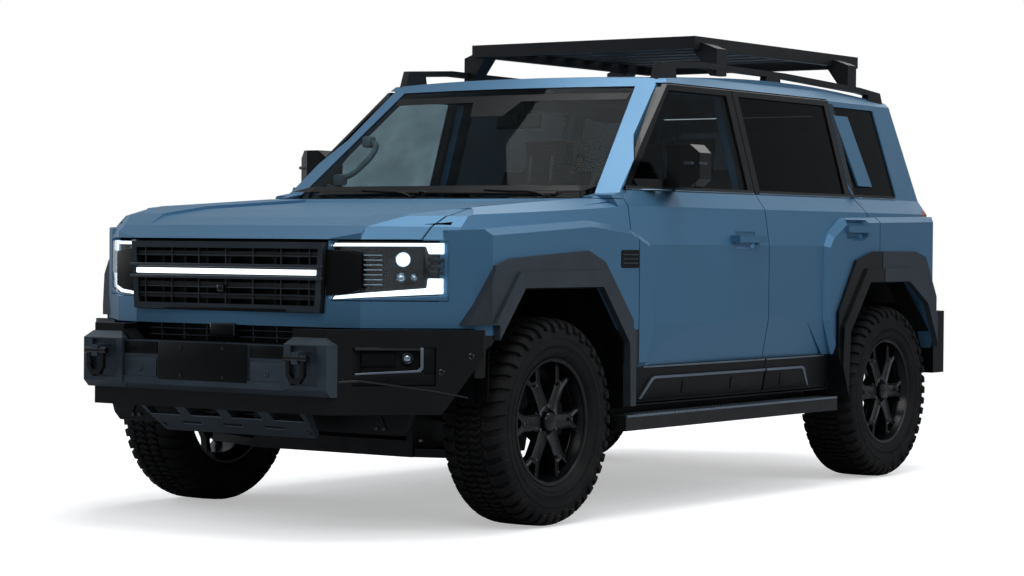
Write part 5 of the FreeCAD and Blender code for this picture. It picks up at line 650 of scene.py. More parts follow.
def dress_nodes():
    """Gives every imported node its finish, and rounds its edges."""
    for name, nodes in CAD_FINISHES.items():
        for node in nodes:
            mesh = NODES[node].data
            mesh.materials.clear()
            mesh.materials.append(FINISHES[name])
            mesh.shade_smooth()
            mesh.set_sharp_from_angle(angle=math.radians(20))
    for width, nodes in ROUNDED.items():
        for node in nodes:
            soft = NODES[node].modifiers.new("Rounded edges", "BEVEL")
            soft.width = width
            soft.segments = 2
            soft.limit_method = "ANGLE"
            soft.angle_limit = math.radians(24)
            soft.use_clamp_overlap = True
            soft.harden_normals = True


# ---------------------------------------------------------------- tyres and wheels

CARCASS = (  # distance across the tread from its middle, with the place and slope of the rubber there
    (0.000, 0.0000, 0.3885, 0.0), (0.050, 0.0500, 0.3880, 1.5), (0.090, 0.0895, 0.3860, 5.0),
    (0.110, 0.1085, 0.3810, 22.0), (0.128, 0.1225, 0.3700, 52.0), (0.148, 0.1290, 0.3510, 76.0),
    (0.170, 0.1310, 0.3290, 86.0),
)
TREAD_RADIUS = CARCASS[0][2]
SIDE_WALL = [  # radius and distance from the tyre's middle, from the shoulder to the bead
    (0.3265, 0.1312), (0.3255, 0.1332), (0.3215, 0.1334), (0.3205, 0.1316), (0.300, 0.1312),
    (0.2990, 0.1326), (0.2960, 0.1326), (0.2950, 0.1308), (0.280, 0.1285), (0.268, 0.1245),
    (0.2665, 0.1262), (0.260, 0.1225), (0.2480, 0.1130), (0.2462, 0.1080), (0.2458, 0.0980),
]
SHOULDER_LUG_START, SHORT_LUG_END, LONG_LUG_END = 0.062, 0.143, 0.156
# A middle block: distance across, and its lower and upper edge as shares of half the pitch.
ZIGZAG = ((0.004, -0.30, 0.10), (0.016, -0.30, 0.20), (0.024, -0.18, 0.34), (0.036, -0.08, 0.34),
          (0.050, -0.34, 0.10), (0.056, -0.34, 0.02))
WALL_NOTCHES = 132


def carcass_at(across):
    """The place, radius and slope of the rubber at a distance across the tread."""
    side = -1 if across < 0 else 1
    across = abs(across)
    for low, high in zip(CARCASS, CARCASS[1:]):
        if across <= high[0]:
            share = (across - low[0]) / (high[0] - low[0])
            out, radius, slope = (low[i] + (high[i] - low[i]) * share for i in (1, 2, 3))
            return side * out, radius, math.radians(slope) * side
    return side * CARCASS[-1][1], CARCASS[-1][2], math.radians(CARCASS[-1][3]) * side


def wrap_round(bm, radius):
    """Bends a flat tread block, along y round the tyre, across x and out along z, onto the carcass."""
    for vert in bm.verts:
        along, across, height = vert.co.y, vert.co.x, vert.co.z
        out, reach, slope = carcass_at(across)
        out += math.sin(slope) * height
        reach += math.cos(slope) * height
        angle = along / radius
        vert.co = Vector((reach * math.cos(angle), reach * math.sin(angle), out))


def lug(rows, height, width=0.0016):
    """A tread block from rows of (across, lower edge, upper edge), grown row by row from its first edge."""
    bm = bmesh.new()
    across, low, high = rows[0]
    edge = bm.edges.new((bm.verts.new((across, low, 0)), bm.verts.new((across, high, 0))))
    for across, low, high in rows[1:]:
        made = bmesh.ops.extrude_edge_only(bm, edges=[edge])
        ends = sorted((v for v in made["geom"] if isinstance(v, bmesh.types.BMVert)), key=lambda v: v.co.y)
        ends[0].co, ends[1].co = Vector((across, low, 0)), Vector((across, high, 0))
        edge = next(e for e in made["geom"] if isinstance(e, bmesh.types.BMEdge)
                    and e.verts[0] in ends and e.verts[1] in ends)
    made = bmesh.ops.extrude_face_region(bm, geom=bm.faces[:])
    top = [v for v in made["geom"] if isinstance(v, bmesh.types.BMVert)]
    middle = sum((v.co for v in top), Vector()) / len(top)
    for vert in top:
        vert.co.z = height
        vert.co.y += (middle.y - vert.co.y) * 0.07
    bmesh.ops.recalc_face_normals(bm, faces=bm.faces)
    rim = [e for e in bm.edges if e.verts[0] in top and e.verts[1] in top
           and any(v not in top for f in e.link_faces for v in f.verts)]
    bmesh.ops.bevel(bm, geom=rim, offset=width, offset_type="OFFSET", affect="EDGES", segments=1,
                    profile=0.5, material=-1, clamp_overlap=True)
    return bm


def tyre_shape(sizes):
    """One tyre about z: carcass, side walls and tread."""
    tyre = bmesh.new()
    tread = [(radius, out) for across, out, radius, slope in CARCASS]
    body = turned([(r, -z) for r, z in reversed(tread[1:] + SIDE_WALL)] + tread + SIDE_WALL, 96)
    mesh = bpy.data.meshes.new("carcass")
    body.to_mesh(mesh)
    tyre.from_mesh(mesh)
    body.free()
    pitch = 2 * math.pi / sizes.tread_pitches
    run = pitch * TREAD_RADIUS
    # Each block is the turn of the pitches that it stands on, or none where it stands on all, then its rows
    # and its share of the full height.
    blocks = []
    for side in (1, -1):
        lean = 0 if side > 0 else run * 0.5
        for turn_of in (1, 0):
            end = SHORT_LUG_END if turn_of else LONG_LUG_END
            rows = []
            for step in range(8):
                share = step / 7
                across = side * (SHOULDER_LUG_START + (end - SHOULDER_LUG_START) * share)
                sway = math.sin(share * 0.9 * math.pi * 2) * (run * 0.11)
                thick = run * (0.33 if share < 0.75 else 0.33 - (share - 0.75) * 0.35)
                rows.append((across, sway - thick + lean, sway + thick + lean))
            blocks.append((turn_of, rows, 1.0))
        for offset in (0.0, 0.5):
            rows = [(side * a, (low * 0.5 + offset) * run + lean, (high * 0.62 + offset) * run + lean)
                    for a, low, high in ZIGZAG]
            blocks.append((None, rows, 0.96))
    for turn_of, rows, share in blocks:
        unit = lug(rows, sizes.lug_height * share)
        wrap_round(unit, TREAD_RADIUS)
        unit.to_mesh(mesh)
        unit.free()
        for index in range(sizes.tread_pitches):
            if turn_of is None or index % 2 == turn_of:
                mesh.transform(Matrix.Rotation(pitch * index, 4, "Z"))
                tyre.from_mesh(mesh)
                mesh.transform(Matrix.Rotation(-pitch * index, 4, "Z"))
    notch = block((0.012, 0.0032, 0.0022), 0.0005, 1)
    notch.to_mesh(mesh)
    notch.free()
    for side in (1, -1):
        for index in range(WALL_NOTCHES):
            angle = 2 * math.pi * index / WALL_NOTCHES
            spot = Matrix.Rotation(angle, 4, "Z") @ at(0.2895, 0, side * 0.1308)
            mesh.transform(spot)
            tyre.from_mesh(mesh)
            mesh.transform(spot.inverted())
    bpy.data.meshes.remove(mesh)
    return tyre


def facing(side):
    """Turns a shape made about z so that its top faces outwards on that side."""
    return turn(90 * side, "Y")


def make_tyres(sizes):
    """The four tyres, each a few degrees on from the next, and the spare."""
    shape = tyre_shape(sizes)
    for key, (x, y, side) in WHEELS.items():
        tyre = Builder("all_terrain_tyre_" + key, ["Rubber"], "wheel_" + key, "tyre")
        tyre.add(shape, at(x, y, WHEEL_Z) @ facing(side) @ turn(11 if side > 0 else 3, "Z"), keep=True)
        tyre.done("tyre_" + key)
    low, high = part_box("spare_tyre")
    middle = (low + high) / 2
    spare = Builder("all_terrain_spare", ["Rubber"], "tailgate", "tyre")
    spare.add(shape, at(middle.x, middle.y + MIDDLE, middle.z) @ turn(-90, "X"))
    spare.done("spare_tyre")


SPOKES = 6
BARREL = [  # radius and height of the rim's section, out and back
    (0.2446, 0.1138), (0.2452, 0.108), (0.236, 0.100), (0.228, 0.080), (0.213, 0.060), (0.213, -0.06),
    (0.228, -0.08), (0.236, -0.1), (0.2452, -0.108), (0.2446, -0.1138), (0.236, -0.1138), (0.230, -0.106),
    (0.220, -0.086), (0.205, -0.064), (0.205, 0.03), (0.2205, 0.084), (0.2275, 0.100), (0.2305, 0.1105),
    (0.2345, 0.1138),
]
HUB = [
    (0, 0.030), (0.079, 0.030), (0.080, 0.062), (0.076, 0.080), (0.070, 0.0835), (0.046, 0.0835),
    (0.043, 0.079), (0.0385, 0.079), (0.037, 0.101), (0.033, 0.106), (0.020, 0.1085), (0, 0.109),
]


def spun(bm, degrees):
    """Turns a shape about the wheel's axis."""
    bmesh.ops.rotate(bm, cent=(0, 0, 0), matrix=Matrix.Rotation(math.radians(degrees), 3, "Z"),
                     verts=bm.verts)
    return bm


def wheel_shape(sizes):
    """One wheel about z, as (shape, finish) pairs."""
    black, bright = "Wheel black", "Slat grey"
    parts = [(turned(BARREL, 96, closed=True), black)]
    w = sizes.spoke_width
    outline = [(0.050, -w - 0.004), (0.100, -w), (0.160, -w), (0.2225, -0.060), (0.2275, -0.038),
               (0.178, -0.012), (0.178, 0.012), (0.2275, 0.038), (0.2225, 0.060), (0.160, w), (0.100, w),
               (0.050, w + 0.004)]
    spoke = plate(outline, 0.034, 0.0)
    top = [f for f in spoke.faces if f.normal.z > 0.9]
    bmesh.ops.inset_region(spoke, faces=top, thickness=0.0075, depth=0.0, use_even_offset=True)
    bmesh.ops.translate(spoke, vec=(0, 0, -0.008), verts=list({v for f in top for v in f.verts}))
    fold_edges(spoke, 0.0014, 1, 40)
    for vert in spoke.verts:  # the spoke rises and then falls towards the rim
        vert.co.z += 0.058 + (vert.co.x - 0.05) * 0.045 - (vert.co.x - 0.05) ** 2 * 0.4
    for index in range(SPOKES):
        angle = 360 // SPOKES * index
        parts.append((spun(spoke.copy(), angle + 30), black))
        parts.append((spun(moved(rod(0.0065, 0.008, 12, 0.0012), 0.163, 0, 0.092), angle + 30), bright))
        parts.append((spun(moved(rod(0.0105, 0.024, 6, 0.0016, 0.0088), 0.0595, 0, 0.083), angle), bright))
    spoke.free()
    parts.append((turned(HUB, 60), black))
    valve = rod(0.004, 0.03, 10, 0.0008)
    bmesh.ops.transform(valve, matrix=turn(18, "Z") @ at(0.214, 0, 0.088) @ turn(-35, "Y"),
                        verts=valve.verts)
    parts.append((valve, bright))
    return parts


def make_wheels(sizes):
    """The four wheels."""
    parts = wheel_shape(sizes)
    for key, (x, y, side) in WHEELS.items():
        wheel = Builder("six_spoke_wheel_" + key, ["Wheel black", "Slat grey"], "wheel_" + key,
                        "black_gloss")
        for part, finish_name in parts:
            wheel.add(part, at(x, y, WHEEL_Z) @ facing(side), finish_name, keep=True)
        wheel.done("rim_" + key)
    for part, finish_name in parts:
        part.free()


# ---------------------------------------------------------------- lamps, grille and bumper

def make_headlamps():
    """Both headlamps with their bowls, covers and light strips, and the light bar between them."""
    lamp = Builder("headlamps_and_light_bar", ["Lamp cover", "Lamp bowl", "Lamp chrome", "White light",
                                               "Blue grey paint", "Charcoal plastic", "Gloss black"],
                   "body", "lamp")
    outline = oblong(0.482, 0.838, 0.869, 1.085)
    lamp.lay(NOSE_PLAN, outline, -0.064, 0.004, "Lamp bowl")
    lamp.lay(NOSE_PLAN, outline, -0.062, 0.060, "Lamp bowl", rim=0.006)
    lamp.lay(NOSE_PLAN, oblong(0.489, 0.831, 0.876, 1.079), -0.0045, 0.003, "Lamp cover")
    lamp.lay(NOSE_PLAN, [(0.483, 0.869), (0.838, 0.869), (0.838, 0.889)], -0.006, 0.005, "Blue grey paint",
             0.001)
    lamp.lay(NOSE_PLAN, [(0.489, 1.066), (0.778, 1.068), (0.786, 1.040), (0.828, 1.040), (0.828, 1.080),
                         (0.498, 1.078)], -0.020, 0.010, "White light", 0.002)
    lamp.lay(NOSE_PLAN, [(0.489, 0.872), (0.498, 0.884), (0.780, 0.914), (0.784, 0.950), (0.826, 0.950),
                         (0.826, 0.894)], -0.020, 0.010, "White light", 0.002)
    for low, high in ((1.013, 1.024), (0.989, 1.000), (0.965, 0.976)):
        lamp.lay(NOSE_PLAN, oblong(0.788, 0.826, low, high), -0.026, 0.014, "Charcoal plastic", 0.0015)
    lamp.lay(NOSE_PLAN, oblong(0.776, 0.784, 0.955, 1.036), -0.050, 0.038, "Lamp bowl", 0.001)
    # The chambers round both lenses, with thin louvres towards the grille.
    lamp.lay(NOSE_PLAN, [(0.604, 0.905), (0.774, 0.921), (0.774, 1.060), (0.604, 1.058)], -0.052, 0.034,
             "Lamp bowl", 0.001, 0.004)
    lamp.lay(NOSE_PLAN, oblong(0.664, 0.770, 0.984, 1.056), -0.050, 0.026, "Lamp chrome", 0.003, 0.006)
    lamp.lay(NOSE_PLAN, [(0.680, 0.928), (0.764, 0.932), (0.764, 0.974), (0.680, 0.974)], -0.050, 0.020,
             "Gloss black", 0.003, 0.005)
    for index in range(7):
        level = 0.925 + index * 0.018
        lamp.lay(NOSE_PLAN, oblong(0.610, 0.660, level, level + 0.003), -0.050, 0.024, "Lamp chrome")
    for x, z, reach in ((0.717, 1.019, 0.026), (0.712, 0.952, 0.014), (0.748, 0.952, 0.010)):
        seat = on_wall(NOSE_PLAN, x, z, -0.052)
        lens = [(reach + 0.004, 0.0), (reach + 0.004, 0.016), (reach + 0.001, 0.019),
                (reach - 0.002, 0.015)]
        lamp.add(turned([(r, h) for r, h in lens] + [(0.0, 0.006)], 40), seat, "Lamp chrome", both=True)
        dome = [(reach - 0.001, 0.014)]
        for degrees in (20, 40, 60, 80):
            angle = math.radians(degrees)
            dome.append((reach * math.cos(angle) * 0.95, 0.014 + reach * 0.55 * math.sin(angle)))
        lamp.add(turned(dome + [(0.0, 0.014 + reach * 0.55)], 40), seat,
                 "White light" if reach > 0.02 else "Lamp chrome", both=True)
    lamp.add(block((0.880, 0.020, 0.020), 0.003), at(0, -0.838, 0.968), "White light")
    lamp.done("headlamps")


def make_nose():
    """The grille's rails, brackets and thin slats, the camera pod and the lower intake, with deep black
    sheets behind the grille and the intake as painted shade.
    """
    nose = Builder("grille_and_intake_trim", ["Charcoal plastic", "Deep black", "Slat grey", "Gloss black",
                                              "Screen face"], "body", "black_plastic")
    # A deep black sheet behind the grille, as painted shade in its depths.
    nose.add(block((0.94, 0.004, 0.27)), at(0, -0.771, 0.950), "Deep black")
    for z, high in ((0.991, 0.013), (0.946, 0.013)):
        nose.add(block((0.948, 0.012, high), 0.003), at(0, -0.842, z), "Charcoal plastic")
    for z in (0.8815, 0.9075, 1.0285):
        nose.add(block((0.905, 0.006, 0.0035), 0.001, 1), at(0, -0.8305, z), "Slat grey")
    for index in range(-3, 4):
        for z, high in ((1.026, 0.070), (0.893, 0.096)):
            nose.add(block((0.0035, 0.006, high)), at(0.135 * index, -0.8295, z), "Slat grey")
    nose.add(block((0.60, 0.003, 0.009), 0.001), at(0, -0.8385, 0.8275), "Deep black")
    nose.add(block((0.034, 0.026, 0.028), 0.006), at(-0.012, -0.838, 0.905), "Gloss black")
    nose.add(rod(0.009, 0.006, 24, 0.001), at(-0.012, -0.852, 0.905) @ turn(90, "X"), "Screen face")

    # The pocketed brackets that run from the grille into the headlamps.
    nose.lay(NOSE_PLAN, [(0.470, 0.884), (0.560, 0.892), (0.602, 0.908), (0.602, 1.036), (0.560, 1.048),
                         (0.470, 1.054)], 0.000, 0.006, "Deep black", 0.002)
    nose.lay(NOSE_PLAN, [(0.470, 0.884), (0.560, 0.892), (0.602, 0.908), (0.602, 1.036), (0.560, 1.048),
                         (0.470, 1.054)], 0.006, 0.014, "Charcoal plastic", 0.003, 0.009)
    nose.lay(NOSE_PLAN, [(0.468, 0.940), (0.580, 0.940), (0.588, 0.948), (0.588, 0.990), (0.580, 0.997),
                         (0.468, 0.997)], 0.006, 0.020, "Charcoal plastic", 0.003, 0.008)
    nose.lay(NOSE_PLAN, oblong(0.500, 0.578, 0.952, 0.986), 0.006, 0.010, "Slat grey", 0.002, 0.004)

    # The lower intake, with a deep black sheet behind it as painted shade, thin slats and the sensor's cover
    # in its middle.
    nose.add(block((0.84, 0.004, 0.09)), at(0, -0.772, 0.742), "Deep black")
    for z in (0.722, 0.747):
        nose.add(block((0.80, 0.018, 0.0035), 0.001, 1), at(0, -0.800, z), "Slat grey")
    for index in range(-3, 4):
        nose.add(block((0.0035, 0.014, 0.066)), at(0.115 * index, -0.798, 0.740), "Slat grey")
    nose.add(surround([(-0.404, 0.703), (0.404, 0.703), (0.418, 0.742), (0.408, 0.780), (-0.408, 0.780),
                       (-0.418, 0.742)], 0.008, 0.020, 0.002), at(0, -0.812, 0) @ turn(90, "X"),
             "Gloss black")
    nose.add(block((0.124, 0.034, 0.060), 0.005), at(-0.010, -0.822, 0.744), "Gloss black")
    nose.add(block((0.112, 0.002, 0.048), 0.0008), at(-0.010, -0.8395, 0.744), "Deep black")
    nose.done()


def make_bumper():
    """The front bumper's plate board, trims, sensors, fog lamps and the edges of its shield, with painted
    highlights along the edges of the fog lamps' recesses and of the shield's windows.
    """
    bumper = Builder("front_bumper_trim", ["Deep black", "Satin charcoal", "Slat grey", "Lamp chrome",
                                           "Lamp bowl", "Gloss black", "Painted edge highlight"], "body", "charcoal")
    bumper.add(block((0.438, 0.004, 0.142), 0.004), at(0, -0.962, 0.631), "Deep black")
    for x in (-0.104, 0.104):
        for z in (0.578, 0.684):
            bumper.add(rod(0.0060, 0.003, 16, 0.001), at(x, -0.965, z) @ turn(90, "X"), "Gloss black")
            bumper.add(rod(0.0028, 0.002, 6), at(x, -0.9668, z) @ turn(90, "X"), "Deep black")
    bumper.add(block((0.160, 0.006, 0.082), 0.004), at(0.312, -0.9565, 0.599), "Satin charcoal", both=True)
    bumper.add(block((0.168, 0.004, 0.046), 0.003), at(0.312, -0.9555, 0.677), "Deep black", both=True)
    bumper.add(turned([(0.011, 0), (0.011, 0.003), (0.009, 0.0045), (0.0075, 0.003), (0.0, 0.003)], 28),
               at(0.312, -0.9592, 0.598) @ turn(90, "X"), "Slat grey", both=True)
    bumper.add(rod(0.004, 0.004, 12, 0.0008), at(0.345, -0.958, 0.676) @ turn(90, "X"), "Deep black",
               both=True)

    bumper.lay(BUMPER_PLAN, [(0.634, 0.562), (0.844, 0.562), (0.844, 0.612), (0.806, 0.612),
                             (0.634, 0.600)], -0.038, 0.035, "Deep black", 0.003)
    bumper.lay(BUMPER_PLAN, oblong(0.812, 0.844, 0.600, 0.699), -0.038, 0.035, "Deep black", 0.003)
    # A painted highlight along the lower and outer edges of each fog lamp's recess.
    bumper.lay(BUMPER_PLAN, [(0.640, 0.600), (0.806, 0.610), (0.814, 0.622), (0.814, 0.700), (0.806, 0.700),
                             (0.806, 0.628), (0.798, 0.618), (0.640, 0.607)], -0.005, 0.006, "Painted edge highlight",
               0.0015)
    bumper.lay(BUMPER_PLAN, oblong(0.640, 0.806, 0.690, 0.699), -0.005, 0.004, "Gloss black", 0.001)
    bumper.lay(BUMPER_PLAN, [(0.660, 0.628), (0.745, 0.630), (0.745, 0.684), (0.660, 0.684)], -0.040, 0.008,
               "Deep black", 0.002)
    seat = on_wall(BUMPER_PLAN, 0.776, 0.660, -0.042)
    bumper.add(turned([(0.024, 0), (0.024, 0.014), (0.021, 0.017), (0.018, 0.012), (0.0, 0.006)], 36), seat,
               "Lamp bowl", both=True)
    bumper.add(turned([(0.0175, 0.011), (0.014, 0.015), (0.008, 0.018), (0.0, 0.019)], 36), seat,
               "Lamp chrome", both=True)
    for x, z in ((0.860, 0.610), (0.937, 0.668)):
        bumper.add(turned([(0.011, 0), (0.011, 0.0025), (0.009, 0.0035), (0.0075, 0.0022), (0.0, 0.0022)],
                          28), on_wall(BUMPER_PLAN, x, z, -0.001), "Gloss black", both=True)
    # A crease runs outwards from the towers under the fog lamps.
    bumper.lay(BUMPER_PLAN, [(0.600, 0.578), (0.655, 0.583), (0.846, 0.544), (0.930, 0.520), (0.930, 0.514),
                             (0.845, 0.537), (0.655, 0.575), (0.600, 0.570)], -0.003, 0.005, "Gloss black",
               0.0015)

    # The shield slopes back from its upper edge, and its windows have a painted highlight on their lower
    # lip.
    front, top, depth, height = -0.962, 0.540, 0.220, 0.190
    slope = math.degrees(math.atan2(height, depth))

    def shield(x, z, size, kind):
        place = at(x, front + depth * ((top - z) / height), z) @ turn(-slope, "X")
        bumper.add(block(size, 0.0012, 1), place, kind)

    for index in range(4):
        middle = (index - 1.5) * 0.204
        shield(middle, 0.4165, (0.150, 0.004, 0.004), "Painted edge highlight")
        shield(middle, 0.4995, (0.156, 0.005, 0.004), "Gloss black")
    for index in range(3):
        shield((index - 1) * 0.204, 0.3875, (0.092, 0.010, 0.003), "Deep black")
        shield((index - 1) * 0.204, 0.3815, (0.092, 0.0025, 0.004), "Painted edge highlight")
    for x in (-0.36, 0.36):
        shield(x, 0.372, (0.018, 0.018, 0.008), "Gloss black")
    for side in (1, -1):
        for index in range(5):
            bumper.add(block((0.10, 0.004, 0.004)), at(side * 0.102, -0.775, 0.430 + index * 0.016),
                       "Slat grey")
    bumper.done()


# ---------------------------------------------------------------- glass, sides and roof

def half_width(node, level, band=0.012):
    """The reach of a node to the side, near a level."""
    return max(abs(v.co.x) for v in NODES[node].data.vertices if abs(v.co.z - level) < band)


def make_screen_trim():
    """The windscreen's dark border and sensor housing, the wipers and the cabin mirror."""
    trim = Builder("windscreen_border_and_wipers", ["Deep black", "Cabin plastic", "Screen face",
                                                    "Smooth rubber"], "body", "black_gloss")
    glass = ("windscreen",)
    low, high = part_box("windscreen")
    wide, narrow = half_width("windscreen", low.z), half_width("windscreen", high.z)
    corners = [(-wide, low.z), (wide, low.z), (narrow, high.z), (-narrow, high.z)]
    trim.add(drape(surround(corners, 0.034, 0.0008), glass, "front", 0.0005))
    trim.add(drape(plate(oblong(-narrow, narrow, high.z - 0.060, high.z - 0.030), 0.0006), glass, "front",
                   0.0004))
    trim.add(drape(plate([(-wide * 0.99, low.z + 0.03), (wide * 0.99, low.z + 0.03),
                          (wide * 0.975, low.z + 0.052), (-wide * 0.975, low.z + 0.052)], 0.0006), glass,
                   "front", 0.0004))
    trim.add(drape(plate([(-0.130, high.z - 0.055), (-0.085, high.z - 0.125), (0.085, high.z - 0.125),
                          (0.130, high.z - 0.055)], 0.0006), glass, "front", 0.0004))
    trim.add(block((0.12, 0.07, 0.05), 0.012), at(0, 1.085, 1.665), "Cabin plastic")
    trim.add(block((0.235, 0.022, 0.066), 0.010, 3), at(0, 1.100, 1.610) @ turn(-12, "X"), "Cabin plastic")
    trim.add(block((0.222, 0.002, 0.054), 0.0008), at(0, 1.1115, 1.612) @ turn(-12, "X"), "Screen face")
    trim.add(rod(0.008, 0.07, 14, 0.001), at(0, 1.095, 1.645), "Cabin plastic")
    for inner, outer, pivot in (((-0.020, 1.292), (0.600, 1.288), 0.600),
                                ((-0.640, 1.288), (-0.050, 1.292), -0.080)):
        line = [(inner[0], inner[1] - 0.005), (outer[0], outer[1] - 0.005), (outer[0], outer[1] + 0.005),
                (inner[0], inner[1] + 0.005)]
        trim.add(drape(plate(line, 0.012, 0.002), glass, "front", 0.001), finish="Deep black")
        line = [(a, b - 0.0045) for a, b in line[:2]] + [(a, b - 0.008) for a, b in line[2:]]
        trim.add(drape(plate(line, 0.004), glass, "front", 0.001), finish="Smooth rubber")
        middle = (inner[0] + outer[0]) / 2
        trim.add(pipe([(pivot, 0.440, 1.262), (pivot - 0.03, 0.432, 1.280), (middle + 0.12, 0.430, 1.293),
                       (middle, 0.436, 1.298)], 0.006), finish="Deep black")
        trim.add(rod(0.014, 0.022, 20, 0.003), at(pivot, 0.440, 1.268), "Deep black")
    trim.done()
    cowl = Builder("cowl_grooves", ["Deep black", "Black plastic"], "body", "black_plastic")
    for index in range(27):
        cowl.add(block((0.030, 0.050, 0.003), 0.001, 1), at((index - 13) * 0.050, 0.450, 1.264),
                 "Deep black")
    cowl.add(block((1.30, 0.004, 0.004), 0.001), at(0, 0.481, 1.2645), "Black plastic")
    cowl.done()


def make_side_dress():
    """Belt strips, the raised ridge of the cladding, painted highlights along the cladding's ledge and the
    ridge's crest, mirrors, vents and steps.
    """
    for side, near in ((1, "l"), (-1, "r")):
        def lay(builder, part, nodes, kind, stand=0.0):
            part = drape(part, nodes, "left", stand)
            builder.add(mirrored(part) if side < 0 else part, finish=kind)

        def put(builder, part, place, kind):
            bmesh.ops.transform(part, matrix=place, verts=part.verts)
            builder.add(mirrored(part) if side < 0 else part, finish=kind)

        def bar(y0, y1, z0, z1, thick, width=0.0):
            return plate(oblong(y0, y1, z0, z1), thick, width)

        for row, y0, y1 in (("f", 0.578, 1.648), ("r", 1.663, 2.664)):
            key = row + near
            door = Builder("door_strips_" + key, ["Bright strip", "Painted edge highlight", "Black plastic",
                                                  "Smooth rubber", "Deep black"], "side_door_" + key,
                           "black_plastic")
            trim = ("door_trim_" + row + "l",)
            belt = trim + ("door_" + row + "l",)
            lay(door, bar(y0 + 0.03, y1 - 0.002, 1.302, 1.307, 0.002, 0.0006), belt, "Bright strip")
            lay(door, bar(y0 + 0.03, y1 - 0.002, 1.308, 1.318, 0.0015), belt, "Smooth rubber")
            last = y1 if row == "f" else 2.200
            # A painted highlight along the top edge of the cladding.
            lay(door, bar(y0, last, 0.583, 0.590, 0.003, 0.001), trim, "Painted edge highlight")
            if row == "f":
                ridge = [(0.665, 0.452), (y1, 0.452), (y1, 0.545), (0.760, 0.545), (0.735, 0.536)]
                marks = (0.980, 1.370)
                crest_highlight = [(0.665, 0.456), (0.735, 0.538), (0.760, 0.547), (y1, 0.547), (y1, 0.536),
                         (0.765, 0.536), (0.745, 0.528), (0.680, 0.456)]
            else:
                ridge = [(y0, 0.452), (2.070, 0.452), (2.010, 0.536), (1.985, 0.545), (y0, 0.545)]
                marks = (1.800,)
                crest_highlight = [(y0, 0.536), (1.982, 0.536), (2.000, 0.528), (2.058, 0.456), (2.075, 0.456),
                         (2.014, 0.538), (1.988, 0.547), (y0, 0.547)]
            lay(door, plate(ridge, 0.008, 0.003), trim, "Black plastic")
            # A painted highlight along the ridge's upper edge and its slanted end.
            lay(door, plate(crest_highlight, 0.0115, 0.002), trim, "Painted edge highlight")
            for middle in marks:
                lay(door, bar(middle - 0.006, middle + 0.006, 0.468, 0.522, 0.011, 0.003), trim,
                    "Deep black")
            door.done()
        mirror = Builder("mirror_glass_f" + near, ["Lamp chrome", "Slat grey", "Amber lamp", "Deep black",
                                                   "Black plastic"], "side_door_f" + near, "black_gloss")
        pane = [(0.897, 1.331), (0.897, 1.445), (0.922, 1.474), (1.004, 1.474), (1.029, 1.448),
                (1.029, 1.352), (1.008, 1.331)]
        put(mirror, plate(pane, 0.003, 0.001), at(0, 0.9575, 0) @ turn(90, "X"), "Lamp chrome")
        put(mirror, surround(pane, 0.004, 0.006, 0.001), at(0, 0.9625, 0) @ turn(90, "X"), "Deep black")
        lens = plate([(0.950, 1.405), (1.028, 1.405), (1.030, 1.412), (1.028, 1.419), (0.950, 1.419)],
                     0.020, 0.001)
        put(mirror, lens, at(0, 0.868, 0) @ turn(90, "X"), "Slat grey")
        lens = block((0.004, 0.060, 0.013), 0.001)
        put(mirror, lens, at(1.0445, 0.912, 1.412), "Slat grey")
        put(mirror, block((0.168, 0.004, 0.003)), at(0.962, 0.905, 1.3145), "Deep black")
        mirror.done()

        dress = Builder("side_dress_" + near, ["Deep black", "Gloss black", "Slat grey", "Painted edge highlight",
                                               "Bright strip", "Smooth rubber"], "body", "black_plastic")
        tree = BVHTree.FromObject(NODES["front_panels"], bpy.context.evaluated_depsgraph_get())
        skin_x = max(tree.ray_cast(Vector((2.0, y - MIDDLE, 1.023)),
                                   Vector((-1, 0, 0)))[0].x for y in (0.436, 0.500))
        face = Matrix.Translation((skin_x, 0, 0)) @ Matrix(((0, 0, 1, 0), (1, 0, 0, 0), (0, 1, 0, 0),
                                                            (0, 0, 0, 1)))
        vent = [(0.433, 0.994), (0.440, 0.987), (0.561, 0.987), (0.568, 0.994), (0.568, 1.052),
                (0.561, 1.059), (0.440, 1.059), (0.433, 1.052)]
        put(dress, lift(plate(vent, 0.004), -0.003), face, "Deep black")
        put(dress, lift(surround(vent, 0.006, 0.008, 0.0015), -0.003), face, "Gloss black")
        for level in (1.006, 1.023, 1.040):
            put(dress, bar(0.446, 0.555, level - 0.002, level + 0.002, 0.004, 0.001), face, "Slat grey")
        lay(dress, bar(2.672, 3.085, 1.302, 1.307, 0.002, 0.0006), ("body_sides",), "Bright strip")
        lay(dress, bar(2.672, 3.085, 1.308, 1.318, 0.0015), ("body_sides",), "Smooth rubber")
        # Gloss black covers the pillar between the rear door and the quarter window.
        pillar = [(2.584, 1.319), (2.622, 1.319), (2.622, 1.596), (2.597, 1.686), (2.597, 1.692),
                  (2.622, 1.692), (2.622, 1.742), (2.584, 1.742)]
        lay(dress, plate(pillar, 0.0012), ("body_sides",), "Gloss black", 0.0002)
        if side > 0:
            flap = [(2.780, 1.090), (2.790, 1.080), (2.990, 1.080), (3.000, 1.090), (3.000, 1.205),
                    (2.990, 1.215), (2.790, 1.215), (2.780, 1.205)]
            lay(dress, surround(flap, 0.0035, 0.0006), ("body_sides",), "Deep black")
        # The step: a rounded edge in pale grey as painted highlight, ribs and three rows of studs.
        put(dress, pipe([(0.979, 0.445, 0.399), (0.979, 2.210, 0.399)], 0.0055, 3, False), at(0, 0, 0),
            "Painted edge highlight")
        stud = block((0.011, 0.016, 0.003), 0.001, 1)
        for index in range(64):
            for row in range(3):
                put(dress, stud.copy(), at(0.902 + row * 0.022, 0.560 + index * 0.0245 + (row % 2) * 0.012,
                                           0.4025), "Slat grey")
        stud.free()
        for y in (0.505, 2.150):
            put(dress, block((0.080, 0.006, 0.004), 0.001), at(0.927, y, 0.402), "Slat grey")
        dress.done()


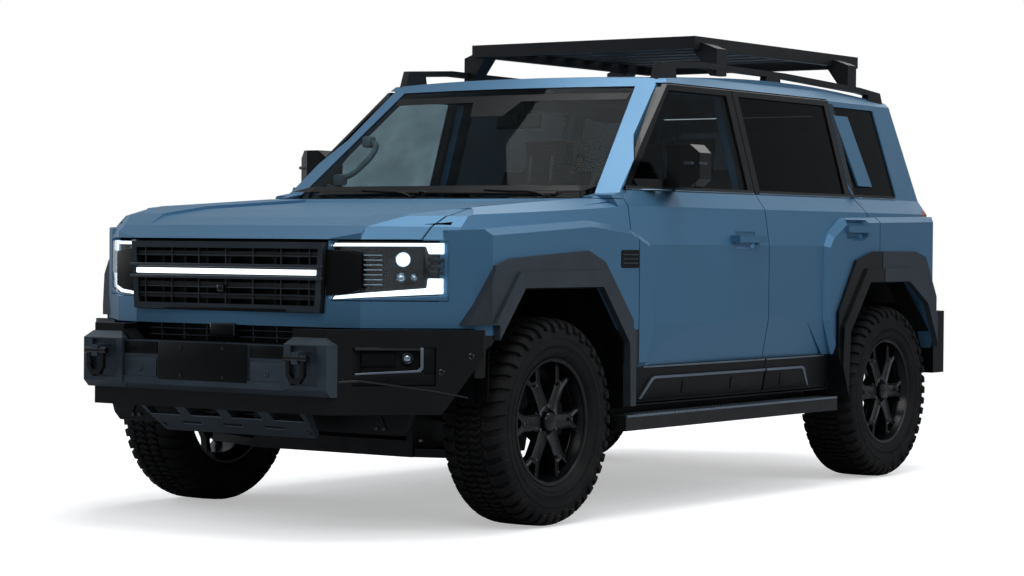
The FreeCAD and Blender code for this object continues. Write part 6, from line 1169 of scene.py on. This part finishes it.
def strip(points, start, end, thickness):
    """A thin sheet along points in y and z, reaching across from one x to the other."""
    bm = bmesh.new()
    verts = [bm.verts.new((start, y, z)) for y, z in points]
    edges = [bm.edges.new(pair) for pair in zip(verts, verts[1:])]
    made = bmesh.ops.extrude_edge_only(bm, edges=edges)
    ends = [v for v in made["geom"] if isinstance(v, bmesh.types.BMVert)]
    bmesh.ops.translate(bm, vec=(end - start, 0, 0), verts=ends)
    bmesh.ops.recalc_face_normals(bm, faces=bm.faces)
    bmesh.ops.solidify(bm, geom=bm.faces[:], thickness=thickness)
    bmesh.ops.recalc_face_normals(bm, faces=bm.faces)
    return bm


def make_lower_covers():
    """Black edges inside the wheel openings, covers inside the steps and the bumper's lower corners."""
    cover = Builder("arch_edges_and_lower_covers", ["Deep black", "Black plastic", "Slat grey"], "body",
                    "black_plastic")
    front = [(-0.464, 0.500), (-0.457, 0.690), (-0.265, 0.911), (0.265, 0.911), (0.457, 0.690),
             (0.464, 0.430)]
    rear = [(2.313, 0.430), (2.343, 0.690), (2.536, 0.911), (2.931, 0.911), (3.126, 0.749), (3.257, 0.627),
            (3.258, 0.470)]
    for points in (front, rear):
        cover.add(strip(points, 0.860, 0.952, 0.002), finish="Deep black", both=True)
    cover.add(block((0.012, 1.62, 0.100), 0.002), at(0.838, 1.350, 0.440), "Deep black", both=True)
    lower = [(0.250, 0.540), (0.250, 0.372), (0.700, 0.370), (0.730, 0.400), (0.755, 0.470), (0.760, 0.540)]
    cover.add(plate(lower, 0.040, 0.006), at(0, -0.620, 0) @ turn(90, "X"), "Black plastic", both=True)
    ridge = [(0.560, 0.535), (0.585, 0.470), (0.632, 0.392), (0.642, 0.392), (0.597, 0.470), (0.574, 0.535)]
    cover.add(plate(ridge, 0.006, 0.002), at(0, -0.659, 0) @ turn(90, "X"), "Black plastic", both=True)
    for x in (0.590, 0.625):
        cover.add(rod(0.009, 0.006, 6, 0.001), at(x, -0.662, 0.395) @ turn(90, "X"), "Slat grey", both=True)
    cover.add(block((0.260, 0.300, 0.012), 0.003), at(0.430, -0.755, 0.461), "Black plastic", both=True)
    cover.done()


def make_roof_gear():
    """Ribs, bolts and end caps of the rack, and the feet's screws."""
    rack = Builder("rack_ribs_and_bolts", ["Black steel", "Bare steel", "Smooth rubber"], "body",
                   "black_metal")
    front, back, border, slats, slat_top = 1.580, 3.120, 0.038, 9, 1.9955
    room = (back - front - border * 2) / slats
    for index in range(slats):
        middle = front + border + room * (index + 0.5)
        for offset in (-0.030, -0.010, 0.010, 0.030):
            rack.add(block((1.15, 0.004, 0.0022), 0.0006, 1), at(0, middle + offset, slat_top))
        for side in (1, -1):
            rack.add(rod(0.007, 0.005, 6, 0.001), at(side * 0.572, middle, slat_top + 0.001), "Bare steel")
    for foot in (1.675, 2.905):
        for offset in (-0.024, 0.024):
            rack.add(rod(0.009, 0.006, 6, 0.0012), at(0.662, foot + offset, 1.905) @ turn(90, "Y"),
                     "Bare steel", both=True)
    for end in (front + 0.010, back - 0.010):
        rack.add(block((0.05, 0.012, 0.030), 0.004), at(0.575, end, 1.962), "Smooth rubber", both=True)
    rack.done()


def make_rear_dress():
    """Inserts of the tail lamps, the gate's handle, the blank plate board and the rear bumper's trim."""
    rear = Builder("tail_lamp_inserts", ["Red lamp", "Lamp chrome", "Amber lamp", "Gloss black",
                                         "Deep black", "Slat grey", "Red glow"], "body", "red_lamp")
    low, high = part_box("tail_lamps")
    for z0, z1, lens in ((low.z + 0.014, low.z + 0.070, "Lamp chrome"),
                         (low.z + 0.078, low.z + 0.128, "Amber lamp"),
                         (low.z + 0.136, high.z - 0.060, "Red glow")):
        part = plate(oblong(0.822, 0.872, z0, z1), 0.002, 0.0008)
        rear.add(drape(part, ("tail_lamps",), "back", 0.0002), finish=lens, both=True)
    low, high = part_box("rear_bumper")
    back = high.y + MIDDLE
    rear.add(block((0.50, 0.004, 0.13), 0.003), at(0, back + 0.001, 0.640), "Deep black")
    rear.add(block((0.44, 0.003, 0.115), 0.003), at(0, back + 0.003, 0.640), "Slat grey")
    for x in (-0.60, -0.34, 0.34, 0.60):
        rear.add(turned([(0.011, 0), (0.011, 0.0025), (0.009, 0.0035), (0.0, 0.0025)], 24),
                 at(x, back, 0.690) @ turn(-90, "X"), "Gloss black")
    for x in (-0.70, 0.70):
        rear.add(block((0.12, 0.003, 0.030), 0.002), at(x, back + 0.0005, 0.560), "Red lamp")
    rear.done()
    gate = Builder("tailgate_handle", ["Gloss black", "Deep black", "Red lamp", "Smooth rubber"],
                   "tailgate", "black_gloss")
    gate.add(drape(plate(oblong(0.575, 0.665, 1.02, 1.20), 0.003, 0.002), ("tailgate",),
                   "back"), finish="Deep black")
    gate.add(drape(plate(oblong(0.606, 0.634, 1.04, 1.18), 0.014, 0.004), ("tailgate",),
                   "back"), finish="Gloss black")
    gate.add(drape(plate(oblong(-0.20, 0.20, 1.676, 1.692), 0.006, 0.002), ("tailgate",),
                   "back"), finish="Red lamp")
    gate.done()
    cover = Builder("spare_wheel_rings", ["Gloss black", "Slat grey"], "tailgate", "black_gloss")
    low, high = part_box("spare_cover")
    middle, face = (low + high) / 2, high.y + MIDDLE
    seat = at(middle.x, face, middle.z) @ turn(-90, "X")
    cover.add(turned([(0.150, -0.002), (0.150, 0.002), (0.146, 0.004), (0.142, 0.002), (0.142, -0.002)], 72,
                     True), seat, "Slat grey")
    for index in range(6):
        cover.add(rod(0.010, 0.006, 6, 0.0015), seat @ turn(60 * index, "Z") @ at(0.085, 0, 0.001),
                  "Gloss black")
    cover.done()


def make_running_gear():
    """Coils round the rear springs, and the bolts of the front arms."""
    gear = Builder("rear_coils", ["Black steel", "Cast iron", "Bare steel"], "body", "black_metal")
    turns, steps, coil, foot, height = 6, 16, 0.062, 0.452, 0.215
    for side in (1, -1):
        line = [(side * 0.480 + coil * math.cos(a * math.tau / steps),
                 WHEELS["rl"][1] + coil * math.sin(a * math.tau / steps),
                 foot + height * a / (turns * steps)) for a in range(turns * steps)]
        gear.add(pipe(line, 0.007, 2, False))
    for x in (-0.60, -0.42, 0.42, 0.60):
        for y in (-0.16, 0.16):
            gear.add(rod(0.011, 0.010, 6, 0.0015), at(x, y, 0.313), "Bare steel")
    gear.done()


# ---------------------------------------------------------------- cabin

def make_cabin():
    """The screens and vents of the dash, a round steering wheel and the grab handle."""
    cabin = Builder("dash_screens_and_handle", ["Screen face", "Cabin plastic", "Slat grey", "Pale trim",
                                                "Deep black"], "body", "cabin")
    low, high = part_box("dashboard")
    top, back = high.z, high.y + MIDDLE
    lean = turn(-14, "X")
    cabin.add(block((0.36, 0.016, 0.190), 0.006), at(0.0, back - 0.03, top + 0.030) @ lean, "Cabin plastic")
    cabin.add(block((0.35, 0.003, 0.178), 0.001), at(0.0, back - 0.0215, top + 0.032) @ lean, "Screen face")
    cabin.add(block((0.27, 0.016, 0.120), 0.006), at(0.37, back - 0.07, top + 0.010) @ lean,
              "Cabin plastic")
    cabin.add(block((0.26, 0.003, 0.108), 0.001), at(0.37, back - 0.0615, top + 0.012) @ lean,
              "Screen face")
    for x in (-0.60, -0.36, 0.62):
        cabin.add(block((0.12, 0.006, 0.050), 0.004), at(x, back + 0.001, top - 0.050), "Deep black")
        for index in range(4):
            cabin.add(block((0.108, 0.006, 0.003)), at(x, back + 0.003, top - 0.068 + index * 0.012),
                      "Slat grey")
    # A handle on the right pillar, as the photo shows through the windscreen.
    cabin.add(pipe([(-0.668, 0.700, 1.360), (-0.630, 0.715, 1.372), (-0.600, 0.770, 1.420),
                    (-0.590, 0.830, 1.475), (-0.605, 0.862, 1.512), (-0.640, 0.868, 1.520)], 0.013, 4),
              finish="Pale trim")
    cabin.add(block((0.05, 0.05, 0.05), 0.012), at(-0.672, 0.700, 1.352), "Pale trim")
    cabin.add(block((0.05, 0.05, 0.05), 0.012), at(-0.646, 0.868, 1.522), "Pale trim")
    cabin.add(turned([(0.030, 0), (0.030, 0.006), (0.024, 0.009), (0.0, 0.009)], 32),
              at(-0.655, 0.610, 1.300) @ turn(-60, "X"), "Pale trim")
    cabin.done()

    wheel = Builder("round_steering_wheel", ["Hide", "Cabin plastic", "Slat grey"], "steering_wheel",
                    "cabin")
    seat = at(0.37, 1.085, 1.085) @ turn(-68, "X")
    tube = [(0.180 + 0.0148 * math.cos(a * math.tau / 14), 0.0148 * math.sin(a * math.tau / 14))
            for a in range(14)]
    wheel.add(turned(tube, 72, True), seat, "Hide")
    wheel.add(turned([(0.0, -0.014), (0.050, -0.014), (0.056, -0.004), (0.054, 0.008), (0.044, 0.015),
                      (0.0, 0.019)], 48), seat, "Cabin plastic")
    for angle in (0, 180, 270):
        wheel.add(block((0.125, 0.034, 0.012), 0.004), seat @ turn(angle, "Z") @ at(0.108, 0, 0.0),
                  "Cabin plastic")
        wheel.add(block((0.060, 0.022, 0.004), 0.001), seat @ turn(angle, "Z") @ at(0.100, 0, 0.007),
                  "Slat grey")
    wheel.done("steering_wheel")


# The seats' cloth: the cells it is cut into, how far inside the solids it starts, its pressure, its steps.
SEAT_CELL, SEAT_INSET, SEAT_PRESSURE, SEAT_STEPS = 0.015, 0.010, 4.0, 14


def applied(thing):
    """Turns an object's modifiers, as they stand at this frame, into its mesh."""
    graph = bpy.context.evaluated_depsgraph_get()
    shape = bpy.data.meshes.new_from_object(thing.evaluated_get(graph))
    thing.modifiers.clear()
    thing.data = shape


def swell(seats, furthest):
    """Blows the cover up with simulated cloth, no point of it further than that."""
    remesh = seats.modifiers.new("cells", "REMESH")
    remesh.mode = "VOXEL"
    remesh.voxel_size = SEAT_CELL
    thin = seats.modifiers.new("smaller", "DISPLACE")
    thin.strength = -SEAT_INSET
    thin.mid_level = 0.0
    applied(seats)
    start = [v.co.copy() for v in seats.data.vertices]
    cloth = seats.modifiers.new("cover", "CLOTH")
    cloth.settings.use_pressure = True
    cloth.settings.uniform_pressure_force = SEAT_PRESSURE
    cloth.settings.effector_weights.gravity = 0.0
    cloth.settings.quality = 4
    cloth.settings.mass = 0.3
    scene = bpy.context.scene
    for step in range(1, SEAT_STEPS + 1):
        scene.frame_set(step)
    applied(seats)
    scene.frame_set(1)
    for vert, spot in zip(seats.data.vertices, start):
        move = vert.co - spot
        if move.length > furthest:
            vert.co = spot + move.normalized() * furthest
    smooth = seats.modifiers.new("finer", "SUBSURF")
    smooth.levels = smooth.render_levels = 1
    applied(seats)


def make_seats(sizes):
    """The padded seats, from a slightly smaller copy of their solids, and the headrests' posts."""
    mesh = NODES["seats"].data.copy()
    mesh.materials.clear()
    bm = bmesh.new()
    bm.from_mesh(mesh)
    bmesh.ops.remove_doubles(bm, verts=bm.verts, dist=1e-5)
    bmesh.ops.recalc_face_normals(bm, faces=bm.faces)
    bm.to_mesh(mesh)
    bm.free()
    seats = bpy.data.objects.new("padded_seats", mesh)
    bpy.context.scene.collection.objects.link(seats)
    swell(seats, sizes.stitch_swell)
    seats.data.materials.append(FINISHES["Hide"])
    seats.data.shade_smooth()
    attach(seats, "body")
    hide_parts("seats")
    posts = Builder("headrest_posts_and_piping", ["Bare steel", "Deep black"], "body", "cabin")
    for middle in (-0.37, 0.37):
        for offset in (-0.06, 0.06):
            posts.add(rod(0.006, 0.12, 12, 0.001), at(middle + offset, 1.815, 1.425) @ turn(-8, "X"))
    posts.done()


# ---------------------------------------------------------------- stage

SKY, SKY_STRENGTH = (0.86, 0.93, 1.0, 1), 0.30
FLOOR_GREY, FLOOR_GLOW, FLOOR_BOUNCE = (0.90, 0.90, 0.90, 1), 0.42, (0.32, 0.33, 0.35, 1)
FLOOR_SIZE = 30
# The floor is seen as a floor up to the first distance and is pure white from the second.
FLOOR_FADE = {"From Min": 3.2, "From Max": 6.5}
WHITE = (1, 1, 1, 1)
LIGHTS = (  # name, place, size, power and colour
    ("key", (4.0, -6.5, 6.0), 5.0, 190, (1.0, 0.98, 0.95)),
    ("left", (8.0, 2.5, 4.5), 6.0, 210, (0.92, 0.96, 1.0)),
    ("top", (0.5, 0.5, 7.5), 6.0, 420, (1.0, 1.0, 1.0)),
    ("right", (-8.0, -2.0, 4.0), 6.0, 180, (0.92, 0.96, 1.0)),
    ("back", (-2.0, 9.0, 5.0), 6.0, 200, (1.0, 0.98, 0.95)),
)
AIM_HEIGHT = 0.8
CAMERA_PLACE, SENSOR_WIDTH = (6.54, -8.35 - MIDDLE, 1.09), 36
CAMERA_YAW, CAMERA_PITCH, CAMERA_ROLL = 34.81, 1.02, 0.46


def make_world():
    """A world that is white to the camera and through glass, and pale to all other rays."""
    world = bpy.data.worlds.new("Pale room")
    bpy.context.scene.world = world
    world.use_nodes = True
    tree = world.node_tree
    tree.nodes.clear()
    out = add_node(tree, "ShaderNodeOutputWorld")
    lit = add_node(tree, "ShaderNodeBackground", {"Color": SKY, "Strength": SKY_STRENGTH})
    seen = add_node(tree, "ShaderNodeBackground", {"Color": WHITE, "Strength": 1.0})
    path = add_node(tree, "ShaderNodeLightPath")
    mix = add_node(tree, "ShaderNodeMixShader")
    either = add_node(tree, "ShaderNodeMath", operation="MAXIMUM")
    wire(tree, (path, "Is Camera Ray", either, 0), (path, "Is Transmission Ray", either, 1),
         (either, 0, mix, 0), (lit, 0, mix, 1), (seen, 0, mix, 2), (mix, 0, out, 0))


def make_floor():
    """A pale floor that fades into the white world, and bounces little light back."""
    bm = bmesh.new()
    bmesh.ops.create_grid(bm, x_segments=2, y_segments=2, size=FLOOR_SIZE)
    mesh = bpy.data.meshes.new("studio_floor")
    bm.to_mesh(mesh)
    bm.free()
    floor = bpy.data.objects.new("studio_floor", mesh)
    bpy.context.scene.collection.objects.link(floor)
    material = bpy.data.materials.new("Studio floor")
    material.use_nodes = True
    tree = material.node_tree
    shader = tree.nodes["Principled BSDF"]
    fill(shader, {"Base Color": FLOOR_GREY, "Roughness": 0.8})
    glow = add_node(tree, "ShaderNodeEmission", {"Color": WHITE, "Strength": FLOOR_GLOW})
    white = add_node(tree, "ShaderNodeEmission", {"Color": WHITE, "Strength": 1.0})
    bounce = add_node(tree, "ShaderNodeBsdfDiffuse", {"Color": FLOOR_BOUNCE})
    add = add_node(tree, "ShaderNodeAddShader")
    path = add_node(tree, "ShaderNodeLightPath")
    mix = add_node(tree, "ShaderNodeMixShader")
    far = add_node(tree, "ShaderNodeMixShader")
    spot = add_node(tree, "ShaderNodeTexCoord")
    length = add_node(tree, "ShaderNodeVectorMath", operation="LENGTH")
    fade = add_node(tree, "ShaderNodeMapRange", FLOOR_FADE)
    wire(tree, (spot, "Object", length, 0), (length, "Value", fade, "Value"), (shader, 0, add, 0),
         (glow, 0, add, 1), (fade, "Result", far, 0), (add, 0, far, 1), (white, 0, far, 2),
         (path, "Is Camera Ray", mix, 0), (bounce, 0, mix, 1), (far, 0, mix, 2),
         (mix, 0, tree.nodes["Material Output"], 0))
    mesh.materials.append(material)


def make_lights():
    """Large soft lights round the vehicle."""
    for name, place, size, power, colour in LIGHTS:
        light = bpy.data.lights.new(name, "AREA")
        light.size = size
        light.energy = power
        light.color = colour
        lamp = bpy.data.objects.new(name, light)
        lamp.location = place
        way = Vector((0, 0, AIM_HEIGHT)) - Vector(place)
        lamp.rotation_euler = way.to_track_quat("-Z", "Y").to_euler()
        bpy.context.scene.collection.objects.link(lamp)


def make_camera(sizes):
    """The camera where the photograph was taken from."""
    yaw, pitch, roll = (math.radians(angle) for angle in (CAMERA_YAW, CAMERA_PITCH, CAMERA_ROLL))
    ahead = Vector((-math.sin(yaw) * math.cos(pitch), math.cos(yaw) * math.cos(pitch), -math.sin(pitch)))
    right = Vector((math.cos(yaw), math.sin(yaw), 0))
    side = right * math.cos(roll) + right.cross(ahead) * math.sin(roll)
    data = bpy.data.cameras.new("camera")
    data.lens = sizes.camera_lens
    data.sensor_width = SENSOR_WIDTH
    camera = bpy.data.objects.new("camera", data)
    camera.matrix_world = Matrix((side, side.cross(ahead), -ahead)).transposed().to_4x4()
    camera.location = CAMERA_PLACE
    bpy.context.scene.collection.objects.link(camera)
    bpy.context.scene.camera = camera


def make_stage(sizes):
    """World, floor, lights and camera."""
    make_world()
    make_floor()
    make_lights()
    make_camera(sizes)
    bpy.context.scene.view_settings.view_transform = "Standard"


# ---------------------------------------------------------------- operators

def sizes_and_colours(context):
    """The groups of sizes and of colours that the user may change."""
    return context.scene.off_roader_sizes, context.scene.off_roader_colours


class OFFROADER_OT_finishes(bpy.types.Operator):
    """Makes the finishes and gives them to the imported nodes"""
    bl_idname = "offroader.finishes"
    bl_label = "Finishes"

    def execute(self, context):
        make_finishes(sizes_and_colours(context)[1])
        dress_nodes()
        return {"FINISHED"}


class OFFROADER_OT_tyres(bpy.types.Operator):
    """Makes the four tyres and the spare with their tread"""
    bl_idname = "offroader.tyres"
    bl_label = "Tyres"

    def execute(self, context):
        make_tyres(sizes_and_colours(context)[0])
        return {"FINISHED"}


class OFFROADER_OT_wheels(bpy.types.Operator):
    """Makes the four wheels"""
    bl_idname = "offroader.wheels"
    bl_label = "Wheels"

    def execute(self, context):
        make_wheels(sizes_and_colours(context)[0])
        return {"FINISHED"}


class OFFROADER_OT_headlamps(bpy.types.Operator):
    """Makes the headlamps and the light bar"""
    bl_idname = "offroader.headlamps"
    bl_label = "Headlamps"

    def execute(self, context):
        make_headlamps()
        return {"FINISHED"}


class OFFROADER_OT_nose(bpy.types.Operator):
    """Makes the grille's rails, brackets and slats and the lower intake"""
    bl_idname = "offroader.nose"
    bl_label = "Grille and intake"

    def execute(self, context):
        make_nose()
        return {"FINISHED"}


class OFFROADER_OT_bumper(bpy.types.Operator):
    """Makes the front bumper's trims, sensors and fog lamps"""
    bl_idname = "offroader.bumper"
    bl_label = "Bumper trim"

    def execute(self, context):
        make_bumper()
        return {"FINISHED"}


class OFFROADER_OT_screen_trim(bpy.types.Operator):
    """Makes the windscreen's border, the wipers and the cabin mirror"""
    bl_idname = "offroader.screen_trim"
    bl_label = "Windscreen trim"

    def execute(self, context):
        make_screen_trim()
        return {"FINISHED"}


class OFFROADER_OT_side_dress(bpy.types.Operator):
    """Makes strips, ridges, mirror glasses, vents and steps of both sides"""
    bl_idname = "offroader.side_dress"
    bl_label = "Side dress"

    def execute(self, context):
        make_side_dress()
        return {"FINISHED"}


class OFFROADER_OT_lower_covers(bpy.types.Operator):
    """Makes the edges inside the wheel openings and the lower covers"""
    bl_idname = "offroader.lower_covers"
    bl_label = "Lower covers"

    def execute(self, context):
        make_lower_covers()
        return {"FINISHED"}


class OFFROADER_OT_roof_gear(bpy.types.Operator):
    """Makes the rack's ribs and bolts"""
    bl_idname = "offroader.roof_gear"
    bl_label = "Roof gear"

    def execute(self, context):
        make_roof_gear()
        return {"FINISHED"}


class OFFROADER_OT_rear_dress(bpy.types.Operator):
    """Makes the tail lamps' inserts, the gate's handle and the rear bumper's trim"""
    bl_idname = "offroader.rear_dress"
    bl_label = "Rear dress"

    def execute(self, context):
        make_rear_dress()
        return {"FINISHED"}


class OFFROADER_OT_running_gear(bpy.types.Operator):
    """Makes the rear coils and the bolts below"""
    bl_idname = "offroader.running_gear"
    bl_label = "Running gear"

    def execute(self, context):
        make_running_gear()
        return {"FINISHED"}


class OFFROADER_OT_cabin(bpy.types.Operator):
    """Makes the dash screens, the steering wheel and the grab handle"""
    bl_idname = "offroader.cabin"
    bl_label = "Cabin"

    def execute(self, context):
        make_cabin()
        return {"FINISHED"}


class OFFROADER_OT_seats(bpy.types.Operator):
    """Swells the seats with simulated cloth"""
    bl_idname = "offroader.seats"
    bl_label = "Seats"

    def execute(self, context):
        make_seats(sizes_and_colours(context)[0])
        return {"FINISHED"}


class OFFROADER_OT_stage(bpy.types.Operator):
    """Sets the floor, the lamps and the camera"""
    bl_idname = "offroader.stage"
    bl_label = "Stage"

    def execute(self, context):
        make_stage(sizes_and_colours(context)[0])
        return {"FINISHED"}


class OFFROADER_PT_panel(bpy.types.Panel):
    """The off-roader's pieces"""
    bl_idname = "OFFROADER_PT_panel"
    bl_label = "Off-roader"
    bl_space_type = "VIEW_3D"
    bl_region_type = "UI"
    bl_category = "Off-roader"

    def draw(self, context):
        for operator in OPERATORS:
            self.layout.operator(operator.bl_idname)
        for group in sizes_and_colours(context):
            for name in group.bl_rna.properties.keys():
                if name not in ("rna_type", "name"):
                    self.layout.prop(group, name)


OPERATORS = (OFFROADER_OT_finishes, OFFROADER_OT_tyres, OFFROADER_OT_wheels, OFFROADER_OT_headlamps,
             OFFROADER_OT_nose, OFFROADER_OT_bumper, OFFROADER_OT_screen_trim, OFFROADER_OT_side_dress,
             OFFROADER_OT_lower_covers, OFFROADER_OT_roof_gear, OFFROADER_OT_rear_dress,
             OFFROADER_OT_running_gear, OFFROADER_OT_cabin, OFFROADER_OT_seats, OFFROADER_OT_stage)
CLASSES = (OffRoaderSizes, OffRoaderColours) + OPERATORS + (OFFROADER_PT_panel,)


def register():
    """Adds the groups, the operators and the panel."""
    for kind in CLASSES:
        bpy.utils.register_class(kind)
    bpy.types.Scene.off_roader_sizes = PointerProperty(type=OffRoaderSizes)
    bpy.types.Scene.off_roader_colours = PointerProperty(type=OffRoaderColours)


def unregister():
    """Takes them away again."""
    del bpy.types.Scene.off_roader_sizes
    del bpy.types.Scene.off_roader_colours
    for kind in reversed(CLASSES):
        bpy.utils.unregister_class(kind)


def main():
    """Builds the whole scene."""
    register()
    bpy.ops.offroader.finishes()
    bpy.ops.offroader.tyres()
    bpy.ops.offroader.wheels()
    bpy.ops.offroader.headlamps()
    bpy.ops.offroader.nose()
    bpy.ops.offroader.bumper()
    bpy.ops.offroader.screen_trim()
    bpy.ops.offroader.side_dress()
    bpy.ops.offroader.lower_covers()
    bpy.ops.offroader.roof_gear()
    bpy.ops.offroader.rear_dress()
    bpy.ops.offroader.running_gear()
    bpy.ops.offroader.cabin()
    bpy.ops.offroader.seats()
    bpy.ops.offroader.stage()


if __name__ == "__main__":
    main()
